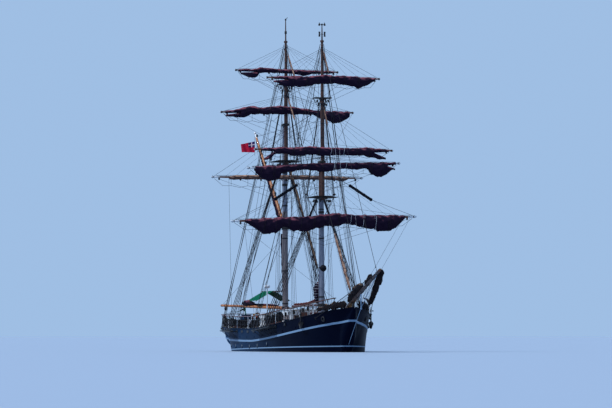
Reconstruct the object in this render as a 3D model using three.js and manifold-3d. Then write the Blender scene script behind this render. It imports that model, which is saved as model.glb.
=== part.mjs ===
// A two-masted brig lying at anchor, square-rigged on both masts, with every sail furled.
// Millimetres. +X runs to the bow, +Y to port and +Z up. The origin is amidships on the waterline.
import * as THREE from "three";
import { mergeVertices } from "three/addons/utils/BufferGeometryUtils.js";
import Module from "manifold-3d";

const wasm = await Module();
wasm.setup();

// Driving dimensions

const SEAT = 0.4; // what is left between two pieces that bear on each other
const DEG = Math.PI / 180;

const STEM_HEAD_X = 16000;
const TAFFRAIL_X = -16500;
const LOW_POINT_X = -1000; // where the sheer is lowest
const LOW_SHEER = 1650;
const BOW_RISE = 1450;
const STERN_RISE = 250;
const BULWARK = 350; // the deck lies this far below the sheer
const BULWARK_THICK = 90;

const MAST_RAKE = 1 * DEG;
const MAST_ROOT_Z = 1500; // the masts rake about this height
const DOUBLING = 440; // the topmast stands this far ahead of the lower mast

const FORE = {
  name: "fore", x: 6600, lowerRadius: 205, headRadius: 170, topZ: 10940, capZ: 13450,
  topmastRadius: 140, crosstreesZ: 17880, headZ: 21950, poleZ: 23150,
};
const MAIN = {
  name: "main", x: -4500, lowerRadius: 215, headRadius: 175, topZ: 13900, capZ: 16600,
  topmastRadius: 140, crosstreesZ: 19450, headZ: 22650, poleZ: 24300,
};

// Each yard swings about the line of its topmast. Columns: name, mast, length, height, middle radius, tip
// radius, offset ahead of the swing line, starboard arm's droop in degrees, and what holds it.
const YARDS = [
  ["fore_course", FORE, 13400, 9330, 145, 60, 380, 1.7, "truss"],
  ["fore_lower_topsail", FORE, 11100, 13080, 125, 50, 400, 2.2, "collar"],
  ["fore_upper_topsail", FORE, 10050, 14180, 115, 48, 390, 0, "collar"],
  ["fore_topgallant", FORE, 8250, 19250, 95, 42, 330, 0, "collar"],
  ["main_lower", MAIN, 11350, 12640, 120, 50, 380, 0, "truss"],
  ["main_topsail", MAIN, 10000, 17400, 115, 48, 390, 0.3, "collar"],
  ["main_topgallant", MAIN, 7750, 20420, 90, 40, 330, -0.5, "collar"],
].map(([name, mast, length, z, r, tip, ahead, droop, hold]) =>
  ({ name, mast, length, z, r, tip, ahead, droop, hold }));

// The outline of each furled sail along its yard. Columns: across (to port), top and bottom, both from the
// yard's centreline.
const FURLED = {
  fore_course: [
    [-5690, 90, -120], [-5180, 120, -430], [-4670, 140, -800], [-4170, 150, -970], [-3440, 170, -880],
    [-2990, 175, -500], [-2140, 180, -820], [-1410, 190, -840], [-620, 250, -680], [0, 320, -520],
    [830, 370, -560], [1630, 290, -390], [2430, 220, -600], [3440, 180, -830], [4460, 160, -1000],
    [4960, 140, -860], [5470, 120, -500], [5830, 90, -130],
  ],
  fore_lower_topsail: [
    [-4960, 80, -340], [-4530, 100, -760], [-4020, 110, -960], [-3300, 120, -860], [-3050, 125, -420],
    [-2280, 140, -370], [-1700, 160, -250], [-900, 185, -300], [-180, 180, -440], [620, 165, -380],
    [1340, 150, -270], [2360, 130, -350], [3050, 120, -310], [3500, 110, -800], [3880, 105, -930],
    [4380, 95, -810], [4900, 85, -480], [5180, 75, -180],
  ],
  fore_upper_topsail: [
    [-4500, 80, -500], [-4250, 95, -720], [-3880, 110, -600], [-3480, 140, -330], [-2970, 170, -280],
    [-2250, 150, -430], [-1670, 200, -440], [-1000, 250, -330], [-140, 180, -420], [870, 165, -370],
    [1900, 130, -370], [2900, 200, -400], [3400, 190, -510], [4060, 110, -610], [4400, 90, -580],
    [4680, 75, -160],
  ],
  fore_topgallant: [
    [-3620, 60, -110], [-3450, 70, -330], [-2970, 80, -560], [-2200, 110, -650], [-1300, 100, -620],
    [-650, 140, -460], [0, 230, -410], [870, 175, -390], [1670, 180, -510], [2280, 150, -590],
    [2540, 120, -720], [2900, 90, -580], [3300, 75, -370], [3700, 60, -170],
  ],
  main_lower: [
    [-4350, 70, -180], [-4000, 100, -190], [-3370, 140, -170], [-1700, 145, -160], [0, 155, -150],
    [1870, 140, -150], [3370, 120, -160], [4040, 90, -250], [4480, 70, -130],
  ],
  main_topsail: [
    [-4620, 70, -330], [-3780, 200, -390], [-3180, 370, -400], [-2730, 440, -170], [-1900, 330, -160],
    [-860, 460, -150], [100, 420, -150], [940, 320, -160], [1830, 200, -170], [2320, 130, -400],
    [3030, 100, -600], [3560, 90, -790], [4080, 80, -660], [4640, 65, -330],
  ],
  main_topgallant: [
    [-3640, 55, -110], [-3150, 70, -520], [-2730, 90, -600], [-2280, 130, -480], [-2060, 210, -210],
    [-1460, 200, -150], [-500, 110, -170], [340, 110, -190], [940, 100, -270], [1390, 95, -320],
    [1900, 85, -170], [2850, 75, -140], [3450, 55, -100],
  ],
};

const BOOM = { z: 3160, length: 11700, rise: 2.2 * DEG, swing: 11 * DEG, radius: 120, tip: 85 };
const GAFF = { z: 8980, length: 9400, rise: 51.5 * DEG, swing: 9 * DEG, radius: 125, tip: 70 };
const FORE_BOOM = { z: 3300, length: 8900, rise: 0.8 * DEG, radius: 95, tip: 65 };
const BOWSPRIT = { heelX: 13100, heelZ: 2790, tipX: 22700, tipZ: 5480, radius: 170, tip: 90 };
const STRIKER = { x: 17800, length: 1000, radius: 45 };
const RAIL = { high: 850, foreHigh: 760, capHalf: 75, capTall: 55, postHalf: 36, step: 1240 };
const CHANNEL = { reach: 600, drop: 200, tall: 60, foot: 540 };
const HELM = { x: -13535, z: 2420, radius: 520, shaft: 35 };

// Colours of the finished surfaces
const COLOURS = {
  hull_paint: [0x0b1426, 0.35, 0.1],
  grey_paint: [0x4c5a73, 0.5, 0.1],
  black_paint: [0x14161c, 0.5, 0.2],
  white_paint: [0xd9dde0, 0.45, 0.0],
  varnish: [0x9a5a2c, 0.4, 0.0],
  dark_wood: [0x4a342b, 0.6, 0.0],
  tan_sail: [0x3a2024, 0.9, 0.0],
  green_canvas: [0x0e7a5c, 0.85, 0.0],
  red_bunting: [0xc4203a, 0.9, 0.0],
  tarred_rope: [0x23242c, 0.9, 0.0],
  bronze: [0x9a7a3c, 0.4, 0.9],
  galvanised: [0x8b8f94, 0.5, 0.8],
};

// Solids

/** A geometry with only its positions, its equal vertices merged. */
function bare(geometry) {
  const plain = geometry.index ? geometry.toNonIndexed() : geometry.clone();
  for (const name of Object.keys(plain.attributes)) {
    if (name !== "position") plain.deleteAttribute(name);
  }
  return mergeVertices(plain, 1e-3);
}

/** The solid inside a closed geometry, ready to be joined or cut. */
function solidOf(geometry) {
  const merged = bare(geometry);
  return new wasm.Manifold(new wasm.Mesh({
    numProp: 3,
    vertProperties: merged.attributes.position.array,
    triVerts: new Uint32Array(merged.index.array),
  }));
}

/** The geometry of a solid. */
function geometryOf(solid) {
  const mesh = solid.simplify(0.01).getMesh();
  const geometry = new THREE.BufferGeometry();
  geometry.setAttribute("position", new THREE.BufferAttribute(new Float32Array(mesh.vertProperties), 3));
  geometry.setIndex(new THREE.BufferAttribute(new Uint32Array(mesh.triVerts), 1));
  return geometry;
}

/** Several overlapping geometries as one. */
function join(...geometries) {
  return geometryOf(geometries.map(solidOf).reduce((all, next) => all.add(next)));
}

/** A geometry less the space of others. */
function cut(geometry, ...tools) {
  return geometryOf(tools.map(solidOf).reduce((left, tool) => left.subtract(tool), solidOf(geometry)));
}

const NUDGES = [[0, 0, 0], [1, 0, 0], [-1, 0, 0], [0, 1, 0], [0, -1, 0], [0, 0, 1], [0, 0, -1]];

/** A geometry cut so that it bears on its neighbours with only the seat's gap between, largest part kept. */
function seated(geometry, ...neighbours) {
  let left = solidOf(geometry);
  for (const neighbour of neighbours) {
    const solid = solidOf(neighbour);
    for (const [x, y, z] of NUDGES) left = left.subtract(solid.translate([x * SEAT, y * SEAT, z * SEAT]));
  }
  const parts = left.decompose().sort((a, b) => b.volume() - a.volume());
  return geometryOf(parts[0]);
}

/** A geometry less the space of others that were made larger by the seat, largest part kept. */
function hollowed(geometry, ...tools) {
  const left = tools.map(solidOf).reduce((rest, tool) => rest.subtract(tool), solidOf(geometry));
  const parts = left.decompose().sort((a, b) => b.volume() - a.volume());
  return geometryOf(parts[0]);
}

/** A closed skin over rings of equally many points, its ends capped. */
function skin(rings) {
  const count = rings[0].length;
  const points = rings.flat();
  const faces = [];
  for (let ring = 0; ring + 1 < rings.length; ring++) {
    for (let i = 0; i < count; i++) {
      const a = ring * count + i;
      const b = ring * count + ((i + 1) % count);
      faces.push([a, b, b + count], [a, b + count, a + count]);
    }
  }
  for (const [ring, turned] of [[0, true], [rings.length - 1, false]]) {
    for (const face of capOf(rings[ring])) {
      const [a, b, c] = face.map((i) => ring * count + i);
      faces.push(turned ? [a, c, b] : [a, b, c]);
    }
  }
  const volume = faces.reduce((sum, [a, b, c]) =>
    sum + points[a].dot(new THREE.Vector3().crossVectors(points[b], points[c])), 0);
  if (volume < 0) faces.forEach((face) => face.reverse());
  const geometry = new THREE.BufferGeometry().setFromPoints(points);
  geometry.setIndex(faces.flat());
  return geometry;
}

/** Triangles over one flat ring, turning the way the ring does. */
function capOf(ring) {
  const normal = new THREE.Vector3();
  ring.forEach((point, i) => {
    const next = ring[(i + 1) % ring.length];
    normal.add(new THREE.Vector3().crossVectors(point.clone().sub(ring[0]), next.clone().sub(ring[0])));
  });
  normal.normalize();
  const along = Math.abs(normal.x) < 0.9 ? new THREE.Vector3(1, 0, 0) : new THREE.Vector3(0, 1, 0);
  const u = new THREE.Vector3().crossVectors(normal, along).normalize();
  const v = new THREE.Vector3().crossVectors(normal, u);
  const flat = ring.map((p) => new THREE.Vector2(p.dot(u), p.dot(v)));
  return THREE.ShapeUtils.triangulateShape(flat, []);
}

/** A straight tapered spar or rod between two points. */
function rod(from, to, radius, farRadius = radius, sides = 6) {
  const direction = to.clone().sub(from);
  const geometry = new THREE.CylinderGeometry(farRadius, radius, direction.length(), sides);
  geometry.translate(0, direction.length() / 2, 0);
  geometry.applyQuaternion(new THREE.Quaternion().setFromUnitVectors(
    new THREE.Vector3(0, 1, 0), direction.normalize()));
  geometry.translate(from.x, from.y, from.z);
  return geometry;
}

/** The space of a bore that a shaft of a radius turns in with the seat's gap all round. */
function socket(from, to, radius, sides = 12) {
  const wide = (radius + SEAT) / Math.cos(Math.PI / sides);
  return rod(from, to, wide, wide, sides);
}

/** A box from its lowest and highest corners. */
function block(low, high) {
  const geometry = new THREE.BoxGeometry(high[0] - low[0], high[1] - low[1], high[2] - low[2]);
  geometry.translate((low[0] + high[0]) / 2, (low[1] + high[1]) / 2, (low[2] + high[2]) / 2);
  return geometry;
}

/** A solid turned about +Z from a profile of [radius, height] pairs. */
function turned(profile, sides = 12) {
  const geometry = new THREE.LatheGeometry(profile.map(([r, z]) => new THREE.Vector2(r, z)), sides);
  return geometry.rotateX(Math.PI / 2);
}

/** A flat ring about +Z, its inner flats standing off a shaft of the inner radius. */
function collar(inner, outer, low, high, sides = 16) {
  const fit = inner / Math.cos(Math.PI / sides);
  const geometry = turned([[fit, low], [outer, low], [outer, high], [fit, high], [fit, low]], sides);
  return geometry.rotateZ(Math.PI / sides);
}

const v3 = (x, y, z) => new THREE.Vector3(x, y, z);

/** A value between table rows, straight from one to the next. */
function between(rows, at, column) {
  const last = rows.length - 1;
  if (at <= rows[0][0]) return rows[0][column];
  if (at >= rows[last][0]) return rows[last][column];
  const i = rows.findIndex((row) => row[0] > at);
  const [a, b] = [rows[i - 1], rows[i]];
  return a[column] + ((b[column] - a[column]) * (at - a[0])) / (b[0] - a[0]);
}

// The ship and her meshes

const ship = new THREE.Group();
ship.name = "brig";
const meshes = {};

/** A named mesh of a painted geometry, added to a group. */
function add(name, geometry, finish, group = ship) {
  const [color, roughness, metalness] = COLOURS[finish];
  const flat = geometry.index ? geometry.toNonIndexed() : geometry;
  flat.computeVertexNormals();
  const mesh = new THREE.Mesh(flat, new THREE.MeshStandardMaterial({ color, roughness, metalness }));
  mesh.name = name;
  mesh.material.name = finish;
  meshes[name] = mesh;
  group.add(mesh);
  return mesh;
}

/** A mesh's geometry in the ship's frame. */
function inShip(name) {
  meshes[name].updateWorldMatrix(true, false);
  return meshes[name].geometry.clone().applyMatrix4(meshes[name].matrixWorld);
}

// Hull

// Columns: station, half-breadth at the sheer, half-breadth at the waterline (or half way up an overhang),
// height of the keel or of the overhang's underside, and how hollow the bottom is.
const STATIONS = [
  [-16500, 1450, 1300, 1250, 0.8],
  [-16100, 1900, 1700, 950, 0.8],
  [-15000, 2420, 2150, 480, 0.9],
  [-14000, 2650, 2250, 60, 1.0],
  [-13000, 2850, 1550, -380, 1.0],
  [-12300, 2960, 2050, -780, 1.1],
  [-12240, 2970, 2070, -2640, 3.4],
  [-10000, 3200, 2800, -2680, 2.4],
  [-7000, 3420, 3200, -2660, 1.7],
  [-3000, 3500, 3350, -2600, 1.25],
  [1000, 3480, 3350, -2520, 1.15],
  [5000, 3260, 3120, -2430, 1.25],
  [8000, 2920, 2700, -2330, 1.5],
  [10000, 2560, 2250, -2220, 1.7],
  [11800, 2160, 1560, -1950, 1.9],
  [13000, 1800, 860, -1350, 1.8],
  [13650, 1570, 330, -560, 1.5],
  [14150, 1380, 560, 230, 1.2],
  [14900, 960, 420, 1350, 1.1],
  [15550, 480, 230, 2330, 1.0],
  [STEM_HEAD_X, 120, 90, 2960, 1.0],
];

/** Height of the sheer line. */
function sheerAt(x) {
  if (x > LOW_POINT_X) {
    return LOW_SHEER + BOW_RISE * ((x - LOW_POINT_X) / (STEM_HEAD_X - LOW_POINT_X)) ** 1.6;
  }
  return LOW_SHEER + STERN_RISE * ((x - LOW_POINT_X) / (TAFFRAIL_X - LOW_POINT_X)) ** 2;
}

/** Height of the deck at the centreline. */
const deckAt = (x) => sheerAt(x) - BULWARK + 60;

/** Half-breadth of the hull at the sheer. */
const beamAt = (x) => between(STATIONS, x, 1);

/** One section of the hull: keel, bilge, topside, bulwark and deck, both sides. */
function hullSection([x, sheerHalf, waterHalf, keelZ, hollow]) {
  const sheer = sheerAt(x);
  const turn = keelZ < -100 ? 0 : keelZ + 0.5 * (sheer - keelZ);
  const keelHalf = Math.min(110, waterHalf * 0.5);
  const side = [];
  for (const share of [0, 0.2, 0.4, 0.58, 0.74, 0.88, 1]) {
    const angle = (share * Math.PI) / 2;
    const y = keelHalf + (waterHalf - keelHalf) * Math.sin(angle) ** hollow;
    side.push([y, keelZ + (turn - keelZ) * (1 - Math.cos(angle) ** 0.8)]);
  }
  for (const share of [0.35, 0.7, 1]) {
    side.push([waterHalf + (sheerHalf - waterHalf) * share ** 1.25, turn + (sheer - turn) * share]);
  }
  const deck = Math.max(sheer - BULWARK, keelZ + 0.55 * (sheer - keelZ));
  const outerAtDeck = between(side.map(([y, z]) => [z, y]), deck, 1);
  const inside = (y) => Math.max(y - BULWARK_THICK, y * 0.4);
  side.push([inside(sheerHalf), sheer], [inside(outerAtDeck) - 10, deck]);
  const port = side.map(([y, z]) => v3(x, y, z));
  const starboard = side.map(([y, z]) => v3(x, -y, z)).reverse();
  return [...port, v3(x, 0, deck + 60 * Math.min(1, sheerHalf / 2000)), ...starboard];
}

const hull = skin(STATIONS.map(hullSection));
add("hull", hull, "hull_paint");

// Stern frame, rudder and propeller

const SHAFT_Z = -1650;
const SHAFT = { radius: 60, depth: 160 };
const BOSS_FACE_X = -12480;
const STOCK = { x: -13330, radius: 75, top: -360 };
const SOLE = { low: -2740, high: -2600, half: 75 };
const PROPELLER_X = -12640;

function sternFrame() {
  const sole = block([-13620, -SOLE.half, SOLE.low], [-12100, SOLE.half, SOLE.high]);
  const boss = rod(v3(BOSS_FACE_X, 0, SHAFT_Z), v3(-12100, 0, SHAFT_Z), 150, 180, 12);
  const heel = block([-12300, -SOLE.half, SOLE.low], [-12200, SOLE.half, SHAFT_Z + 100]);
  const bore = socket(v3(BOSS_FACE_X - 20, 0, SHAFT_Z), v3(BOSS_FACE_X + SHAFT.depth + 20, 0, SHAFT_Z),
    SHAFT.radius);
  return seated(cut(join(sole, boss, heel), bore), hull);
}
add("stern_frame", sternFrame(), "hull_paint");

/** The rudder: a stock standing in the sole, and its blade aft of it. */
function rudder() {
  const stock = rod(v3(0, 0, SOLE.high + SEAT), v3(0, 0, STOCK.top), STOCK.radius, STOCK.radius, 10);
  const shape = new THREE.Shape([
    new THREE.Vector2(0, -2500), new THREE.Vector2(-820, -2500), new THREE.Vector2(-1000, -2300),
    new THREE.Vector2(-960, -1300), new THREE.Vector2(-700, -480), new THREE.Vector2(0, -430),
  ]);
  const blade = new THREE.ExtrudeGeometry(shape, { depth: 90, bevelEnabled: false });
  blade.rotateX(Math.PI / 2).translate(0, 45, 0);
  return join(stock, blade);
}
const rudderPost = new THREE.Group();
rudderPost.position.set(STOCK.x, 0, 0);
ship.add(rudderPost);
const underStern = hull.clone().translate(-STOCK.x, 0, 0);
add("rudder", seated(rudder(), underStern), "hull_paint", rudderPost);

/** A four-bladed propeller on its hub. */
function propeller() {
  const hub = rod(v3(-130, 0, 0), v3(130, 0, 0), 70, 105, 12);
  const reach = BOSS_FACE_X + SHAFT.depth - PROPELLER_X;
  const shaft = rod(v3(0, 0, 0), v3(reach, 0, 0), SHAFT.radius, SHAFT.radius, 12).rotateX(Math.PI / 12);
  const blades = [0, 1, 2, 3].map((i) => {
    const blade = new THREE.CylinderGeometry(220, 220, 36, 12);
    blade.scale(1, 1, 1.35).translate(0, 0, 360).rotateZ(Math.PI / 2).rotateZ(32 * DEG);
    return blade.rotateX((i * Math.PI) / 2);
  });
  return join(hub, shaft, ...blades);
}
const shaft = new THREE.Group();
shaft.position.set(PROPELLER_X, 0, SHAFT_Z);
ship.add(shaft);
add("propeller", propeller(), "bronze", shaft);

// Masts

/** A group that stands at a mast's foot and rakes with it; heights in it are the ship's own. */
function mastGroup(mast) {
  const foot = new THREE.Group();
  foot.position.set(mast.x, 0, MAST_ROOT_Z);
  foot.rotation.y = -MAST_RAKE;
  const frame = new THREE.Group();
  frame.position.z = -MAST_ROOT_Z;
  foot.add(frame);
  ship.add(foot);
  return frame;
}

/** The lower mast with its top, its truss bracket and the cap that holds the topmast. */
function lowerMast(mast) {
  const { lowerRadius: r, headRadius: h, topZ, capZ } = mast;
  const stick = turned([[0, 900], [r, 900], [r, 5000], [h, capZ], [0, capZ]]);
  const top = block([-620, -1050, topZ - 60], [DOUBLING + 560, 1050, topZ]);
  const tree = (y) => block([-560, y - 55, topZ - 190], [DOUBLING + 420, y + 55, topZ - 50]);
  const cap = block([-h, -h, capZ - 150], [DOUBLING, h, capZ]);
  const capRing = turned([[0, capZ - 150], [235, capZ - 150], [235, capZ], [0, capZ]], 16)
    .translate(DOUBLING, 0, 0);
  const truss = YARDS.find((yard) => yard.mast === mast && yard.hold === "truss").z;
  const bracket = block([0, -60, truss - 220], [DOUBLING, 60, truss - 160]);
  const upper = block([0, -60, truss + 160], [DOUBLING, 60, truss + 220]);
  const pin = turned([[0, truss - 220], [45, truss - 220], [45, truss + 220], [0, truss + 220]])
    .translate(DOUBLING, 0, 0);
  const whole = join(stick, top, tree(-r - 60), tree(r + 60), cap, capRing, bracket, upper, pin);
  const topmastWay = turned([
    [0, topZ - 300], [mast.topmastRadius + SEAT, topZ - 300], [mast.topmastRadius + SEAT, capZ + 100],
    [0, capZ + 100],
  ], 16).translate(DOUBLING, 0, 0);
  return cut(whole, topmastWay);
}

/** The topmast with its crosstrees and the signal pole above. */
function topmast(mast) {
  const { topmastRadius: r, topZ, crosstreesZ: c, headZ } = mast;
  const stick = turned([
    [0, topZ - 280], [r, topZ - 280], [r, c - 300], [r * 0.86, c], [r * 0.6, headZ - 150],
    [r * 0.95, headZ - 120], [r * 0.95, headZ], [0, headZ],
  ], 16);
  const spreader = (x) => block([x - 40, -640, c - 45], [x + 40, 640, c + 35]);
  const tree = (y) => block([-330, y - 40, c - 120], [330, y + 40, c - 20]);
  const head = mast === FORE ? forePole(mast) : mainPole(mast);
  return join(stick, spreader(-240), spreader(240), tree(-130), tree(130), ...head).translate(DOUBLING, 0, 0);
}

/** The pieces of the pole above the fore topmast: two lamps and the wind gear. */
function forePole(mast) {
  const { headZ, poleZ } = mast;
  const pole = turned([[0, headZ - 60], [48, headZ - 60], [34, poleZ], [0, poleZ]], 8);
  const arm = (z, half) => block([-22, -half, z - 18], [22, half, z + 18]);
  const lamp = (y) => turned([[0, headZ + 260], [70, headZ + 260], [70, headZ + 620], [0, headZ + 620]], 8)
    .translate(0, y, 0);
  const cup = (y) => turned([[0, poleZ - 170], [75, poleZ - 150], [30, poleZ + 70], [0, poleZ + 70]], 8)
    .translate(0, y, 0);
  const parts = [pole, arm(headZ + 440, 190), arm(poleZ - 60, 190)];
  for (const y of [-190, 190]) parts.push(lamp(y), cup(y));
  return parts;
}

/** The pieces of the plain pole above the main topmast, with its wind vane. */
function mainPole(mast) {
  const { headZ, poleZ } = mast;
  const pole = turned([[0, headZ - 60], [52, headZ - 60], [30, poleZ], [0, poleZ]], 8);
  const vane = rod(v3(0, 0, poleZ - 40), v3(180, 60, poleZ + 60), 14);
  return [pole, vane];
}

const frames = new Map([FORE, MAIN].map((mast) => [mast, mastGroup(mast)]));
ship.updateMatrixWorld(true);

/** A point of a mast's frame in the ship's. */
function onMast(mast, forward, across, z) {
  return frames.get(mast).localToWorld(v3(forward, across, z));
}

// Stays

const LUG = { length: 160, radius: 40 };
const spritLine = (x) => BOWSPRIT.heelZ
  + ((x - BOWSPRIT.heelX) * (BOWSPRIT.tipZ - BOWSPRIT.heelZ)) / (BOWSPRIT.tipX - BOWSPRIT.heelX);
const spritRadius = (x) => BOWSPRIT.radius
  + ((x - BOWSPRIT.heelX) * (BOWSPRIT.tip - BOWSPRIT.radius)) / (BOWSPRIT.tipX - BOWSPRIT.heelX);

const aftOf = (mast, z) => onMast(mast, -mast.headRadius * 0.8, 0, z);
const aheadOf = (mast, z) => onMast(mast, DOUBLING + mast.topmastRadius * 0.5, 0, z);
const onSprit = (x) => v3(x, 0, spritLine(x) + spritRadius(x) * 0.5);
const topEdge = (mast) => onMast(mast, DOUBLING + 480, 0, mast.topZ - 40);

// Columns: name, what its upper end is fast to and where, the same of its lower end, radius,
// radius of the staysail rolled on it and the sail's share of the stay
const stays = [
  ["main_stay", "main_lower_mast", topEdge(MAIN), "fore_lower_mast", aftOf(FORE, 5050), 24, 95, [0.03, 0.9]],
  ["main_topmast_stay", "main_topmast", aheadOf(MAIN, 18950), "fore_lower_mast", aftOf(FORE, 10200), 20, 60,
    [0.06, 0.25]],
  ["main_topgallant_stay", "main_topmast", aheadOf(MAIN, 22100), "fore_lower_mast", aftOf(FORE, 13370), 16, 60,
    [0.05, 0.3]],
  ["fore_stay", "fore_lower_mast", topEdge(FORE), "bowsprit", onSprit(15560), 24, 100, [0.36, 0.9]],
  ["fore_topmast_stay", "fore_topmast", aheadOf(FORE, 17620), "bowsprit", onSprit(18100), 20, 60,
    [0.03, 0.13]],
  ["fore_topgallant_stay", "fore_topmast", aheadOf(FORE, 21500), "bowsprit", onSprit(22100), 16, 60,
    [0.02, 0.12]],
].map(([name, upperNode, upper, lowerNode, lower, radius, roll, share]) => {
  const down = lower.clone().sub(upper).normalize();
  return { name, upperNode, upper, lowerNode, lower, radius, roll, share, down };
});

/** The lugs on a piece that the stays shackle to. */
function lugsOn(node) {
  const lugs = [];
  for (const { upperNode, upper, lowerNode, lower, down } of stays) {
    const far = (from, way) => from.clone().addScaledVector(down, way * LUG.length);
    if (upperNode === node) lugs.push(rod(upper, far(upper, 1), LUG.radius));
    if (lowerNode === node) lugs.push(rod(lower, far(lower, -1), LUG.radius));
  }
  return lugs;
}

/** A stay from lug to lug, with the staysail rolled along it. */
function stay({ upper, lower, down, radius, roll, share }) {
  const [high, low] = [upper.clone().addScaledVector(down, LUG.length + SEAT),
    lower.clone().addScaledVector(down, -LUG.length - SEAT)];
  const line = rod(high, low, radius, radius, 8);
  if (!roll) return line;
  const rows = [0, 0.1, 0.35, 0.7, 0.95, 1].map((t, i) => {
    const point = high.clone().lerp(low, share[0] + (share[1] - share[0]) * t);
    const wide = roll * [0.4, 0.75, 0.85, 1, 0.9, 0.5][i];
    return [point.x, point.y, point.z, wide, wide];
  });
  return join(line, bundle(rows, 8));
}

for (const mast of [FORE, MAIN]) {
  const frame = frames.get(mast);
  const toFrame = frame.matrixWorld.clone().invert();
  const lugs = (node) => lugsOn(node).map((lug) => lug.applyMatrix4(toFrame));
  const lower = join(lowerMast(mast), ...lugs(`${mast.name}_lower_mast`));
  add(`${mast.name}_lower_mast`, seated(lower, hull.clone().applyMatrix4(toFrame)),
    mast === FORE ? "grey_paint" : "dark_wood", frame);
  add(`${mast.name}_topmast`, join(topmast(mast), ...lugs(`${mast.name}_topmast`)), "dark_wood", frame);
}

// Yards and their furled sails

/** Radius of a topmast at a height. */
function topmastRadius(mast, z) {
  const { topmastRadius: r, crosstreesZ: c, headZ } = mast;
  return between([[c - 300, r], [c, r * 0.86], [headZ - 150, r * 0.6]], z, 1);
}

/** A yard's bare spar, its middle at the origin. */
function bareYard(yard, grow = 0) {
  const half = yard.length / 2;
  const quarter = yard.r * 0.86 + grow;
  const shape = [[0, -half], [yard.tip + grow, -half], [quarter, -half * 0.5], [yard.r + grow, 0],
    [quarter, half * 0.5], [yard.tip + grow, half], [0, half]];
  return turned(shape, 10).rotateX(-Math.PI / 2).rotateX(yard.droop * DEG);
}

/** The arm from a yard to its swing line, its height and width made larger by an allowance. */
const yardArm = (yard, from, grow = 0) => block([from, -70 - grow, -55 - grow], [0, 70 + grow, 55 + grow]);

/** A yard with the collar or truss that it swings on. */
function yardSpar(yard) {
  const truss = yard.hold === "truss";
  const shaftRadius = truss ? 45 : topmastRadius(yard.mast, yard.z - 75);
  const outer = shaftRadius + (truss ? 40 : 45);
  const tall = truss ? 300 : 150;
  const ring = collar(shaftRadius + SEAT, outer, -tall / 2, tall / 2).translate(-yard.ahead, 0, 0);
  const arm = yardArm(yard, -yard.ahead + shaftRadius + 12);
  const bore = turned([[0, -400], [shaftRadius + SEAT, -400], [shaftRadius + SEAT, 400], [0, 400]], 16)
    .rotateZ(Math.PI / 16).translate(-yard.ahead, 0, 0);
  return join(bareYard(yard), cut(arm, bore), ring);
}

const SAIL_SIDES = 8;

/** A sail furled along its yard, open where the yard runs through it. */
function furledSail(yard) {
  const rings = FURLED[yard.name].map(([across, top, bottom]) => {
    const drop = across * Math.tan(yard.droop * DEG);
    const tall = (top - bottom) / 2;
    const deep = Math.min(300, 150 + tall * 0.25);
    const middle = drop + (top + bottom) / 2;
    const points = [];
    for (let i = 0; i < SAIL_SIDES; i++) {
      const angle = ((i + 0.5) / SAIL_SIDES) * 2 * Math.PI;
      points.push(v3(deep * 0.55 + deep * Math.cos(angle), across, middle + tall * Math.sin(angle)));
    }
    return points;
  });
  return hollowed(skin(rings), bareYard(yard, SEAT * 1.1), yardArm(yard, -yard.ahead, SEAT));
}

for (const yard of YARDS) {
  const group = new THREE.Group();
  group.position.set(DOUBLING + yard.ahead, 0, yard.z);
  frames.get(yard.mast).add(group);
  add(`${yard.name}_yard`, yardSpar(yard), "varnish", group);
  add(`${yard.name}_sail_furled`, furledSail(yard), "tan_sail", group);
}

// Booms and gaff

/** A group that stands on a lower mast's line and swings about it. */
function mastSwing(mast, z, swing) {
  const group = new THREE.Group();
  group.position.set(0, 0, z);
  group.rotation.z = swing;
  frames.get(mast).add(group);
  return group;
}

/** Radius of a lower mast at a height. */
function lowerMastRadius(mast, z) {
  return between([[5000, mast.lowerRadius], [mast.capZ, mast.headRadius]], z, 1);
}

/** A spar running aft and up from a collar round the lower mast. */
function aftSpar(mast, spar, sides = 10) {
  const shaft = lowerMastRadius(mast, spar.z - 100);
  const ring = collar(shaft + SEAT, shaft + 60, -90, 90);
  const tip = v3(-Math.cos(spar.rise), 0, Math.sin(spar.rise)).multiplyScalar(spar.length);
  const root = tip.clone().multiplyScalar((shaft + 130) / spar.length / Math.cos(spar.rise));
  const jaw = block([-shaft - 330, -70, -80], [-shaft - 25, 70, Math.max(80, root.z + 60)]);
  const bore = turned([[0, -600], [shaft + SEAT, -600], [shaft + SEAT, 900], [0, 900]], 16)
    .scale(1 / Math.cos(Math.PI / 16), 1 / Math.cos(Math.PI / 16), 1).rotateZ(Math.PI / 16);
  const stick = rod(root, tip, spar.radius, spar.tip, sides);
  return join(cut(join(stick, jaw), bore), ring);
}

/** A round-sectioned bundle of cloth along a path. Columns: x, y, z, half-width, half-height. */
function bundle(rows, sides = 10) {
  const middles = rows.map(([x, y, z]) => v3(x, y, z));
  return skin(rows.map(([, , , wide, tall], i) => {
    const along = middles[Math.min(i + 1, rows.length - 1)].clone()
      .sub(middles[Math.max(i - 1, 0)]).normalize();
    const level = Math.abs(along.z) > 0.95 ? v3(0, 1, 0) : v3(0, 0, 1);
    const side = new THREE.Vector3().crossVectors(along, level).normalize();
    const up = new THREE.Vector3().crossVectors(side, along);
    return Array.from({ length: sides }, (_, k) => {
      const angle = ((k + 0.5) / sides) * 2 * Math.PI;
      return middles[i].clone().addScaledVector(side, wide * Math.cos(angle))
        .addScaledVector(up, tall * Math.sin(angle));
    });
  }));
}

const mainBoom = mastSwing(MAIN, BOOM.z, BOOM.swing);
add("main_boom", aftSpar(MAIN, BOOM), "varnish", mainBoom);

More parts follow.
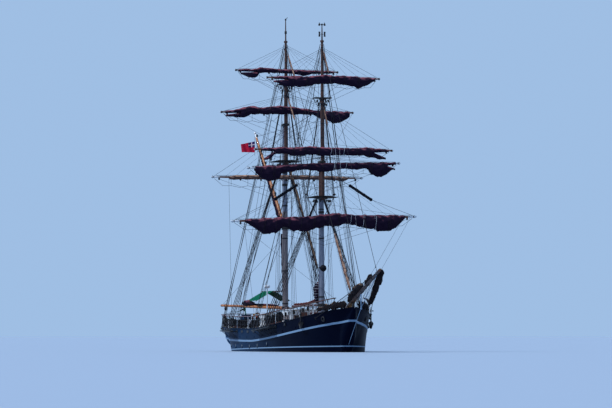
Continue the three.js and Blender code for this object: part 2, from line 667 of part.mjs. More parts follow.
const gaffSwing = mastSwing(MAIN, GAFF.z, GAFF.swing);
const peak = v3(-Math.cos(GAFF.rise), 0, Math.sin(GAFF.rise)).multiplyScalar(GAFF.length);
const FLAG = { hoist: 820, fly: 1120, top: peak.z - 800, thick: 8, toward: 52 * DEG, halyard: 12 };
const halyardX = peak.x - 10;
const halyard = rod(v3(halyardX, 0, peak.z - 25), v3(halyardX, 0, FLAG.top - FLAG.hoist - 60),
  FLAG.halyard, FLAG.halyard, 8);
const gaffSpar = join(aftSpar(MAIN, GAFF), halyard);
add("gaff", gaffSpar, "varnish", gaffSwing);

/** The spanker brailed up under its gaff; rows follow the gaff from the throat to the peak. */
function brailedSpanker() {
  const down = v3(-Math.sin(GAFF.rise), 0, -Math.cos(GAFF.rise));
  const along = v3(-Math.cos(GAFF.rise), 0, Math.sin(GAFF.rise));
  const rows = [[750, 210, 130, 130], [1300, 235, 200, 210], [2400, 225, 180, 190], [3600, 215, 150, 170],
    [4800, 195, 130, 145], [6000, 170, 110, 120], [7400, 140, 80, 90], [8600, 115, 50, 55]];
  return bundle(rows.map(([far, under, wide, tall]) => {
    const at = along.clone().multiplyScalar(far).addScaledVector(down, under);
    return [at.x, at.y, at.z, wide, tall];
  }));
}
add("spanker_furled", seated(brailedSpanker(), gaffSpar), "tan_sail", gaffSwing);

/** The ensign, flat on its halyard. */
function ensign() {
  const sheet = block([0, -FLAG.thick / 2, FLAG.top - FLAG.hoist], [FLAG.fly, FLAG.thick / 2, FLAG.top]);
  sheet.translate(FLAG.halyard + SEAT, 0, 0).rotateZ(Math.PI + FLAG.toward);
  return sheet.translate(halyardX, 0, 0);
}
add("ensign", ensign(), "red_bunting", gaffSwing);

const foreBoom = mastSwing(FORE, FORE_BOOM.z, 0);
const foreBoomSpar = aftSpar(FORE, FORE_BOOM);
add("fore_boom", foreBoomSpar, "varnish", foreBoom);

/** The fore trysail brailed in to the mast, its foot swept out to the boom's end. */
function brailedTrysail() {
  const mast = bundle([[-470, 0, 105, 200, 170], [-490, 0, 500, 230, 230], [-480, 0, 1100, 250, 240],
    [-460, 0, 1450, 190, 180], [-440, 0, 1600, 110, 110]]);
  const foot = bundle([[-520, 0, 700, 60, 190], [-1300, 0, 480, 50, 150], [-2700, 0, 290, 45, 110],
    [-4400, 0, 225, 40, 80], [-6400, 0, 220, 40, 70], [-8300, 0, 245, 35, 60]]);
  return join(mast, foot);
}
add("fore_trysail_furled", seated(brailedTrysail(), foreBoomSpar), "tan_sail", foreBoom);

// Bowsprit and its gear

/** The bowsprit's bare spar, its radius made larger by an allowance. */
function bareSprit(grow = 0) {
  return rod(v3(BOWSPRIT.heelX, 0, BOWSPRIT.heelZ), v3(BOWSPRIT.tipX, 0, BOWSPRIT.tipZ),
    BOWSPRIT.radius + grow, BOWSPRIT.tip + grow, 14);
}

/** The bowsprit with its heel bitts and the saddle on the stem head. */
function bowsprit() {
  const spar = bareSprit();
  const bitt = (y) => block([13180, y - 70, 2250], [13340, y + 70, 3150]);
  const beam = block([13160, -330, 2350], [13360, 330, 2640]);
  const saddle = block([15500, -60, 2700], [15780, 60, spritLine(15640)]);
  const band = rod(v3(22380, 0, spritLine(22380)), v3(22470, 0, spritLine(22470)), 135, 135, 14);
  return join(spar, beam, bitt(-235), bitt(235), saddle, band, ...lugsOn("bowsprit"));
}
const sprit = seated(bowsprit(), hull);
add("bowsprit", sprit, "varnish");

/** The dolphin striker, the bobstay to the stem and the martingale stay to the bowsprit's end. */
function dolphinStriker() {
  const foot = spritLine(STRIKER.x) - spritRadius(STRIKER.x) - STRIKER.length;
  const head = v3(STRIKER.x - 60, 0, spritLine(STRIKER.x));
  const post = rod(v3(STRIKER.x, 0, foot), head, STRIKER.radius, 60, 8);
  const bobstay = rod(v3(STRIKER.x, 0, foot + 60), v3(14080, 0, 350), 26, 26, 6);
  const martingale = rod(v3(STRIKER.x, 0, foot + 60), v3(22340, 0, spritLine(22340)), 20, 20, 6);
  return seated(join(post, bobstay, martingale), sprit, hull);
}
add("dolphin_striker", dolphinStriker(), "white_paint");

const GUY = { radius: 22, tipX: 22330, tipY: 40, footX: 12600, drop: 330, eyeHalf: 120, rootY: 1500 };

/** Where one guy is fast to its bow. */
const guyFoot = (side) => v3(GUY.footX, side * (beamAt(GUY.footX) + 10), sheerAt(GUY.footX) - GUY.drop);

/** The rod of the guy from the bowsprit's end to one bow. */
function guyRod(side, radius) {
  return rod(v3(GUY.tipX, side * GUY.tipY, spritLine(GUY.tipX)), guyFoot(side), radius, radius, 6);
}

/** One guy with the eye that holds it to the bow. */
function bowspritGuy(side) {
  const foot = guyFoot(side);
  const across = [side * GUY.rootY, foot.y + side * 30];
  const eye = block([GUY.footX - GUY.eyeHalf, Math.min(...across), foot.z - GUY.eyeHalf / 2],
    [GUY.footX + GUY.eyeHalf, Math.max(...across), foot.z + GUY.eyeHalf / 2]);
  return seated(join(guyRod(side, GUY.radius), eye), sprit, hull);
}
for (const [name, side] of [["port", 1], ["starboard", -1]]) {
  add(`bowsprit_guy_${name}`, bowspritGuy(side), "galvanised");
}

// Shrouds, backstays and stays

// Columns: forward of the mast's own line at the top, at the foot
const SHROUDS = [[-100, -800], [-220, -1400], [-340, -2000], [-460, -2600]];
const BACKSTAYS = [[-3700, "crosstrees"], [-4500, "head"]];

/** The lower shrouds and the backstays of one side, on the channel that spreads them. */
function sideRigging(mast, side) {
  const channelTop = (x) => sheerAt(x) - CHANNEL.drop;
  const xs = [-4800, -3600, -2400, -1300, -500].map((x) => mast.x + x);
  const channel = skin(xs.map((x) => {
    const [inner, outer, top] = [beamAt(x) - 200, beamAt(x) + CHANNEL.reach, channelTop(x)];
    return [v3(x, side * inner, top - CHANNEL.tall), v3(x, side * outer, top - CHANNEL.tall),
      v3(x, side * outer, top), v3(x, side * inner, top)];
  }));
  const foot = (x) => v3(mast.x + x, side * (beamAt(mast.x + x) + CHANNEL.foot), channelTop(mast.x + x) - 20);
  const pieces = [];
  for (const [topX, footX] of SHROUDS) {
    const eye = onMast(mast, topX, side * (mast.lowerRadius + 60), mast.topZ - 200);
    pieces.push(rod(foot(footX), eye, 24, 22, 6));
  }
  for (const [footX, where] of BACKSTAYS) {
    const at = where === "head"
      ? onMast(mast, DOUBLING - 30, side * 125, mast.headZ - 260)
      : onMast(mast, DOUBLING - 240, side * 670, mast.crosstreesZ);
    pieces.push(rod(foot(footX), at, 20, 16, 6));
  }
  return join(seated(channel, hull), ...pieces);
}
for (const mast of [FORE, MAIN]) {
  for (const [side, sign] of [["port", 1], ["starboard", -1]]) {
    add(`${mast.name}_shrouds_${side}`, sideRigging(mast, sign), "tarred_rope");
  }
}

for (const row of stays) add(row.name, stay(row), row.roll ? "tan_sail" : "tarred_rope");

// The headsails stowed on the bowsprit. Columns: x, y, z above the bowsprit's line, half-width, half-height
const INNER_JIB = [[14700, -60, 240, 120, 110], [15200, -90, 330, 220, 230], [16300, -70, 420, 290, 300],
  [17200, -40, 410, 300, 330], [17700, 0, 350, 200, 250], [17950, 0, 320, 90, 110]];
const MIDDLE_JIB = [[19000, 0, 150, 90, 90], [19400, 0, 230, 170, 170], [20000, 0, 270, 180, 220],
  [20450, 0, 330, 90, 130]];
const OUTER_JIB = [[22250, 160, 150, 90, 110], [21800, 300, 60, 240, 330], [20900, 450, -80, 240, 330],
  [19600, 580, -180, 200, 270], [18000, 830, -190, 170, 240], [16400, 1060, -180, 150, 210],
  [15500, 1160, -60, 110, 150]];
const aboveSprit = ([x, y, z, ...rest]) => [x, y, spritLine(x) + z, ...rest];
const spritSpace = bareSprit(SEAT * 1.1);
add("inner_jib_furled", seated(bundle(INNER_JIB.map(aboveSprit), SAIL_SIDES),
  ...["bowsprit", "fore_stay", "fore_topmast_stay"].map(inShip)), "tan_sail");
add("middle_jib_furled", hollowed(bundle(MIDDLE_JIB.map(aboveSprit), SAIL_SIDES), spritSpace), "tan_sail");
add("outer_jib_furled", hollowed(bundle(OUTER_JIB.map(aboveSprit), SAIL_SIDES), spritSpace,
  guyRod(1, GUY.radius + SEAT * 1.2)), "tan_sail");

const BALL = { at: v3(9000, -480, 5850), radius: 230 };

/** The ball hoisted forward on its line from the forestay. */
function anchorBall() {
  const { at, radius } = BALL;
  const { upper, down } = stays.find((row) => row.name === "fore_stay");
  const hook = upper.clone().addScaledVector(down, (at.x - upper.x) / down.x);
  const ball = new THREE.SphereGeometry(radius, 14, 9).translate(at.x, at.y, at.z);
  return seated(join(ball, rod(at, hook, 12, 12, 6)), inShip("fore_stay"));
}
add("anchor_ball", anchorBall(), "black_paint");

// Rails

/** Height of the bulwark's top, straight from one station to the next. */
const bulwarkTop = (x) => between(STATIONS.map(([station]) => [station, sheerAt(station)]), x, 1);

/** One square post of a rail. */
function railPost(x, y, high) {
  const half = RAIL.postHalf;
  const foot = Math.max(bulwarkTop(x - half), bulwarkTop(x + half)) + SEAT;
  return block([x - half, y - half, foot], [x + half, y + half, sheerAt(x) + high + 20]);
}

/** A rail of posts and cap along the bulwark of one side. */
function rail(side, fromX, toX, high, posts = []) {
  const inset = BULWARK_THICK / 2;
  const y = (x) => Math.max(beamAt(x) - inset, 30);
  const xs = [];
  for (let x = fromX; x < toX - 400; x += 1800) xs.push(x);
  xs.push(toX);
  const rings = xs.map((x) => {
    const [low, tall] = [sheerAt(x) + high, sheerAt(x) + high + RAIL.capTall];
    return [v3(x, side * (y(x) - RAIL.capHalf), low), v3(x, side * (y(x) + RAIL.capHalf), low),
      v3(x, side * (y(x) + RAIL.capHalf), tall), v3(x, side * (y(x) - RAIL.capHalf), tall)];
  });
  const pieces = [skin(rings), ...posts];
  const count = Math.round((toX - fromX - 120) / RAIL.step);
  for (let i = 0; i <= count; i++) {
    const x = fromX + 60 + (i * (toX - fromX - 120)) / count;
    pieces.push(railPost(x, side * y(x), high));
  }
  return pieces;
}

/** The half of the taffrail that closes a side's rail across the stern. */
function taffrail(side, x, high) {
  const [low, y] = [sheerAt(x) + high, beamAt(x) - BULWARK_THICK / 2 + RAIL.capHalf];
  const [near, far] = [side * (SEAT / 2), side * y];
  const cap = block([x - 60, Math.min(near, far), low], [x + 90, Math.max(near, far), low + RAIL.capTall]);
  const posts = [0.18, 0.55].map((share) => railPost(x + 50, far * share, high));
  return [cap, ...posts];
}

const DOME = { x: 2300, y: -2950, top: 4760 };

/** The white post with a domed aerial that stands inside the starboard rail and is clamped to its cap. */
function domePost() {
  const capZ = sheerAt(DOME.x) + RAIL.high;
  const foot = v3(DOME.x, DOME.y, bulwarkTop(DOME.x) - BULWARK + 30);
  const post = rod(foot, v3(DOME.x, DOME.y, DOME.top - 120), 38, 34, 10);
  const clamp = block([DOME.x - 30, 45 - beamAt(DOME.x), capZ + 5], [DOME.x + 30, DOME.y, capZ + 50]);
  const outline = [[0, -240], [120, -235], [200, -180], [205, -100], [150, -25], [0, 0]];
  const dome = turned(outline, 14).translate(DOME.x, DOME.y, DOME.top);
  return [post, clamp, dome];
}

const RAIL_AFT_X = -16420;
const RAIL_FORE_X = 8300;
for (const [name, side] of [["port", 1], ["starboard", -1]]) {
  const extra = [...taffrail(side, RAIL_AFT_X, RAIL.high), ...(side < 0 ? domePost() : [])];
  const main = rail(side, RAIL_AFT_X, RAIL_FORE_X, RAIL.high, extra);
  add(`main_rail_${name}`, join(...main), "varnish");
  add(`fore_rail_${name}`, join(...rail(side, RAIL_FORE_X + 250, 14700, RAIL.foreHigh)), "varnish");
}

// Deckhouses and gear

// Columns: name, middle x, middle y, length, width, top, finish
const HOUSES = [
  ["midship_house", 0, 0, 2600, 2000, 3050, "white_paint"],
  ["aft_house", -8000, -500, 1500, 1050, 2780, "white_paint"],
  ["aft_skylight", -11200, 0, 1300, 1200, 2350, "grey_paint"],
];
const ROOF = { eave: 60, thick: 80 };
const HOUSE_FOOT_Z = 1100; // inside the hull, which trims it to the deck

/** A block of a house's plan, made larger all round by an eave. */
function plan([, x, y, length, width], eave, low, high) {
  const [halfX, halfY] = [length / 2 + eave, width / 2 + eave];
  return block([x - halfX, y - halfY, low], [x + halfX, y + halfY, high]);
}
for (const house of HOUSES) {
  const [name, top, finish] = [house[0], house[5], house[6]];
  const walls = plan(house, 0, HOUSE_FOOT_Z, top - ROOF.thick + 10);
  const roof = plan(house, ROOF.eave, top - ROOF.thick, top);
  add(name, seated(join(walls, roof), hull), finish);
}

const WINDLASS = { x: 11400, up: 430, half: 900, barrel: 150, wildcat: 230, bittY: 520, wildcatY: 240 };

/** A windlass: its barrel and warping ends between two bitts. */
function windlass() {
  const { x, up, half, bittY, wildcatY } = WINDLASS;
  const z = deckAt(x) + up;
  const bitt = (y) => block([x - 110, y - 60, deckAt(x) - 250], [x + 110, y + 60, z + 260]);
  const barrel = rod(v3(x, -half, z), v3(x, half, z), WINDLASS.barrel, WINDLASS.barrel, 12);
  const wildcat = (y) => rod(v3(x, y - 90, z), v3(x, y + 90, z), WINDLASS.wildcat, WINDLASS.wildcat, 12);
  return seated(join(bitt(-bittY), bitt(bittY), barrel, wildcat(-wildcatY), wildcat(wildcatY)), hull);
}
add("windlass", windlass(), "black_paint");

const ANCHOR = { x: 10700, out: 110, drop: 150 };

/** A stocked bower anchor lashed upright outside the rail of one bow. */
function bowerAnchor(side) {
  const [x, z] = [ANCHOR.x, sheerAt(ANCHOR.x)];
  const y = beamAt(x) + ANCHOR.out;
  const shank = rod(v3(0, 0, -650), v3(0, 0, 700), 55, 40, 8);
  const stock = rod(v3(-560, 0, 560), v3(560, 0, 560), 30, 30, 8);
  const arm = (way) => rod(v3(0, 0, -620), v3(way * 430, 0, -330), 50, 30, 8);
  const palm = (way) => block([way * 400 - 60, -70, -400], [way * 400 + 60, 70, -230]);
  const chock = block([-60, -200, -330], [60, 0, -230]);
  const whole = join(shank, stock, arm(1), arm(-1), palm(1), palm(-1), chock);
  if (side < 0) whole.rotateZ(Math.PI);
  return seated(whole.translate(x, side * y, z - ANCHOR.drop), hull);
}
for (const [name, side] of [["port", 1], ["starboard", -1]]) {
  add(`anchor_${name}`, bowerAnchor(side), "black_paint");
}

// Awning over the main boom

const RIDGE = { z: 4400, radius: 45, aft: -12000 };
const AWNING = { fore: -8300, aft: -11500, half: 1320, drop: 760, thick: 12 };

/** The spar that spreads the awning, and the line that carries its after end from the mast. */
function awningRidge() {
  const spar = rod(v3(MAIN.x - 100, 0, RIDGE.z), v3(RIDGE.aft, 0, RIDGE.z), RIDGE.radius, RIDGE.radius, 8);
  const lift = rod(v3(RIDGE.aft + 80, 0, RIDGE.z), onMast(MAIN, -MAIN.lowerRadius - 6, 0, 8600), 12, 12, 6);
  return join(seated(spar, inShip("main_lower_mast")), lift);
}
add("awning_ridge", awningRidge(), "varnish");

function awning() {
  const { half, drop, thick } = AWNING;
  const top = RIDGE.z + RIDGE.radius + SEAT + thick;
  const ring = (x) => [v3(x, -half, top - drop), v3(x, 0, top), v3(x, half, top - drop),
    v3(x, half, top - drop - thick), v3(x, 0, top - thick), v3(x, -half, top - drop - thick)];
  return seated(skin([ring(AWNING.aft), ring(AWNING.fore)]), inShip("awning_ridge"));
}
add("awning", awning(), "green_canvas");

// Helm

/** The pedestal that carries the wheel, with the binnacle ahead of it. */
function pedestal() {
  const deck = deckAt(HELM.x);
  const box = block([-13450, -190, deck - 300], [-12900, 190, HELM.z + 120]);
  const bearing = rod(v3(-13470, 0, HELM.z), v3(-12950, 0, HELM.z), 95, 95, 12);
  const bore = socket(v3(-13490, 0, HELM.z), v3(-13320, 0, HELM.z), HELM.shaft);
  const bowl = turned([[0, 60], [150, 60], [130, 260], [60, 330], [0, 330]], 12).translate(-13100, 0, HELM.z);
  return seated(cut(join(box, bearing, bowl), bore), hull);
}
add("helm_pedestal", pedestal(), "varnish");

/** A spoked wheel about +X. */
function helmWheel() {
  const rim = new THREE.TorusGeometry(HELM.radius * 0.76, 32, 5, 16).rotateY(Math.PI / 2);
  const hub = rod(v3(-60, 0, 0), v3(55, 0, 0), 90, 90, 12);
  const shaft = rod(v3(0, 0, 0), v3(200, 0, 0), HELM.shaft, HELM.shaft, 12).rotateX(Math.PI / 12);
  const spokes = [0, 1, 2, 3, 4, 5, 6, 7].map((i) => {
    const angle = (i * Math.PI) / 4;
    return rod(v3(0, 0, 0), v3(0, HELM.radius * Math.sin(angle), HELM.radius * Math.cos(angle)), 22, 17, 4);
  });
  return join(rim, hub, shaft, ...spokes);
}
const helm = new THREE.Group();
helm.position.set(HELM.x, 0, HELM.z);
ship.add(helm);
add("helm_wheel", helmWheel(), "varnish", helm);

export { YARDS, FORE, MAIN, DOUBLING, MAST_RAKE, MAST_ROOT_Z, BOOM, GAFF, STOCK, PROPELLER_X, SHAFT_Z };
export default ship;
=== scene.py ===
"""The looks of a two-masted brig with her sails furled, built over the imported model.

Metres, +X to the bow, +Y to port, +Z up, zero at the waterline amidships.
"""

import logging
import math
from dataclasses import dataclass, field
from enum import Enum, auto
from typing import Callable, Sequence

import bpy
from mathutils import Matrix, Vector

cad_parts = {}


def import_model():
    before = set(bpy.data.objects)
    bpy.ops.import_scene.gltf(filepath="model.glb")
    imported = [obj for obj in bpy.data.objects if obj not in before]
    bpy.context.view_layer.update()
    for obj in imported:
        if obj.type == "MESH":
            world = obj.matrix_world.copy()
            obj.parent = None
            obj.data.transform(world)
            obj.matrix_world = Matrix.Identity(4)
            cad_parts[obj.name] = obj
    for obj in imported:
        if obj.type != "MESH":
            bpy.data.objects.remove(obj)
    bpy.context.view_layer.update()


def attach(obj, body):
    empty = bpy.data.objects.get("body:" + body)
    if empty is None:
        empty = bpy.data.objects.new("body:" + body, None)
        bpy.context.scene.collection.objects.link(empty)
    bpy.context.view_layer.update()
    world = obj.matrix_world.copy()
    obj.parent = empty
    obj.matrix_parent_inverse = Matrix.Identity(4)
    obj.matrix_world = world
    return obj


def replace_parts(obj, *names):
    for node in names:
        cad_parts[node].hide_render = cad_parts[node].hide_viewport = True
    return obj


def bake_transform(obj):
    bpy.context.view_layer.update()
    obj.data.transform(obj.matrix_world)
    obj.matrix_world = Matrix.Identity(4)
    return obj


LOG = logging.getLogger("brig")
MM = 0.001
HOOP_SIDES = 6
X_AXIS = Vector((1, 0, 0))
Y_AXIS = Vector((0, 1, 0))
Z_AXIS = Vector((0, 0, 1))
Place = Vector | tuple[float, float, float]


# Colours, nodes and finishes


def linear(code: str) -> tuple[float, float, float, float]:
    """An sRGB hex colour as linear values.

    Args:
        code: six hex digits, such as "1A2B3C".

    Returns:
        Red, green, blue and an alpha of 1.
    """
    parts = [int(code[i : i + 2], 16) / 255 for i in (0, 2, 4)]
    red, green, blue = (c / 12.92 if c <= 0.04045 else ((c + 0.055) / 1.055) ** 2.4 for c in parts)
    return red, green, blue, 1.0


def add_node(
    tree: bpy.types.NodeTree, kind: str, settings: dict | None = None, inputs: dict | None = None
) -> bpy.types.Node:
    """Adds one shader node with its settings and links.

    Args:
        tree: the material's node tree.
        kind: the node's type, without the ShaderNode before it.
        settings: properties of the node by name.
        inputs: values, or output sockets to link from, by the input's name or number.

    Returns:
        The new node.
    """
    node = tree.nodes.new(f"ShaderNode{kind}")
    for name, value in (settings or {}).items():
        setattr(node, name, value)
    for name, value in (inputs or {}).items():
        if isinstance(value, bpy.types.NodeSocket):
            tree.links.new(value, node.inputs[name])
        else:
            node.inputs[name].default_value = value
    return node


class Pattern(Enum):
    """How a finish's surface was made, and so what its pattern is."""

    PAINT = "brushed or sprayed coat"
    GRAIN = "long wood grain"
    WEAVE = "woven cloth"
    LAY = "laid rope"
    PLANKS = "laid planks"
    CAST = "rough casting"


@dataclass(frozen=True)
class Finish:
    """A finish: its colours, its pattern's real size and its gloss."""

    name: str
    slot: str
    base: str
    second: str
    pattern: Pattern
    size_mm: float
    roughness: float
    metallic: float = 0.0
    relief_mm: float = 0.5
    sheen: float = 0.0
    coat: float = 0.0
    # A paler colour that upward faces take in patches: a painted highlight
    painted_highlight: str = ""
    specular: float = 0.35

    def material(self) -> bpy.types.Material:
        """The material of this finish, made once.

        Returns:
            The material.
        """
        known = bpy.data.materials.get(self.name)
        if known:
            return known
        material = bpy.data.materials.new(self.name)
        material.use_nodes = True
        tree = material.node_tree
        tree.nodes.clear()
        place = add_node(tree, "TexCoord")
        socket = place.outputs["Object" if self.pattern in (Pattern.PAINT, Pattern.CAST) else "UV"]
        height, share = self.relief(tree, socket)
        wear = add_node(
            tree, "TexNoise", None, {"Vector": place.outputs["Object"], "Scale": 0.9, "Detail": 6.0}
        )
        mixed = add_node(tree, "Math", {"operation": "MULTIPLY_ADD"}, {0: share, 1: 0.65, 2: 0.0})
        tree.links.new(
            add_node(tree, "Math", {"operation": "MULTIPLY"}, {0: wear.outputs["Fac"], 1: 0.45}).outputs[0],
            mixed.inputs[2],
        )
        colour = add_node(
            tree, "Mix", {"data_type": "RGBA"},
            {"Factor": mixed.outputs[0], 6: linear(self.base), 7: linear(self.second)}
        )
        out = colour.outputs[2]
        # Upward faces are made paler in patches: painted highlight
        if self.painted_highlight:
            out = self.paint_highlight(tree, out)
        bump = add_node(
            tree, "Bump", None, {"Height": height, "Distance": self.relief_mm * MM, "Strength": 1.0}
        )
        gloss = add_node(
            tree, "MapRange", None,
            {
                "Value": wear.outputs["Fac"], "To Min": max(0.04, self.roughness - 0.08),
                "To Max": min(1.0, self.roughness + 0.1)
            }
        )
        shader = add_node(
            tree, "BsdfPrincipled", None,
            {
                "Base Color": out, "Roughness": gloss.outputs[0], "Metallic": self.metallic,
                "Normal": bump.outputs[0], "Sheen Weight": self.sheen, "Coat Weight": self.coat,
                "Specular IOR Level": 0.5 if self.metallic else self.specular
            }
        )
        add_node(tree, "OutputMaterial", None, {"Surface": shader.outputs[0]})
        return material

    def paint_highlight(self, tree: bpy.types.NodeTree, colour: bpy.types.NodeSocket) -> bpy.types.NodeSocket:
        """The colour with a painted highlight: paler on its upward faces, in noisy patches.

        Args:
            tree: the material's node tree.
            colour: the colour before it.

        Returns:
            The colour with its painted highlight.
        """
        normal = add_node(tree, "NewGeometry").outputs["Normal"]
        up = add_node(tree, "SeparateXYZ", None, {0: normal}).outputs[2]
        place = add_node(tree, "TexCoord").outputs["Object"]
        patches = add_node(tree, "TexNoise", None, {"Vector": place, "Scale": 3.2, "Detail": 5.0})
        # Noise plus how far the face points up; where it is high, the painted highlight shows
        wear_and_sheen = add_node(
            tree, "Math", {"operation": "MULTIPLY_ADD"}, {0: patches.outputs["Fac"], 1: 1.3, 2: up}
        )
        share = add_node(
            tree, "MapRange", None,
            {"Value": wear_and_sheen.outputs[0], "From Min": 1.12, "From Max": 1.75, "To Max": 0.85}
        )
        mix = add_node(
            tree, "Mix", {"data_type": "RGBA"},
            {"Factor": share.outputs[0], 6: colour, 7: linear(self.painted_highlight)}
        )
        return mix.outputs[2]

    def relief(
        self, tree: bpy.types.NodeTree, place: bpy.types.NodeSocket
    ) -> tuple[bpy.types.NodeSocket, bpy.types.NodeSocket]:
        """The nodes of the surface's pattern.

        Args:
            tree: the material's node tree.
            place: the coordinates, in metres.

        Returns:
            The relief's height and the share of the second colour.
        """
        per_metre = 1 / (self.size_mm * MM)
        if self.pattern is Pattern.GRAIN:
            long = add_node(tree, "Mapping", None, {0: place, 3: (per_metre, per_metre / 40, 1.0)})
            grain = add_node(
                tree, "TexNoise", None,
                {"Vector": long.outputs[0], "Scale": 1.0, "Detail": 8.0, "Distortion": 0.6}
            )
            return grain.outputs["Fac"], grain.outputs["Fac"]
        if self.pattern in (Pattern.WEAVE, Pattern.PLANKS, Pattern.LAY):
            turn = math.radians(35) if self.pattern is Pattern.LAY else 0.0
            turned = add_node(tree, "Mapping", None, {0: place, 2: (0.0, 0.0, turn)})
            waves = add_node(
                tree, "TexWave", {"wave_type": "BANDS", "bands_direction": "X"},
                {
                    "Vector": turned.outputs[0], "Scale": per_metre * math.pi / 10, "Distortion": 0.3,
                    "Detail": 2.0
                }
            )
            if self.pattern is Pattern.PLANKS:
                seam = add_node(
                    tree, "MapRange", None,
                    {
                        "Value": waves.outputs["Fac"], "From Min": 0.0, "From Max": 0.03, "To Min": 1.0,
                        "To Max": 0.0
                    }
                )
                return waves.outputs["Fac"], seam.outputs[0]
            return waves.outputs["Fac"], waves.outputs["Fac"]
        noise = add_node(tree, "TexNoise", None, {"Vector": place, "Scale": per_metre, "Detail": 6.0})
        return noise.outputs["Fac"], noise.outputs["Fac"]


# Alkyd enamel on brushed steel houses and stripes: white, a little chalky
WHITE_ENAMEL = Finish(
    "white_enamel", "white_paint", "CDD4DC", "A7B1BE", Pattern.PAINT, 60, 0.4, relief_mm=0.3
)
# Grey-blue enamel rolled on a steel mast: satin, a little weathered
GREY_ENAMEL = Finish(
    "grey_blue_enamel", "grey_paint", "818A9C", "444E64", Pattern.PAINT, 220, 0.5, relief_mm=0.4,
    specular=0.2
)
# Brown mast paint over steel, streaked by the weather
BROWN_ENAMEL = Finish(
    "weathered_brown_enamel", "dark_wood", "7A7478", "403E48", Pattern.GRAIN, 60, 0.6, relief_mm=0.6
)
# Spar varnish on pitch pine: warm orange, glossy, long grain
VARNISH = Finish(
    "varnished_pine", "varnish", "BF7A45", "74401F", Pattern.GRAIN, 18, 0.42, relief_mm=0.3, coat=0.06
)
# Yards: varnish gone dark brown over pine
SPAR = Finish(
    "dark_varnished_spar", "varnish", "7A4630", "4C2B20", Pattern.GRAIN, 22, 0.4, relief_mm=0.4, coat=0.2
)
# Bowsprit: brown varnish, worn
BROWN_SPRIT = Finish(
    "brown_sprit_varnish", "varnish", "4A2E26", "241A1A", Pattern.GRAIN, 24, 0.4, relief_mm=0.4, coat=0.2
)
# Varnished mahogany rails: redder and darker than the spars
MAHOGANY = Finish(
    "varnished_mahogany", "varnish", "5E281D", "321512", Pattern.GRAIN, 14, 0.35, relief_mm=0.3, coat=0.15
)
# Oiled topmasts: dark brown, dull
OILED = Finish("oiled_spruce", "dark_wood", "54352B", "241719", Pattern.GRAIN, 25, 0.6, relief_mm=0.5)
# Tanned flax sailcloth: dark purple brown, its upward faces paler in patches as a painted highlight. The
# cloths' seams are drawn coarse
TANNED = Finish(
    "tanned_sailcloth", "tan_sail", "20162A", "120B1B", Pattern.WEAVE, 90, 0.9, relief_mm=4,
    painted_highlight="985A66", specular=0.05
)
# Manila gaskets and coils: pale straw
MANILA = Finish(
    "manila_rope", "tarred_rope", "A9977A", "6E5F4A", Pattern.LAY, 24, 0.85, relief_mm=2, specular=0.2
)
# Tarred hemp and served wire: almost black
TARRED = Finish(
    "tarred_hemp", "tarred_rope", "14151E", "0A0B11", Pattern.LAY, 24, 0.8, relief_mm=2, specular=0.2
)
# Grey synthetic running rope
RUNNING = Finish(
    "running_rope", "tarred_rope", "30343F", "1C1F29", Pattern.LAY, 20, 0.85, relief_mm=1.5, specular=0.2
)
# Woven acrylic awning cloth: bright green, dull
AWNING_CLOTH = Finish(
    "green_acrylic_canvas", "green_canvas", "035F46", "024235", Pattern.WEAVE, 40, 0.85, relief_mm=1.5,
    specular=0.04
)
# Sewn wool bunting: red field, dark blue canton and white bars
RED_BUNTING = Finish(
    "red_wool_bunting", "red_bunting", "C0123A", "8C0A2A", Pattern.WEAVE, 30, 0.9, relief_mm=1, sheen=0.1,
    specular=0.1
)
BLUE_BUNTING = Finish(
    "blue_wool_bunting", "red_bunting", "3A2A66", "241A48", Pattern.WEAVE, 30, 0.9, relief_mm=1, sheen=0.1,
    specular=0.1
)
WHITE_BUNTING = Finish(
    "white_wool_bunting", "red_bunting", "DCC9CC", "B79AA2", Pattern.WEAVE, 30, 0.9, relief_mm=1, sheen=0.1,
    specular=0.1
)
# Scrubbed softwood deck with dark caulked seams, 120 mm planks
DECK = Finish("scrubbed_deck_planks", "varnish", "B79C78", "4A3B2C", Pattern.PLANKS, 120, 0.75, relief_mm=2)
# Bitumen paint on iron: black, satin
BLACK_IRON = Finish(
    "black_painted_iron", "black_paint", "0D0E14", "1B1B20", Pattern.CAST, 25, 0.5, relief_mm=0.8,
    specular=0.3
)
# Hot-dip galvanised steel: dull grey spangle
GALVANISED = Finish(
    "galvanised_steel", "galvanised", "7D848C", "5C636C", Pattern.CAST, 12, 0.55, metallic=0.85,
    relief_mm=0.2
)
# Cast manganese bronze, gone dull brown with salt: only its edges still shine
BRONZE = Finish(
    "cast_bronze", "bronze", "A07C3C", "6E5A30", Pattern.CAST, 20, 0.4, metallic=1.0, relief_mm=0.4
)
# Copper antifouling below the waterline: dull red-brown
ANTIFOULING = Finish("antifouling", "hull_paint", "3A1F1C", "2A1716", Pattern.CAST, 80, 0.85, relief_mm=1)
# Buff paint inside the bulwarks
BUFF = Finish("buff_enamel", "white_paint", "D8CDB4", "BFB294", Pattern.PAINT, 120, 0.5, relief_mm=0.4)
# Orange and white plastic of the life-saving gear
SAFETY_ORANGE = Finish(
    "orange_plastic", "white_paint", "E2581E", "C04412", Pattern.PAINT, 40, 0.45, relief_mm=0.2
)
# White enamel of the strake and the boot-top, its colour darkened to a pale blue-grey as painted shade
STRIPE_ENAMEL = Finish(
    "pale_stripe_enamel", "white_paint", "7290AE", "577696", Pattern.PAINT, 120, 0.5, relief_mm=0.3
)
# Tan canvas of the small staysails: pale brown, creased, its upward faces paler still as a painted highlight
PALE_CANVAS = Finish(
    "pale_canvas_painted_highlight", "tan_sail", "6E544A", "32262A", Pattern.WEAVE, 60, 0.9, relief_mm=3,
    painted_highlight="B8957F", specular=0.1
)
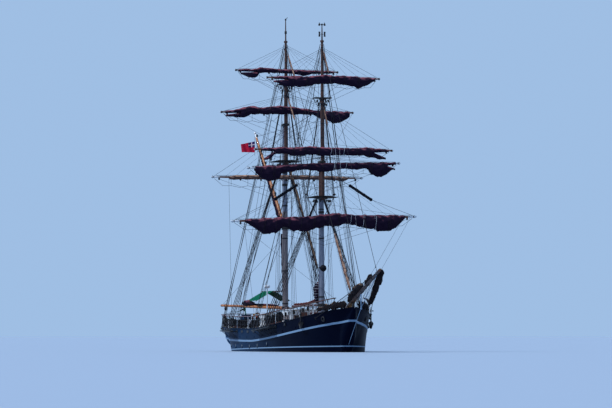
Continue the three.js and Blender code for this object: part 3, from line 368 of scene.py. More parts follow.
# Red-brown canvas of the trysail's foot and the fore boom's cover, its upward faces paler in patches as a
# painted highlight
RED_CANVAS = Finish(
    "red_brown_canvas", "tan_sail", "5E2E2B", "341A1E", Pattern.WEAVE, 60, 0.9, relief_mm=3,
    painted_highlight="8E5A50", specular=0.1
)
# Black rubberised canvas over what is stowed along the rails; there its black partly stands in for the shade
# behind the rails, as painted shade
TARPAULIN = Finish(
    "black_tarpaulin", "black_paint", "07080F", "10131F", Pattern.WEAVE, 50, 0.75, relief_mm=3, specular=0.1
)
# Olive-brown netting and canvas at the bow, its upward faces paler in patches as a painted highlight
BROWN_CANVAS = Finish(
    "brown_canvas_painted_highlight", "tan_sail", "221C1D", "0D0B12", Pattern.WEAVE, 45, 0.9, relief_mm=5,
    painted_highlight="7E6A5B", specular=0.05
)
# White braided lashings, greyed by the weather
BRAID = Finish(
    "white_braid", "tarred_rope", "B9BEC8", "7C8290", Pattern.LAY, 20, 0.85, relief_mm=1.5, specular=0.2
)
# Tinted glass of skylights, ports and lamps
DARK_GLASS = Finish("dark_glass", "black_paint", "10151C", "161E28", Pattern.PAINT, 300, 0.25, relief_mm=0.05)


@dataclass(frozen=True)
class HullEnamel:
    """Gloss enamel on steel plate: navy topsides over antifouling, with the plates' welds just showing; the
    topsides lighten aft as a painted reflection of the sky.
    """

    name: str = "navy_hull_enamel"
    slot: str = "hull_paint"
    topsides: str = "03081A"
    # The lighter teal-blue that the topsides take aft: a painted reflection of the sky
    painted_reflection: str = "072F52"
    bottom: str = "0B0A10"
    specular: float = 0.012
    # Stations where the painted reflection begins and where it is strongest
    painted_reflection_span: tuple[float, float] = (7.0, -13.0)
    plate_long: float = 2.4
    plate_high: float = 0.9

    def material(self) -> bpy.types.Material:
        """The material, its colours split at the waterline by height, the topsides lighter aft as a painted
        reflection.

        Returns:
            The material.
        """
        material = bpy.data.materials.new(self.name)
        material.use_nodes = True
        tree = material.node_tree
        tree.nodes.clear()
        place = add_node(tree, "TexCoord").outputs["Object"]
        axes = add_node(tree, "SeparateXYZ", None, {0: place})
        weather = add_node(tree, "TexNoise", None, {"Vector": place, "Scale": 0.35, "Detail": 8.0})
        streaked = add_node(tree, "Mapping", None, {0: place, 3: (3.0, 3.0, 0.25)})
        streaks = add_node(
            tree, "TexNoise", None, {"Vector": streaked.outputs[0], "Scale": 1.0, "Detail": 5.0}
        )
        wear_and_sheen = add_node(
            tree, "Math", {"operation": "MULTIPLY"}, {0: weather.outputs["Fac"], 1: streaks.outputs["Fac"]}
        )
        # The painted reflection grows towards the stern, varied by the noise
        aft = add_node(
            tree, "MapRange", None,
            {"Value": axes.outputs[0], "From Min": self.painted_reflection_span[0], "From Max": self.painted_reflection_span[1], "To Max": 1.5},
        )
        painted_reflection_raw = add_node(
            tree, "Math", {"operation": "MULTIPLY_ADD"},
            {0: wear_and_sheen.outputs[0], 1: aft.outputs[0], 2: aft.outputs[0]}
        )
        painted_reflection = add_node(
            tree, "Math", {"operation": "MULTIPLY", "use_clamp": True}, {0: painted_reflection_raw.outputs[0], 1: 0.55}
        )
        paint = add_node(
            tree, "Mix", {"data_type": "RGBA"},
            {"Factor": painted_reflection.outputs[0], 6: linear(self.topsides), 7: linear(self.painted_reflection)}
        )
        below = add_node(tree, "Math", {"operation": "LESS_THAN"}, {0: axes.outputs[2], 1: 0.02})
        split = add_node(
            tree, "Mix", {"data_type": "RGBA"},
            {"Factor": below.outputs[0], 6: paint.outputs[2], 7: linear(self.bottom)},
        )
        flat = add_node(tree, "CombineXYZ", None, {0: axes.outputs[0], 1: axes.outputs[2]})
        plates = add_node(
            tree, "TexBrick", None,
            {
                "Vector": flat.outputs[0], "Scale": 1.0, "Brick Width": self.plate_long,
                "Row Height": self.plate_high, "Mortar Size": 0.006, "Mortar Smooth": 1.0
            }
        )
        bump = add_node(
            tree, "Bump", {"invert": True},
            {"Height": plates.outputs["Fac"], "Distance": 0.004, "Strength": 0.6}
        )
        gloss = add_node(tree, "MapRange", None, {"Value": wear_and_sheen.outputs[0], "To Min": 0.35, "To Max": 0.5})
        shader = add_node(
            tree, "BsdfPrincipled", None,
            {"Base Color": split.outputs[2], "Roughness": gloss.outputs[0], "Normal": bump.outputs[0],
             "Specular IOR Level": self.specular},
        )
        add_node(tree, "OutputMaterial", None, {"Surface": shader.outputs[0]})
        return material


# Forms


def circle(count: int) -> list[tuple[float, float]]:
    """Evenly spaced points of a circle whose radius is one."""
    return [(math.cos(2 * math.pi * k / count), math.sin(2 * math.pi * k / count)) for k in range(count)]


@dataclass
class Form:
    """Points, faces and coordinates gathered for one mesh; its places along a surface are in metres."""

    points: list[Vector] = field(default_factory=list)
    faces: list[tuple[int, ...]] = field(default_factory=list)
    uvs: list[tuple[tuple[float, float], ...]] = field(default_factory=list)
    marks: list[int] = field(default_factory=list)

    def face(self, indices: Sequence[int], places: Sequence[tuple[float, float]], mark: int) -> None:
        """Adds one face.

        Args:
            indices: its points.
            places: their coordinates along the surface.
            mark: the finish's number.
        """
        self.faces.append(tuple(indices))
        self.uvs.append(tuple(places))
        self.marks.append(mark)

    def rings(
        self, rings: Sequence[Sequence[Vector]], closed: bool = True, caps: bool = True,
        mark: int | Callable[[int], int] = 0,
    ) -> None:
        """Adds a skin over rings of equally many points.

        Args:
            rings: the rings, in order.
            closed: whether each ring joins up.
            caps: whether the first and last rings are filled.
            mark: the finish's number, or a function that gives it for a place in the ring.
        """
        start, count = len(self.points), len(rings[0])
        lengths, along = [0.0], 0.0
        for before, after in zip(rings, rings[1:]):
            along += sum((b - a).length for a, b in zip(before, after)) / count
            lengths.append(along)
        around = [0.0]
        widest = max(rings, key=lambda ring: sum((ring[i] - ring[i - 1]).length for i in range(count)))
        for i in range(count):
            around.append(around[-1] + (widest[(i + 1) % count] - widest[i]).length)
        for ring in rings:
            self.points.extend(ring)
        spans = count if closed else count - 1
        for r in range(len(rings) - 1):
            for i in range(spans):
                a, b = start + r * count + i, start + r * count + (i + 1) % count
                places = ((around[i], lengths[r]), (around[i + 1], lengths[r]),
                          (around[i + 1], lengths[r + 1]), (around[i], lengths[r + 1]))
                self.face((a, b, b + count, a + count), places, mark(i) if callable(mark) else mark)
        if caps:
            number = mark if isinstance(mark, int) else mark(0)
            for first, turned in ((start, True), (start + (len(rings) - 1) * count, False)):
                indices = [first + i for i in range(count)]
                indices = indices[::-1] if turned else indices
                self.face(indices, [(self.points[i].y, self.points[i].z) for i in indices], number)

    def tube(
        self, path: Sequence[Place], radii: float | Sequence[float], sides: int = 6, mark: int = 0,
        flat: float = 1.0, caps: bool = True,
    ) -> None:
        """Adds a tube along a path.

        Args:
            path: its middle line.
            radii: one radius, or one for each point.
            sides: how many sides it has.
            mark: the finish's number.
            flat: its height as a share of its width.
            caps: whether its ends are filled.
        """
        path = [Vector(place) for place in path]
        wide = [radii] * len(path) if isinstance(radii, (int, float)) else list(radii)
        rings, side = [], None
        for i, at in enumerate(path):
            along = (path[min(i + 1, len(path) - 1)] - path[max(i - 1, 0)]).normalized()
            if side is None:
                level = Y_AXIS if abs(along.z) > 0.9 else Z_AXIS
                side = along.cross(level).normalized()
            side = (side - along * side.dot(along)).normalized()
            up = side.cross(along)
            rings.append([at + side * (wide[i] * c) + up * (wide[i] * flat * s) for c, s in circle(sides)])
        self.rings(rings, caps=caps, mark=mark)

    def line(
        self, start: Place, end: Place, radius: float, mark: int = 0, sides: int = 4, sag: float = 0.0
    ) -> None:
        """Adds a straight rope, or one that sags by a share of its span.

        Args:
            start: one end.
            end: the other end.
            radius: its radius.
            mark: the finish's number.
            sides: how many sides it has.
            sag: its sag as a share of its span.
        """
        start, end = Vector(start), Vector(end)
        if sag <= 0:
            self.tube([start, end], radius, sides, mark)
            return
        span = (end - start).length
        steps = [i / 8 for i in range(9)]
        self.tube(
            [start.lerp(end, t) - Vector((0, 0, 4 * sag * span * t * (1 - t))) for t in steps], radius,
            sides, mark
        )

    def block(
        self, middle: Place, size: Place, mark: int = 0, bevel: float = 0.0, turn: Matrix | None = None
    ) -> None:
        """Adds a box with its upright edges bevelled.

        Args:
            middle: its middle.
            size: its length, width and height.
            mark: the finish's number.
            bevel: the bevel's width.
            turn: a turn about its middle.
        """
        x, y, z = Vector(size) / 2
        b = min(bevel, x * 0.9, y * 0.9)
        outline = [
            (x - b, -y), (x, -y + b), (x, y - b), (x - b, y), (-x + b, y), (-x, y - b), (-x, -y + b),
            (-x + b, -y)
        ]
        if b <= 0:
            outline = [(x, -y), (x, y), (-x, y), (-x, -y)]
        rings = []
        for height, inset in ((-z, 0.0), (z - b, 0.0), (z, b)) if b > 0 else ((-z, 0.0), (z, 0.0)):
            ring = [
                Vector((px * (1 - inset / max(x, 1e-6)), py * (1 - inset / max(y, 1e-6)), height))
                for px, py in outline
            ]
            rings.append([Vector(middle) + (turn @ p if turn else p) for p in ring])
        self.rings(rings, mark=mark)

    def turned(
        self, at: Place, profile: Sequence[tuple[float, float]], sides: int = 16, mark: int = 0,
        axis: Vector = Z_AXIS,
    ) -> None:
        """Adds a turned form of radii and heights about an axis through a point.

        Args:
            at: the point.
            profile: the radii and heights.
            sides: how many sides it has.
            mark: the finish's number.
            axis: the direction of the heights.
        """
        at = Vector(at)
        turn = Z_AXIS.rotation_difference(axis.normalized()).to_matrix()
        rings = [[at + turn @ Vector((r * c, r * s, z)) for c, s in circle(sides)] for r, z in profile]
        self.rings(rings, mark=mark)

    def hoop(
        self, at: Place, radius: float, thick: float, axis: Vector, sides: int = 20, mark: int = 0,
        tall: float = 1.0
    ) -> None:
        """Adds a ring of round section.

        Args:
            at: its middle.
            radius: the ring's radius.
            thick: the section's radius.
            axis: the direction it faces.
            sides: how many sides it has.
            mark: the finish's number.
            tall: the section's height as a share of its width.
        """
        at = Vector(at)
        turn = Z_AXIS.rotation_difference(axis.normalized()).to_matrix()
        rings = []
        for k in range(sides + 1):
            angle = 2 * math.pi * k / sides
            out = Vector((math.cos(angle), math.sin(angle), 0))
            rings.append([
                at + turn @ (out * (radius + thick * c) + Vector((0, 0, tall * thick * s)))
                for c, s in circle(HOOP_SIDES)
            ])
        self.rings(rings, caps=False, mark=mark)

    def ball(self, at: Place, radius: float, mark: int = 0, sides: int = 16, squash: float = 1.0) -> None:
        """Adds a ball, or one flattened in height.

        Args:
            at: its middle.
            radius: its radius.
            mark: the finish's number.
            sides: how many sides it has.
            squash: its height as a share of its width.
        """
        profile = [
            (max(radius * math.sin(math.pi * t / 10), 1e-4), -radius * squash * math.cos(math.pi * t / 10))
            for t in range(11)
        ]
        self.turned(at, profile, sides, mark)

    def made(
        self, name: str, finishes: Sequence[Finish | HullEnamel], body: str, smooth_under: float = 40.0,
        ride: bool = True,
    ) -> bpy.types.Object:
        """The form as an object that rides on a body.

        Args:
            name: the piece's name.
            finishes: its finishes, in the order of the marks.
            body: the body that it rides on.
            smooth_under: edges that turn by less than this many degrees are smooth.
            ride: False to leave the piece on no body.

        Returns:
            The object.
        """
        mesh = bpy.data.meshes.new(name)
        mesh.from_pydata([tuple(p) for p in self.points], [], self.faces)
        places = mesh.uv_layers.new(name="surface")
        flat = [value for face in self.uvs for place in face for value in place]
        places.data.foreach_set("uv", flat)
        mesh.polygons.foreach_set("material_index", self.marks)
        mesh.polygons.foreach_set("use_smooth", [True] * len(self.faces))
        mesh.set_sharp_from_angle(angle=math.radians(smooth_under))
        for finish in finishes:
            known = bpy.data.materials.get(finish.name)
            mesh.materials.append(known or finish.material())
        thing = bpy.data.objects.new(name, mesh)
        bpy.context.scene.collection.objects.link(thing)
        if ride:
            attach(thing, body)
        LOG.info("%s: %d faces on %s", name, len(self.faces), body)
        return thing


def eased(rows: Sequence[Sequence[float]], at: float, column: int) -> float:
    """A smooth value between a table's rows, which never overshoots them.

    Args:
        rows: the table, its first column rising.
        at: where to read it.
        column: which column to read.

    Returns:
        The value.
    """
    if at <= rows[0][0]:
        return rows[0][column]
    if at >= rows[-1][0]:
        return rows[-1][column]
    i = next(k for k in range(1, len(rows)) if rows[k][0] >= at)

    def slope(k: int) -> float:
        """The table's slope at a row, flat where it turns.

        Args:
            k: the row.

        Returns:
            The slope.
        """
        if k <= 0 or k >= len(rows) - 1:
            j = min(max(k, 1), len(rows) - 1)
            return (rows[j][column] - rows[j - 1][column]) / (rows[j][0] - rows[j - 1][0])
        before = (rows[k][column] - rows[k - 1][column]) / (rows[k][0] - rows[k - 1][0])
        after = (rows[k + 1][column] - rows[k][column]) / (rows[k + 1][0] - rows[k][0])
        return 0.0 if before * after <= 0 else 2 * before * after / (before + after)

    width = rows[i][0] - rows[i - 1][0]
    t = (at - rows[i - 1][0]) / width
    a, b = rows[i - 1][column], rows[i][column]
    return (
        (2 * t**3 - 3 * t**2 + 1) * a + (t**3 - 2 * t**2 + t) * width * slope(i - 1)
        + (-2 * t**3 + 3 * t**2) * b + (t**3 - t**2) * width * slope(i)
    )


def steps(start: float, end: float, length: float) -> list[float]:
    """Even steps from start to end, each about as long as asked."""
    count = max(1, round(abs(end - start) / length))
    return [start + (end - start) * i / count for i in range(count + 1)]


# Studio


@dataclass
class Studio:
    """The camera at the photo's angle, the pale floor at the waterline and soft light."""

    off_bow: float = math.radians(13.6)
    distance: float = 300.0
    aim: tuple[float, float] = (
        6.67 - 1.127 * math.sin(math.radians(13.6)), -1.127 * math.cos(math.radians(13.6))
    )
    height: float = 1.15
    pitch: float = math.radians(1.768)
    focal_px: float = 4260.0
    photo_width: float = 612.0
    floor_size: float = 6000.0
    sky: float = 0.95

    def build(self) -> None:
        """Makes the camera, floor, world and lights."""
        ahead = Vector((math.cos(self.off_bow), -math.sin(self.off_bow), 0))
        data = bpy.data.cameras.new("camera")
        data.sensor_width = 36.0
        data.lens = self.focal_px / self.photo_width * data.sensor_width
        data.clip_start, data.clip_end = 1.0, 20000.0
        camera = bpy.data.objects.new("camera", data)
        camera.location = Vector((*self.aim, 0)) + ahead * self.distance + Vector((0, 0, self.height))
        look = -ahead * math.cos(self.pitch) + Vector((0, 0, math.sin(self.pitch)))
        camera.rotation_mode = "QUATERNION"
        camera.rotation_quaternion = look.to_track_quat("-Z", "Y")
        bpy.context.scene.collection.objects.link(camera)
        bpy.context.scene.camera = camera
        self.floor()
        self.lights()

    def floor(self) -> None:
        """A plain pale floor at the waterline."""
        half = self.floor_size / 2
        mesh = bpy.data.meshes.new("floor")
        mesh.from_pydata(
            [(-half, -half, 0), (half, -half, 0), (half, half, 0), (-half, half, 0)], [], [(0, 1, 2, 3)]
        )
        material = bpy.data.materials.new("pale_floor")
        material.use_nodes = True
        shader = material.node_tree.nodes["Principled BSDF"]
        shader.inputs["Base Color"].default_value = linear("8C9EB5")
        shader.inputs["Roughness"].default_value = 0.6
        mesh.materials.append(material)
        floor = bpy.data.objects.new("floor", mesh)
        bpy.context.scene.collection.objects.link(floor)

    def lights(self) -> None:
        """A pale sky and one broad, soft sun, high on the starboard quarter as in the photo."""
        world = bpy.data.worlds.new("sky")
        bpy.context.scene.world = world
        world.use_nodes = True
        back = world.node_tree.nodes["Background"]
        back.inputs["Color"].default_value = linear("A3C3E9")
        back.inputs["Strength"].default_value = self.sky
        bpy.context.scene.view_settings.view_transform = "Standard"
        for name, energy, angle, toward in (
            ("sun", 3.4, 4.0, Vector((-0.02, 0.62, -0.78))),
            ("fill", 0.25, 60.0, Vector((-0.8, -0.3, -0.35))),
        ):
            light = bpy.data.lights.new(name, "SUN")
            light.energy, light.angle = energy, math.radians(angle)
            lamp = bpy.data.objects.new(name, light)
            lamp.rotation_mode = "QUATERNION"
            lamp.rotation_quaternion = toward.to_track_quat("-Z", "Y")
            bpy.context.scene.collection.objects.link(lamp)


# The ship's lines, in metres, as in the solids

BULWARK = 0.35
BULWARK_THICK = 0.09
MAST_RAKE = math.radians(1)
MAST_ROOT = 1.5
DOUBLING = 0.44
BOW = 16.0
TAFFRAIL = -16.5
LOW_POINT = -1.0
SIDES = (("port", 1), ("starboard", -1))
CORNERS = ((0, 0), (1, 0), (1, 1), (0, 1))

# Columns: station, half-breadth at the sheer, half-breadth at the waterline, keel height, hollow
STATIONS = (
    (-16.5, 1.45, 1.3, 1.25, 0.8), (-16.1, 1.9, 1.7, 0.95, 0.8), (-15.0, 2.42, 2.15, 0.48, 0.9),
    (-14.0, 2.65, 2.25, 0.06, 1.0), (-13.0, 2.85, 1.55, -0.38, 1.0), (-12.3, 2.96, 2.05, -0.78, 1.1),
    (-12.24, 2.97, 2.07, -2.64, 3.4), (-10.0, 3.2, 2.8, -2.68, 2.4), (-7.0, 3.42, 3.2, -2.66, 1.7),
    (-3.0, 3.5, 3.35, -2.6, 1.25), (1.0, 3.48, 3.35, -2.52, 1.15), (5.0, 3.26, 3.12, -2.43, 1.25),
    (8.0, 2.92, 2.7, -2.33, 1.5), (10.0, 2.56, 2.25, -2.22, 1.7), (11.8, 2.16, 1.56, -1.95, 1.9),
    (13.0, 1.8, 0.86, -1.35, 1.8), (13.65, 1.57, 0.33, -0.56, 1.5), (14.15, 1.38, 0.56, 0.23, 1.2),
    (14.9, 0.96, 0.42, 1.35, 1.1), (15.55, 0.48, 0.23, 2.33, 1.0), (BOW, 0.12, 0.09, 2.96, 1.0),
)


def sheer(x: float) -> float:
    """Height of the bulwark's top at a station.

    Args:
        x: the station.

    Returns:
        The height.
    """
    if x > LOW_POINT:
        return 1.65 + 1.45 * ((min(x, BOW) - LOW_POINT) / (BOW - LOW_POINT)) ** 1.6
    return 1.65 + 0.25 * ((x - LOW_POINT) / (TAFFRAIL - LOW_POINT)) ** 2


def straight(rows: Sequence[Sequence[float]], at: float, column: int) -> float:
    """A value between a table's rows, straight from one to the next.

    Args:
        rows: the table, its first column rising.
        at: where to read it.
        column: which column to read.

    Returns:
        The value.
    """
    if at <= rows[0][0]:
        return rows[0][column]
    for before, after in zip(rows, rows[1:]):
        if at <= after[0]:
            share = (at - before[0]) / (after[0] - before[0])
            return before[column] + share * (after[column] - before[column])
    return rows[-1][column]


def beam(x: float) -> float:
    """Half-breadth at the bulwark's top, eased from station to station."""
    return eased(STATIONS, x, 1)


def side_line(x: float) -> float:
    """Half-breadth at the bulwark's top, straight from station to station."""
    return straight(STATIONS, x, 1)


def abreast(x: float, side: int, out: float, up: float) -> Vector:
    """A point beside the bulwark's top: out from the side's line and up from the sheer."""
    return Vector((x, side * (side_line(x) + out), sheer(x) + up))


def deck(x: float) -> float:
    """Height of the deck on the centreline."""
    return sheer(x) - BULWARK + 0.06


@dataclass(frozen=True)
class MastLine:
    """A mast's line and heights; the topmast stands ahead of the lower mast."""

    name: str
    x: float
    lower: float
    lower_head: float
    top: float
    cap: float
    topmast: float
    crosstrees: float
    head: float
    pole: float

    def at(self, forward: float, across: float, height: float) -> Vector:
        """A point in the ship from one in the mast's own raking frame.

        Args:
            forward: how far ahead of the mast's line.
            across: how far to port.
            height: how high above the waterline.

        Returns:
            The point.
        """
        up = height - MAST_ROOT
        return Vector((
            self.x + forward * math.cos(MAST_RAKE) - up * math.sin(MAST_RAKE), across,
            MAST_ROOT + forward * math.sin(MAST_RAKE) + up * math.cos(MAST_RAKE),
        ))

    @property
    def axis(self) -> Vector:
        """The direction in which the mast rises."""
        return Vector((-math.sin(MAST_RAKE), 0, math.cos(MAST_RAKE)))

    @property
    def edge(self) -> Vector:
        """The fore edge of the top, just under it."""
        return self.at(DOUBLING + 0.48, 0, self.top - 0.04)

    def before(self, height: float) -> Vector:
        """A place on the fore side of the topmast."""
        return self.at(DOUBLING + self.topmast * 0.5, 0, height)

    def behind(self, height: float) -> Vector:
        """A place on the aft side of the lower mast."""
        return self.at(-self.lower_head * 0.8, 0, height)

    def lower_radius(self, height: float) -> float:
        """Radius of the lower mast at a height."""
        return straight(((5.0, self.lower), (self.cap, self.lower_head)), height, 1)

    def upper_radius(self, height: float) -> float:
        """Radius of the topmast at a height.

        Args:
            height: the height.

        Returns:
            The radius.
        """
        rows = ((self.crosstrees - 0.3, self.topmast), (self.crosstrees, self.topmast * 0.86),
                (self.head - 0.15, self.topmast * 0.6))
        return straight(rows, height, 1)


FORE = MastLine("fore", 6.6, 0.205, 0.17, 10.94, 13.45, 0.14, 17.88, 21.95, 23.15)
MAIN = MastLine("main", -4.5, 0.215, 0.175, 13.9, 16.6, 0.14, 19.45, 22.65, 24.3)
MASTS = (FORE, MAIN)


# Hull


@dataclass
class Hull:
    """The plated hull: its shell, painted lines, bulwarks and deck, and what pierces them."""

    strake_wide: float = 0.135
    strake_proud: float = 0.025
    boot_wide: float = 0.075
    boot_proud: float = 0.012
    step: float = 0.35
    bilge_points: int = 12
    side_points: int = 8
    camber: float = 0.06
    port_size: tuple[float, float] = (0.62, 0.17)
    port_gap: float = 1.85
    tables: list[list[tuple[float, ...]]] = field(default_factory=list)
    sections: dict[float, list[tuple[float, float]]] = field(default_factory=dict)

    def station(self, row: Sequence[float]) -> list[tuple[float, float]]:
        """Half of one station's section, from the keel up over the bulwark to the deck's middle.

        Args:
            row: the station's row of the table.

        Returns:
            Half-breadths and heights.
        """
        x, top_half, water_half, keel, hollow = row
        top = sheer(x)
        turn = 0.0 if keel < -0.1 else keel + 0.5 * (top - keel)
        keel_half = min(0.11, water_half * 0.5)
        side = []
        for k in range(self.bilge_points + 1):
            angle = k / self.bilge_points * math.pi / 2
            y = keel_half + (water_half - keel_half) * math.sin(angle) ** hollow
            side.append((y, keel + (turn - keel) * (1 - math.cos(angle) ** 0.8)))
        for k in range(1, self.side_points + 1):
            share = k / self.side_points
            side.append((water_half + (top_half - water_half) * share ** 1.25, turn + (top - turn) * share))
        level = max(top - BULWARK, keel + 0.55 * (top - keel))
        outer = straight([(z, y) for y, z in side], level, 1)
        camber = self.camber * min(1.0, top_half / 2)
        inner = max(outer - BULWARK_THICK, outer * 0.4) - 0.01
        side += [(max(top_half - BULWARK_THICK, top_half * 0.4), top), (inner, level)]
        side += [(inner * (1 - k / 6), level + camber * (1 - (1 - k / 6) ** 2)) for k in range(1, 7)]
        return side

    def section(self, x: float) -> list[tuple[float, float]]:
        """Half of the section at any place, smooth from station to station.

        Args:
            x: the place along the ship.

        Returns:
            Half-breadths and heights.
        """
        if not self.tables:
            made = [(row[0], self.station(row)) for row in STATIONS]
            self.tables = [[(at, *side[i]) for at, side in made] for i in range(len(made[0][1]))]
        if x not in self.sections:
            self.sections[x] = [(eased(rows, x, 1), eased(rows, x, 2)) for rows in self.tables]
        return self.sections[x]

    def outer(self, x: float) -> list[tuple[float, float]]:
        """The outer side of the section, below the rim of the bulwark."""
        return self.section(x)[:self.bilge_points + self.side_points + 1]

    def side_at(self, x: float, z: float) -> float:
        """Half-breadth of the outer side at a height."""
        return straight([(height, y) for y, height in self.outer(x)], z, 1)

    def on_side(self, x: float, side: int, down: float, out: float = 0.0) -> Vector:
        """A point on the plating, that far below the sheer and out from the side."""
        z = sheer(x) - down
        return Vector((x, side * (self.side_at(x, z) + out), z))

    def shell_at(self, x: float, z: float) -> float:
        """Half-breadth of the shell's own facets.

        Args:
            x: the place along the ship.
            z: the height.

        Returns:
            The half-breadth.
        """
        places = self.places()
        after = next((i for i, place in enumerate(places) if place >= x and i), len(places) - 1)
        a, b = places[after - 1], places[after]
        t = (x - a) / (b - a)
        pairs = zip(self.outer(a), self.outer(b))
        rows = [(p[1] + (q[1] - p[1]) * t, p[0] + (q[0] - p[0]) * t) for p, q in pairs]
        return straight(rows, z, 1)

    def places(self) -> list[float]:
        """The stations of the shell's own rings, so that what lies on it can follow it."""
        return sorted({*steps(TAFFRAIL, -12.3, self.step), *steps(-12.24, BOW, self.step)})

    def build(self) -> None:
        """Makes the hull's pieces."""
        self.shell()
        self.painted_lines()
        self.ports()
        self.stern()

    def shell(self) -> None:
        """The shell, the bulwark's rim and inside, and the planked deck."""
        form = Form()
        rings = []
        for x in self.places():
            half = self.section(x)
            right = [Vector((x, -y, z)) for y, z in half[:-1]]
            left = [Vector((x, y, z)) for y, z in half[:-1]]
            rings.append([*left, Vector((x, 0, half[-1][1])), *reversed(right)])
        outer = self.bilge_points + self.side_points
        rim = outer + 1
        count = len(rings[0])

        def mark(i: int) -> int:
            """The finish of the strip after a point of the ring.

            Args:
                i: the point's number.

            Returns:
                The finish's number.
            """
            j = min(i, count - 2 - i)
            if j < outer or i == count - 1:
                return 0
            return {outer: 3, rim: 1}.get(j, 2)

        form.rings(rings, mark=mark)
        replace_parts(form.made("hull_shell", [HULL, BUFF, DECK, MAHOGANY], "hull", 32), "hull")

    @staticmethod
    def strip_section(z: float, wide: float, proud: float) -> tuple[tuple[float, float], ...]:
        """The heights and reaches of a strip's section."""
        return (z, -0.01), (z, proud), (z + wide * 0.5, proud), (z + wide, proud), (z + wide, -0.01)

    def strip(
        self, form: Form, side: int, low: Callable[[float], float], wide: float, start: float, end: float,
        proud: float, mark: int = 0, stem: bool = False,
    ) -> None:
        """Adds a strip that lies on the hull's side.

        Args:
            form: where it goes.
            side: 1 for port and -1 for starboard.
            low: its lower edge at a station.
            wide: its width.
            start: its after end.
            end: its fore end.
            proud: how far it stands off the plating.
            mark: its finish.
            stem: whether it runs on round the stem.
        """
        rings = []
        stations = [p for p in self.places() if start <= p <= end]
        keel = [(self.section(x)[0][1], x) for x in self.places() if x > 13.5]
        if stem:
            stations += steps(stations[-1], straight(keel, low(end), 1) - 0.01, 0.04)[1:]
        for x in stations:
            section = self.strip_section(low(x), wide, proud)
            rings.append([Vector((x, side * (self.shell_at(x, z) + out), z)) for z, out in section])
        if stem:
            last = self.strip_section(low(end), wide, proud)
            rings.append([
                Vector((straight(keel, z, 1) + out * 0.5, side * (0.11 + out), z)) for z, out in last
            ])
            rings.append([Vector((straight(keel, z, 1) + out, 0, z)) for z, out in last])
        form.rings(rings, mark=mark)

    @staticmethod
    def strake(x: float) -> float:
        """Height of the rubbing strake's lower edge."""
        return 0.70 + (1.48 * ((x + 1) / 17) ** 1.6 if x > LOW_POINT else 0.23 * ((x + 1) / -15.5) ** 2)

    @staticmethod
    def boot_top(x: float) -> float:
        """Height of the boot-top line's lower edge."""
        return 0.05 + 0.33 * max(0.0, (x + 12) / 26)

    @staticmethod
    def moulding(x: float) -> float:
        """Height of the lower edge of the moulding under the rail."""
        return sheer(x) - 0.055

    def painted_lines(self) -> None:
        """The white rubbing strake, the boot-top line and the moulding, on both sides."""
        form = Form()
        for _, side in SIDES:
            self.strip(
                form, side, self.strake, self.strake_wide, TAFFRAIL, 15.38, self.strake_proud, stem=True
            )
            self.strip(form, side, self.boot_top, self.boot_wide, -13.3, 14.2, self.boot_proud, stem=True)
            self.strip(form, side, self.moulding, 0.05, TAFFRAIL, 15.9, 0.03, mark=1)
        # The white strake and boot-top take enamel darkened to blue-grey: painted shade
        form.made("painted_lines", [STRIPE_ENAMEL, HULL], "hull", 40)

    def ports(self) -> None:
        """Freeing ports with their frames, scuppers, hawse pipes and side lights."""
        form = Form()
        long, tall = self.port_size
        for _, side in SIDES:
            for x in steps(-14.6, 7.6, self.port_gap):
                y = self.side_at(x, sheer(x) - 0.21)
                form.block((x, side * (y + 0.002), sheer(x) - 0.21), (long, 0.03, tall), 0, 0.01)
                for down in (0.115, 0.305):
                    form.block((x, side * (y + 0.012), sheer(x) - down), (long + 0.06, 0.03, 0.025), 1)
            for x in steps(-13.6, 9.4, 2.3):
                form.hoop(self.on_side(x, side, 0.62, 0.004), 0.05, 0.016, Y_AXIS, 12, 1)
            for x in steps(-11.5, 3.5, 2.5):
                out = self.on_side(x, side, 1.28)
                form.hoop(out, 0.15, 0.02, Vector((0, 1, 0.12 * side)), 20, 1)
                glass = ((0.15, 0), (0.15, 0.03), (0.001, 0.035))
                form.turned(out - Vector((0, 0.02 * side, 0)), glass, 20, 2, Vector((0, side, 0)))
            x, z = 13.2, 2.28
            hawse = Vector((x, side * (self.side_at(x, z) + 0.02), z))
            out = Vector((0.45, side, -0.25))
            form.hoop(hawse, 0.15, 0.045, out, 24, 0)
            form.turned(hawse - out * 0.06, ((0.15, 0), (0.13, 0.04), (0.001, 0.05)), 20, 0, out)
        form.made("freeing_ports", [BLACK_IRON, HULL, DARK_GLASS], "hull", 35)

    def stern(self) -> None:
        """The board across the stern, between two mouldings."""
        form = Form()
        ring = [Vector((-16.52, y, z)) for y, z in ((-1.3, 1.36), (1.3, 1.36), (1.38, 1.8), (-1.38, 1.8))]
        form.rings([ring, [p + Vector((-0.03, 0, 0)) for p in ring]])
        for z in (1.36, 1.8):
            form.tube([(-16.55, -1.34, z), (-16.55, 1.34, z)], 0.03, 8, 1)
        form.made("stern_board", [HULL, MAHOGANY], "hull")


# Rails


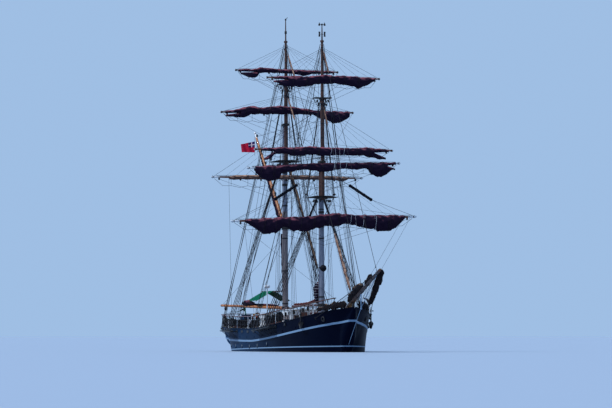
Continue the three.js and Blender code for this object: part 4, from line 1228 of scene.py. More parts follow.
@dataclass
class Rails:
    """Turned stanchions under varnished caps, along both sides and across the stern."""

    high: float = 0.85
    fore_high: float = 0.76
    spacing: float = 0.62
    ends: tuple[float, float] = (-16.42, 8.3)
    fore_ends: tuple[float, float] = (8.55, 14.7)
    dome: tuple[float, float, float] = (2.3, -2.95, 4.76)
    wire: float = 0.006
    stanchion: tuple[tuple[float, float], ...] = (
        (0.03, 0.0), (0.03, 0.05), (0.018, 0.075), (0.024, 0.1), (0.015, 0.14), (0.024, 0.3), (0.02, 0.42),
        (0.014, 0.62), (0.022, 0.66), (0.014, 0.7), (0.028, 0.78), (0.028, 0.85),
    )
    cap_section: tuple[tuple[float, float], ...] = (
        (-0.085, 0.0), (0.085, 0.0), (0.092, 0.018), (0.085, 0.042), (0.05, 0.056), (-0.05, 0.056),
        (-0.085, 0.042), (-0.092, 0.018),
    )

    def line(self, x: float) -> float:
        """How far from the centreline the rail runs."""
        return max(beam(x) - BULWARK_THICK / 2, 0.03)

    def on_rail(self, x: float, side: int, up: float) -> Vector:
        """A point on the rail's line, that far over the bulwark."""
        return Vector((x, side * self.line(x), sheer(x) + up))

    def cap(self, form: Form, points: Sequence[Vector], across: Sequence[Vector]) -> None:
        """Adds a cap of rounded section.

        Args:
            form: where it goes.
            points: the middle of its underside.
            across: the direction across it at each point.
        """
        rings = [[p + a * y + Vector((0, 0, z)) for y, z in self.cap_section] for p, a in zip(points, across)]
        form.rings(rings)

    def run(self, name: str, side: int, start: float, end: float, high: float, nodes: Sequence[str]) -> None:
        """Makes one rail.

        Args:
            name: its name.
            side: 1 for port and -1 for starboard.
            start: its after end.
            end: its fore end.
            high: the cap's height over the bulwark.
            nodes: the solids that it stands for.
        """
        form = Form()
        points = [self.on_rail(x, side, high) for x in steps(start, end, 0.5)]
        across = []
        for i in range(len(points)):
            along = points[min(i + 1, len(points) - 1)] - points[max(i - 1, 0)]
            across.append(Vector((-along.y, along.x, 0)).normalized())
        self.cap(form, points, across)
        for n, x in enumerate(steps(start + 0.06, end - 0.06, self.spacing)):
            foot = self.on_rail(x, side, 0)
            form.turned(foot, [(r, z * high / self.high) for r, z in self.stanchion], 10, 1 if n % 6 else 3)
            form.block(foot + Vector((0, 0, 0.008)), (0.12, 0.1, 0.016), 2)
        for share in (0.36, 0.68):
            form.tube([self.on_rail(x, side, high * share) for x in steps(start, end, 1.5)], self.wire, 5, 2)
        aft = start < 0
        if aft:
            self.taffrail(form, side, start)
        if aft and side < 0:
            self.dome_post(form)
        finishes = [MAHOGANY if aft else OILED, BLACK_IRON, BLACK_IRON, WHITE_ENAMEL]
        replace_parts(form.made(name, finishes, "hull", 50), *nodes)

    def taffrail(self, form: Form, side: int, x: float) -> None:
        """Adds one half of the rail across the stern.

        Args:
            form: where it goes.
            side: 1 for port and -1 for starboard.
            x: its place along the ship.
        """
        z, far = sheer(x) + self.high, side * (self.line(x) + 0.05)
        points = [Vector((x, side * 0.002, z)), Vector((x, far, z))]
        self.cap(form, points, [X_AXIS] * 2)
        for share in (0.2, 0.5, 0.8):
            form.turned((x + 0.03, far * share, sheer(x)), self.stanchion, 10, 1)

    def dome_post(self, form: Form) -> None:
        """Adds the white post with a domed aerial inside the starboard rail.

        Args:
            form: where it goes.
        """
        x, y, top = self.dome
        form.turned((x, y, 0), ((0.04, deck(x) - 0.05), (0.038, top - 0.25), (0.034, top - 0.12)), 16, 3)
        dome = ((0.03, -0.25), (0.12, -0.235), (0.19, -0.2), (0.205, -0.15), (0.205, -0.1), (0.18, -0.05),
                (0.12, -0.015), (0.001, 0.0))
        form.turned((x, y, top), dome, 24, 3)
        form.turned((x, y, deck(x) + 0.005), ((0.09, -0.02), (0.09, 0.02), (0.045, 0.05)), 16, 2)
        arm = (x, (y - self.line(x)) / 2, sheer(x) + self.high + 0.03)
        form.block(arm, (0.05, self.line(x) + y + 0.06, 0.03), 2)

    def build(self) -> None:
        """Makes the four rails."""
        for word, side in SIDES:
            self.run(f"main_rail_{word}_dressed", side, *self.ends, self.high, [f"main_rail_{word}"])
            self.run(
                f"fore_rail_{word}_dressed", side, *self.fore_ends, self.fore_high, [f"fore_rail_{word}"]
            )


# Masts


@dataclass
class Mast:
    """A lower mast with its top and cap, and the topmast ahead of it."""

    line: MastLine
    paint: Finish
    upper_paint: Finish
    change: float
    truss: float
    sides: int = 28
    top_half: float = 0.66
    tree_half: float = 1.02
    slat_gap: float = 0.12
    slat_wide: float = 0.09

    def at_axis(
        self, form: Form, forward: float, profile: Sequence[tuple[float, float]], mark: int, sides: int = 0
    ) -> None:
        """Adds a turned form on the mast's own line, or ahead of it."""
        form.turned(self.line.at(forward, 0, 0), profile, sides or self.sides, mark, self.line.axis)

    def band(self, form: Form, forward: float, z: float, r: float, half: float, sides: int = 0) -> None:
        """Adds an iron band with chamfered edges.

        Args:
            form: where it goes.
            forward: how far ahead of the lower mast's line.
            z: its middle's height.
            r: its outer radius.
            half: half its height.
            sides: how many sides it has.
        """
        edge = 0.014 if forward == 0 else 0.01
        profile = ((r - edge, z - half), (r, z - half + 0.005), (r, z + half - 0.005), (r - edge, z + half))
        self.at_axis(form, forward, profile, 1, sides)

    def beam_of(
        self, form: Form, low: Sequence[float], high: Sequence[float], mark: int, bevel: float = 0.01
    ) -> None:
        """Adds a box in the mast's frame.

        Args:
            form: where it goes.
            low: its lowest corner.
            high: its highest corner.
            mark: its finish.
            bevel: the bevel of its upright edges.
        """
        middle = [(a + b) / 2 for a, b in zip(low, high)]
        size = [b - a for a, b in zip(low, high)]
        form.block(self.line.at(*middle), size, mark, bevel, Matrix.Rotation(-MAST_RAKE, 3, "Y"))

    def build(self) -> None:
        """Makes the mast's pieces."""
        self.lower()
        self.upper()

    def lower(self) -> None:
        """The lower mast with its bands, boot, top, cap and truss."""
        line, form = self.line, Form()
        foot = deck(line.x) - 0.1
        split = line.lower_radius(self.change)
        self.at_axis(form, 0, ((line.lower, foot), (line.lower, 5.0), (split, self.change)), 0)
        self.at_axis(form, 0, ((split, self.change), (line.lower_head, line.cap)), 5)
        for z in steps(foot + 2.2, line.top - 0.9, 2.4):
            self.band(form, 0, z, line.lower_radius(z) + 0.012, 0.05)
        boot = (
            (0.44, foot + 0.02), (0.42, foot + 0.16), (0.3, foot + 0.24), (line.lower + 0.005, foot + 0.36)
        )
        self.at_axis(form, 0, boot, 2)
        self.top(form)
        h, cap = line.lower_head + 0.03, line.cap
        self.beam_of(form, (-h, -h, cap - 0.15), (DOUBLING, h, cap), 1, 0.02)
        ring = (
            (0.145, cap - 0.16), (0.235, cap - 0.15), (0.24, cap - 0.02), (0.22, cap + 0.01),
            (0.145, cap + 0.01)
        )
        self.at_axis(form, DOUBLING, ring, 1)
        for z in (self.truss - 0.19, self.truss + 0.19):
            self.beam_of(form, (0, -0.07, z - 0.03), (DOUBLING, 0.07, z + 0.03), 1)
            eye = ((0.045, z - 0.04), (0.09, z - 0.03), (0.09, z + 0.03), (0.045, z + 0.04))
            self.at_axis(form, DOUBLING, eye, 1, 16)
        self.at_axis(form, DOUBLING, ((0.04, self.truss - 0.24), (0.04, self.truss + 0.24)), 1, 12)
        for z in (self.truss - 0.5, self.truss + 0.5):
            r = line.lower_radius(z) + 0.02
            self.at_axis(form, 0, ((r, z - 0.08), (r, z + 0.08)), 1)
        self.fife_rail(form)
        self.blocks(form)
        finishes = [self.paint, BLACK_IRON, WHITE_ENAMEL, MAHOGANY, TARRED, self.upper_paint]
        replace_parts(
            form.made(f"{line.name}_lower_mast_dressed", finishes, "hull", 42), f"{line.name}_lower_mast"
        )

    def top(self, form: Form) -> None:
        """Adds the top: trestle trees, crosstrees, slatted platform and rim.

        Args:
            form: where it goes.
        """
        line, z = self.line, self.line.top
        r = line.lower_radius(z)
        for y in (-r - 0.06, r + 0.06):
            self.beam_of(form, (-0.56, y - 0.055, z - 0.19), (DOUBLING + 0.42, y + 0.055, z - 0.05), 1)
        for x in (-0.42, 0.22, DOUBLING + 0.26):
            self.beam_of(
                form, (x - 0.035, -self.tree_half, z - 0.1), (x + 0.035, self.tree_half, z - 0.04), 1
            )
        half = self.slat_wide / 2
        for y in steps(-0.6, 0.6, self.slat_gap):
            fore = DOUBLING + 0.5 - 0.2 * abs(y)
            aft = -0.62 if abs(y) > r + 0.04 else DOUBLING + 0.2
            self.beam_of(form, (aft, y - half, z - 0.04), (fore, y + half, z - 0.01), 3, 0.004)
        wide, fore = self.top_half, DOUBLING + 0.3
        corners = ((-0.6, -wide), (fore, -wide), (fore + 0.2, -0.3), (fore + 0.2, 0.3), (fore, wide),
                   (-0.6, wide), (-0.6, -wide))
        form.tube([line.at(x, y, z - 0.005) for x, y in corners], 0.035, 8, 1, flat=0.8)

    def upper(self) -> None:
        """The topmast with its crosstrees, head and pole."""
        line, form = self.line, Form()
        r, c, head, pole = line.topmast, line.crosstrees, line.head, line.pole
        self.at_axis(form, DOUBLING, (
            (r, line.top - 0.28), (r, line.cap - 0.5), (r, c - 0.3), (r * 0.86, c), (r * 0.6, head - 0.15),
            (r * 0.95, head - 0.12), (r * 0.95, head), (0.055, head + 0.02), (0.032, pole - 0.12),
        ), 0)
        truck = ((0.032, pole - 0.16), (0.06, pole - 0.12), (0.06, pole - 0.03), (0.001, pole))
        self.at_axis(form, DOUBLING, truck, 2, 16)
        for x in (DOUBLING - 0.24, DOUBLING + 0.24):
            self.beam_of(form, (x - 0.04, -0.64, c - 0.045), (x + 0.04, 0.64, c + 0.035), 1)
        for y in (-0.13, 0.13):
            self.beam_of(
                form, (DOUBLING - 0.33, y - 0.04, c - 0.12), (DOUBLING + 0.33, y + 0.04, c - 0.02), 1
            )
        for z in (*steps(line.cap + 0.6, c - 0.8, 1.1), *steps(c + 0.5, head - 0.5, 1.2)):
            self.band(form, DOUBLING, z, line.upper_radius(z) + 0.008, 0.035, 20)
        self.masthead_blocks(form)
        if line is FORE:
            self.fore_head(form)
        else:
            self.main_head(form)
        finishes = [OILED, BLACK_IRON, BLACK_IRON, DARK_GLASS]
        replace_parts(form.made(f"{line.name}_topmast_dressed", finishes, "hull", 42), f"{line.name}_topmast")

    def main_head(self, form: Form) -> None:
        """Adds the wind vane and the lamp at the main masthead.

        Args:
            form: where they go.
        """
        line = self.line
        form.line(
            line.at(DOUBLING, 0, line.pole - 0.05), line.at(DOUBLING + 0.18, 0.06, line.pole + 0.04), 0.012,
            1, 6
        )
        form.block(line.at(DOUBLING + 0.2, 0.07, line.pole + 0.03), (0.16, 0.01, 0.07), 2)
        lamp = ((0.05, 0), (0.085, 0.04), (0.085, 0.2), (0.05, 0.24))
        form.turned(line.at(DOUBLING, 0, line.head + 0.5), lamp, 14, 2)

    def fore_head(self, form: Form) -> None:
        """Adds the lamps and the wind gear at the fore masthead.

        Args:
            form: where they go.
        """
        line = self.line
        for z in (line.head + 0.44, line.pole - 0.06):
            self.beam_of(
                form, (DOUBLING - 0.02, -0.19, z - 0.015), (DOUBLING + 0.02, 0.19, z + 0.015), 1, 0.0
            )
        lamp = ((0.04, 0.26), (0.07, 0.28), (0.07, 0.34), (0.055, 0.35), (0.055, 0.54), (0.07, 0.56),
                (0.07, 0.6), (0.03, 0.62))
        cup = ((0.02, -0.17), (0.07, -0.15), (0.07, -0.06), (0.03, 0.0), (0.025, 0.06))
        for y in (-0.19, 0.19):
            form.turned(line.at(DOUBLING, y, line.head), lamp, 14, 2)
            form.turned(line.at(DOUBLING, y, line.pole), cup, 14, 2)

    def fife_rail(self, form: Form) -> None:
        """Adds the fife rail at the mast's foot, its pins and coils of rope.

        Args:
            form: where it goes.
        """
        x, z = self.line.x, deck(self.line.x)
        post = ((0.07, -0.05), (0.05, 0.15), (0.06, 0.5), (0.05, 0.95))
        pin = ((0.016, -0.26), (0.022, -0.04), (0.012, 0.0), (0.024, 0.12), (0.001, 0.17))
        for dx in (-0.5, 0.62):
            form.block((x + dx, 0, z + 0.98), (0.14, 1.5, 0.07), 3, 0.02)
            for y in (-0.68, 0.68):
                form.turned((x + dx, y, z), post, 10, 3)
            for y in steps(-0.6, 0.6, 0.2):
                at = Vector((x + dx, y, z + 0.98))
                form.turned(at, pin, 8, 3)
                form.hoop(at + Vector((0.06, 0, -0.24)), 0.1, 0.028, X_AXIS, 12, 4, 1.6)

    def blocks(self, form: Form) -> None:
        """Adds the blocks that hang under the top.

        Args:
            form: where they go.
        """
        for k in range(8):
            angle = 2 * math.pi * (k + 0.5) / 8
            at = self.line.at(
                DOUBLING * 0.5 + 0.54 * math.cos(angle), 0.6 * math.sin(angle), self.line.top - 0.32
            )
            form.ball(at, 0.065, 1, 8, 1.5)
            form.line(at, at + Vector((0, 0, 0.18)), 0.01, 1)

    def masthead_blocks(self, form: Form) -> None:
        """Adds the blocks that hang close under the crosstrees, in two rings.

        Args:
            form: where they go.
        """
        for k in range(14):
            angle = 2 * math.pi * (k + 0.5) / 7
            out, down = (0.27, 0.16) if k < 7 else (0.2, 0.42)
            z = self.line.crosstrees - down - 0.04 * (k % 3)
            at = self.line.at(DOUBLING + out * math.cos(angle), out * 1.5 * math.sin(angle), z)
            form.ball(at, 0.06, 1, 8, 1.5)
            form.line(at, at + Vector((0, 0, 0.14)), 0.01, 1)


HULL = HullEnamel()


# Standing rigging


@dataclass
class Rigging:
    """Shrouds, ratlines, backstays, stays and the running gear that stands still."""

    channel_reach: float = 0.6
    channel_foot: float = 0.54
    channel_drop: float = 0.2
    shrouds: tuple[tuple[float, float], ...] = ((-0.1, -0.8), (-0.22, -1.4), (-0.34, -2.0), (-0.46, -2.6))
    backstays: tuple[float, float] = (-3.7, -4.5)
    shroud: float = 0.024
    backstay: float = 0.018
    ratline_gap: float = 0.38
    ratline: float = 0.006
    fall: float = 0.012
    pin: tuple[tuple[float, float], ...] = ((0.016, -0.18), (0.02, 0), (0.024, 0.12), (0.001, 0.16))

    def foot(self, mast: MastLine, side: int, x: float, up: float = 0.0) -> Vector:
        """A place on the channel, or that far above it."""
        return abreast(mast.x + x, side, self.channel_foot, up - self.channel_drop - 0.02)

    def build(self) -> None:
        """Makes all of it."""
        for mast in MASTS:
            for word, side in SIDES:
                self.side(mast, word, side)
            self.upper(mast)
            self.falls(mast)
        self.stays()

    def side(self, mast: MastLine, word: str, side: int) -> None:
        """The channel, deadeyes, shrouds, ratlines and backstays of one side.

        Args:
            mast: the mast that they hold.
            word: port or starboard.
            side: 1 for port and -1 for starboard.
        """
        form = Form()
        self.channel(form, mast, side)
        eyes = [mast.at(x, side * (mast.lower + 0.06), mast.top - 0.2) for x, _ in self.shrouds]
        feet = [self.foot(mast, side, x) for _, x in self.shrouds]
        heads = [mast.at(DOUBLING - 0.24, side * 0.67, mast.crosstrees),
                 mast.at(DOUBLING - 0.03, side * 0.125, mast.head - 0.26)]
        stays = [self.foot(mast, side, x) for x in self.backstays]
        ropes = [(foot, eye, self.shroud) for foot, eye in zip(feet, eyes)]
        ropes += [(foot, head, self.backstay) for foot, head in zip(stays, heads)]
        for foot, head, radius in ropes:
            self.deadeyes(form, foot, head, radius, side)
            form.line(foot + (head - foot).normalized() * 0.85, head, radius, 0, 6)
        self.ratlines(form, feet, eyes, 1.15)
        pole = [foot.lerp(eye, 1.05 / (eye - foot).length) for foot, eye in zip(feet, eyes)]
        form.tube([pole[0] + Vector((0.12, 0, 0)), pole[-1] - Vector((0.12, 0, 0))], 0.02, 6, 2)
        for eye in eyes:
            form.hoop(eye, 0.05, 0.02, Vector((0, side, 1)), 10)
        name, finishes = f"{mast.name}_shrouds_{word}", [TARRED, BLACK_IRON, BLACK_IRON, RUNNING]
        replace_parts(form.made(f"{name}_dressed", finishes, "hull", 40), name)

    def channel(self, form: Form, mast: MastLine, side: int) -> None:
        """Adds the plank outside the bulwark that spreads the shrouds.

        Args:
            form: where it goes.
            mast: the mast whose shrouds it spreads.
            side: 1 for port and -1 for starboard.
        """
        rings = []
        for x in steps(mast.x - 4.8, mast.x - 0.5, 0.4):
            top = sheer(x) - self.channel_drop
            inner, outer = side_line(x) - 0.12, side_line(x) + self.channel_reach
            section = (
                (inner, top - 0.06), (outer - 0.02, top - 0.06), (outer, top - 0.04), (outer, top - 0.02),
                (outer - 0.02, top), (inner, top)
            )
            rings.append([Vector((x, side * y, z)) for y, z in section])
        form.rings(rings, mark=1)

    def deadeyes(self, form: Form, foot: Vector, head: Vector, radius: float, side: int) -> None:
        """Adds a chain plate, a pair of deadeyes and their lanyards.

        Args:
            form: where they go.
            foot: the shroud's foot.
            head: the shroud's head.
            radius: the shroud's radius.
            side: 1 for port and -1 for starboard.
        """
        along = (head - foot).normalized()
        across = Y_AXIS.cross(along).normalized()
        face = along.cross(across).normalized()
        size = 0.085 if radius > 0.02 else 0.07
        disc = ((0.03, 0), (size, 0.012), (size, 0.058), (0.03, 0.07))
        for share in (0.16, 0.72):
            form.turned(foot + along * share - face * 0.035, disc, 14, 1, face)
            form.hoop(foot + along * share, size, 0.014, face, 14, 2)
        for shift in (-0.045, 0, 0.045):
            low, high = foot + along * 0.2, foot + along * 0.68
            form.line(low + across * shift, high + across * shift, 0.011, 3)
            form.line(low + across * shift, high + across * (shift + 0.04), 0.009, 3)
        low = foot - Vector((0, 0, 0.5))
        plating = side_line(low.x) - 0.1
        plate = [
            foot + along * 0.14, foot, (low.x, side * (plating + 0.12), low.z + 0.1),
            (low.x, side * plating, low.z)
        ]
        form.tube(plate, 0.018, 6, 2)

    def ratlines(self, form: Form, feet: Sequence[Vector], eyes: Sequence[Vector], start: float) -> None:
        """Adds ratlines across a set of shrouds, each sagging a little.

        Args:
            form: where they go.
            feet: the shrouds' feet.
            eyes: the shrouds' heads.
            start: how far up the first one is.
        """
        span = (eyes[0] - feet[0]).length
        count = int((span - start - 0.5) / self.ratline_gap)
        for k in range(count):
            share = (start + k * self.ratline_gap) / span
            row = [f.lerp(e, share) for f, e in zip(feet, eyes)]
            path = [row[0]]
            for a, b in zip(row, row[1:]):
                path += [a.lerp(b, 0.5) - Vector((0, 0, 0.03 + 0.004 * (k % 3))), b]
            form.tube(path, self.ratline, 4, 0, caps=False)
            for point in row:
                form.ball(point, 0.017, 0, 5, 1.0)

    def upper(self, mast: MastLine) -> None:
        """Futtock, topmast and topgallant shrouds, on both sides.

        Args:
            mast: the mast that they hold.
        """
        form = Form()
        trees, low = mast.crosstrees, mast.top - 1.4
        for _, side in SIDES:
            edge = [mast.at(x, side * 1.0, mast.top) for x in (-0.03, -0.23, -0.43)]
            for k, point in enumerate(edge):
                root = mast.at(0.04 - 0.06 * k, side * (mast.lower_radius(low) + 0.01), low - 0.05)
                form.line(point, root, 0.01, 0, 5)
                eye = ((0.05, 0.1), (0.06, 0.13), (0.06, 0.19), (0.05, 0.22))
                form.turned(point - Vector((0.03, 0, 0)), eye, 10, 1)
            heads = [mast.at(DOUBLING + x, side * 0.13, trees - 0.1) for x in (-0.02, -0.08, -0.14)]
            for a, b in zip(edge, heads):
                form.line(a, b, 0.018, 0, 5)
            self.ratlines(form, edge, heads, 0.5)
            tips = [mast.at(DOUBLING + x, side * 0.62, trees) for x in (-0.14, -0.24)]
            tops = [mast.at(DOUBLING + x, side * 0.07, mast.head - 0.5) for x in (-0.03, -0.07)]
            for a, b in zip(tips, tops):
                form.line(a, b, 0.014, 0, 5)
                form.line(a, mast.at(DOUBLING, side * 0.1, trees - 1.0), 0.012, 0, 5)
            for x, y, z in ((-4.1, 0.5, trees - 0.1), (-4.75, 0.1, mast.head - 0.9)):
                form.line(self.foot(mast, side, x, 0.1), mast.at(DOUBLING - 0.1, side * y, z), 0.014, 0, 5)
        form.made(f"{mast.name}_upper_shrouds", [TARRED, BLACK_IRON], "hull", 40)

    def falls(self, mast: MastLine) -> None:
        """Halyards and falls down to the rail and the mast's foot, belayed and coiled.

        Args:
            mast: the mast that they come down from.
        """
        form = Form()
        outer = ((mast.crosstrees - 0.3, 0.16), (mast.cap + 0.2, 0.2), (mast.head - 0.4, 0.1),
                 (mast.top - 0.35, 0.32), (mast.cap + 1.6, 0.16))
        inner = ((mast.top - 0.3, 0.42, 1.1), (mast.cap - 0.3, 0.3, 1.1), (mast.crosstrees - 0.5, 0.2, 1.12),
                 (mast.head - 0.8, 0.12, 1.12))
        for _, side in SIDES:
            for k, (z, out) in enumerate(outer):
                low = abreast(mast.x - 1.5 - 0.3 * k, side, -0.22, 0.15)
                form.line(mast.at(DOUBLING - 0.1 - 0.08 * k, side * out, z), low, self.fall, 0, 5)
                form.turned(low, self.pin, 8, 2)
                form.hoop(low + Vector((0, -side * 0.05, -0.1)), 0.12, 0.035, Y_AXIS, 12, 1, 1.5)
            for k, (z, out, down) in enumerate(inner):
                low = (mast.x + 0.06, side * (0.46 + 0.13 * k), deck(mast.x) + down)
                form.line(mast.at(DOUBLING - 0.16, side * out, z), low, 0.011, 0, 5)
            for k in range(6):
                low = abreast(mast.x - 2.6 + 0.36 * k, side, -0.24, 0.12)
                form.line(mast.at(0.1 - 0.05 * k, side * (0.25 + 0.12 * k), mast.top - 0.3), low, 0.007, 0, 4)
            pin_rail = [abreast(x, side, -0.2, 0.08) for x in steps(mast.x - 3.4, mast.x - 0.2, 0.5)]
            form.tube(pin_rail, 0.05, 8, 2, flat=0.7)
        form.made(f"{mast.name}_falls", [RUNNING, TARRED, MAHOGANY], "hull", 40)

    def stays(self) -> None:
        """The stays, with the small staysails rolled on them."""
        rows = (
            ("main_stay", MAIN.edge, FORE.behind(5.05), self.shroud, 0.095, (0.03, 0.9), BROWN_CANVAS),
            (
                "main_topmast_stay", MAIN.before(18.95), FORE.behind(10.2), 0.02, 0.06, (0.06, 0.25),
                PALE_CANVAS
            ),
            (
                "main_topgallant_stay", MAIN.before(22.1), FORE.behind(13.37), 0.016, 0.06, (0.05, 0.3),
                PALE_CANVAS
            ),
            ("fore_stay", FORE.edge, BOWSPRIT.stay_foot(15.56), self.shroud, 0.1, (0.36, 0.9), PALE_CANVAS),
            (
                "fore_topmast_stay", FORE.before(17.62), BOWSPRIT.stay_foot(18.1), 0.02, 0.06, (0.03, 0.13),
                PALE_CANVAS
            ),
            (
                "fore_topgallant_stay", FORE.before(21.5), BOWSPRIT.stay_foot(22.1), 0.016, 0.06,
                (0.02, 0.12), PALE_CANVAS
            )
        )
        for name, top, low, radius, roll, share, cloth in rows:
            form = Form()
            form.line(top, low, radius, 0, 8)
            down = (low - top).normalized()
            for point in (top + down * 0.3, low - down * 0.5):
                form.ball(point, radius * 2.2, 2, 8, 2.0)
            self.rolled(form, top, low, roll, share)
            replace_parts(form.made(f"{name}_dressed", [TARRED, cloth, BLACK_IRON, MANILA], "hull", 50), name)

    def rolled(self, form: Form, top: Vector, low: Vector, roll: float, share: tuple[float, float]) -> None:
        """Adds a staysail rolled round its stay, its folds twisting, with lashings.

        Args:
            form: where it goes.
            top: the stay's upper end.
            low: the stay's lower end.
            roll: the roll's radius.
            share: where the roll starts and ends, as shares of the stay.
        """
        first, last = share
        length = (low - top).length * (last - first)
        count = max(12, round(length / 0.11))
        rings = []
        down = (low - top).normalized()
        up = Y_AXIS.cross(down).normalized()
        for i in range(count + 1):
            t = i / count
            at = top.lerp(low, first + (last - first) * t)
            wide = roll * min(1.0, 0.35 + 4 * t, 0.45 + 6 * (1 - t)) * (0.8 + 0.2 * t)
            wide *= 1 + 0.08 * math.sin(t * 47) + 0.05 * math.sin(t * 91 + 1)
            ring = []
            for k in range(14):
                angle = 2 * math.pi * k / 14
                fold = 1 + 0.13 * math.cos(3 * angle + t * 24) + 0.07 * math.cos(5 * angle - t * 31)
                ring.append(
                    at + Y_AXIS * (wide * fold * math.cos(angle)) + up * (wide * fold * math.sin(angle))
                )
            rings.append(ring)
        form.rings(rings, mark=1)
        for s in steps(0.3, length - 0.3, 0.6):
            t = s / length
            form.hoop(top.lerp(low, first + (last - first) * t), roll * (0.82 + 0.18 * t), 0.012, down, 14, 0)


# Yards and their furled sails


class Hold(Enum):
    """What holds a yard to its mast."""

    TRUSS = auto()
    COLLAR = auto()


@dataclass
class Yard:
    """A yard with its gear and the sail furled along it; all of it swings about the mast's line."""

    name: str
    mast: MastLine
    length: float
    z: float
    radius: float
    tip: float
    ahead: float
    droop: float
    hold: Hold
    lift_to: float
    furled: tuple[tuple[float, float, float], ...]
    pale: tuple[float, ...] = ()
    tails: tuple[tuple[float, ...], ...] = ()
    cloth: Finish = TANNED
    white_ends: bool = False
    sleeves: tuple[tuple[float, float], ...] = ()
    footrope: float = 0.62
    reach: float = 1.0
    lifts: bool = True
    gasket: float = 0.92
    cloth_step: float = 0.055
    jackstay_up: float = 0.05

    @property
    def body(self) -> str:
        """The body that the yard's pieces ride on."""
        return f"{self.name}_yard"

    @property
    def half(self) -> float:
        """Half the yard's length."""
        return self.length / 2

    def at(self, ahead: float, across: float, up: float) -> Vector:
        """A point of the ship from one about the yard's middle; up is from the yard's drooping centreline."""
        z = self.z + up + across * math.tan(math.radians(self.droop))
        return self.mast.at(DOUBLING + self.ahead + ahead, across, z)

    def spar_radius(self, across: float) -> float:
        """The yard's radius at a place along it."""
        rows = ((0.0, self.radius), (self.half * 0.5, self.radius * 0.86), (self.half, self.tip))
        return straight(rows, abs(across), 1)

    def build(self) -> None:
        """Makes the yard's pieces."""
        self.spar()
        self.sail()
        self.gear()

    def spar(self) -> None:
        """The spar with its bands, sling, truss or parrel, and its jackstay."""
        form = Form()
        half = self.half
        places = steps(-half, half, 0.35)
        path = [self.at(0, y, 0) for y in places]
        form.tube(path, [self.spar_radius(y) for y in places], 18)
        across = (path[-1] - path[0]).normalized()
        inner, outer = (0.5, half * 0.45), (half * 0.75, half * 0.97)
        for y in (-outer[1], -outer[0], -inner[1], -inner[0], *inner, *outer):
            form.hoop(self.at(0, y, 0), self.spar_radius(y) + 0.004, 0.014, across, 18, 1, 2.4)
        for way in (-1, 1):
            form.ball(self.at(0, way * (half - 0.02), 0), self.tip * 1.05, 2, 12)
            if self.white_ends:
                near = half - 0.6
                ends = [self.at(0, way * near, 0), self.at(0, way * half, 0)]
                form.tube(ends, [self.spar_radius(near) + 0.003, self.tip + 0.003], 18, 2)
        self.sling(form)
        places = steps(-half + 0.35, half - 0.35, 0.75)
        for y in places:
            r = self.spar_radius(y)
            form.line(self.at(0.02, y, r - 0.01), self.at(0.02, y, r + self.jackstay_up), 0.014, 1, 5)
        form.tube([self.at(0.02, y, self.spar_radius(y) + self.jackstay_up) for y in places], 0.013, 5, 1)
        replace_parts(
            form.made(f"{self.name}_yard_dressed", [SPAR, BLACK_IRON, WHITE_ENAMEL], self.body, 42),
            f"{self.name}_yard"
        )

    def sling(self, form: Form) -> None:
        """Adds what holds the yard to its mast.

        Args:
            form: where it goes.
        """
        truss = self.hold is Hold.TRUSS
        shaft = 0.045 if truss else self.mast.upper_radius(self.z - 0.075)
        low, high = [self.z + way * (0.15 if truss else 0.075) for way in (-1, 1)]
        sleeve = [
            (shaft + 0.002, low), (shaft + 0.04, low + 0.01), (shaft + 0.04, high - 0.01),
            (shaft + 0.002, high)
        ]
        form.turned(self.mast.at(DOUBLING, 0, 0), sleeve, 24, 1, self.mast.axis)
        middle = self.mast.at(DOUBLING + (self.ahead + shaft) / 2, 0, self.z)
        form.block(middle, (self.ahead - shaft, 0.13, 0.1), 1, 0.015, Matrix.Rotation(-MAST_RAKE, 3, "Y"))
        for y in (-0.3, 0.3):
            form.line(
                self.at(-0.05, y, 0), self.mast.at(DOUBLING + shaft + 0.02, y * 0.2, self.z), 0.03, 1, 8
            )

    def outline(self, across: float) -> tuple[float, float]:
        """The furled sail's height, lumpy as a hand-stowed sail is.

        Args:
            across: the place along the yard.

        Returns:
            Its top and bottom.
        """
        top, bottom = eased(self.furled, across, 1), eased(self.furled, across, 2)
        lump = 0.05 * math.sin(across * 6.1 + self.z) + 0.035 * math.sin(across * 13.7 + 2 * self.z)
        taut = abs(math.sin(math.pi * across / self.gasket))
        lump -= 0.05 * (1 - taut) ** 3
        tall = (top - bottom) / 2 * (1 + lump)
        return (top + bottom) / 2 + tall, (top + bottom) / 2 - tall

    def sail(self) -> None:
        """The sail, folded and hanging in bights, with its loose tails and the gaskets round it."""
        form = Form()
        start, end = self.furled[0][0], self.furled[-1][0]
        low = max([tail[0] for tail in self.tails if tail[0] < 0], default=start)
        high = min([tail[0] for tail in self.tails if tail[0] > 0], default=end)
        form.rings([self.folds(y, *self.outline(y)) for y in steps(low, high, self.cloth_step)])
        for root, level, tip, tip_top, tip_low in self.tails:
            way = -1 if root < 0 else 1
            last = end if way > 0 else start
            back = root - 0.06 * way
            roll, tail = [], []
            for y in steps(back, last, self.cloth_step):
                t = max(0.0, (y - root) / (last - root))
                roll.append(self.folds(y, self.outline(y)[0], level * (1 - t) - 0.1 * t))
            for y in steps(back, tip, self.cloth_step):
                t = max(0.0, (y - root) / (tip - root))
                bottom = self.outline(y)[1] * (1 - t * t) + tip_low * t * t
                tail.append(self.folds(y, level + (tip_top - level) * t, bottom))
            for rings in (roll, tail):
                form.rings(rings[::way])
        for n, y in enumerate(steps(low + 0.35, high - 0.35, self.gasket)):
            self.wrap(form, y, 1 if any(abs(y - p) < 0.5 for p in self.pale) else 2)
            if n % 2:
                self.wrap(form, y + 0.09, 2)
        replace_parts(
            form.made(f"{self.name}_sail_dressed", [self.cloth, BRAID, TARRED], self.body, 50),
            f"{self.name}_sail_furled"
        )

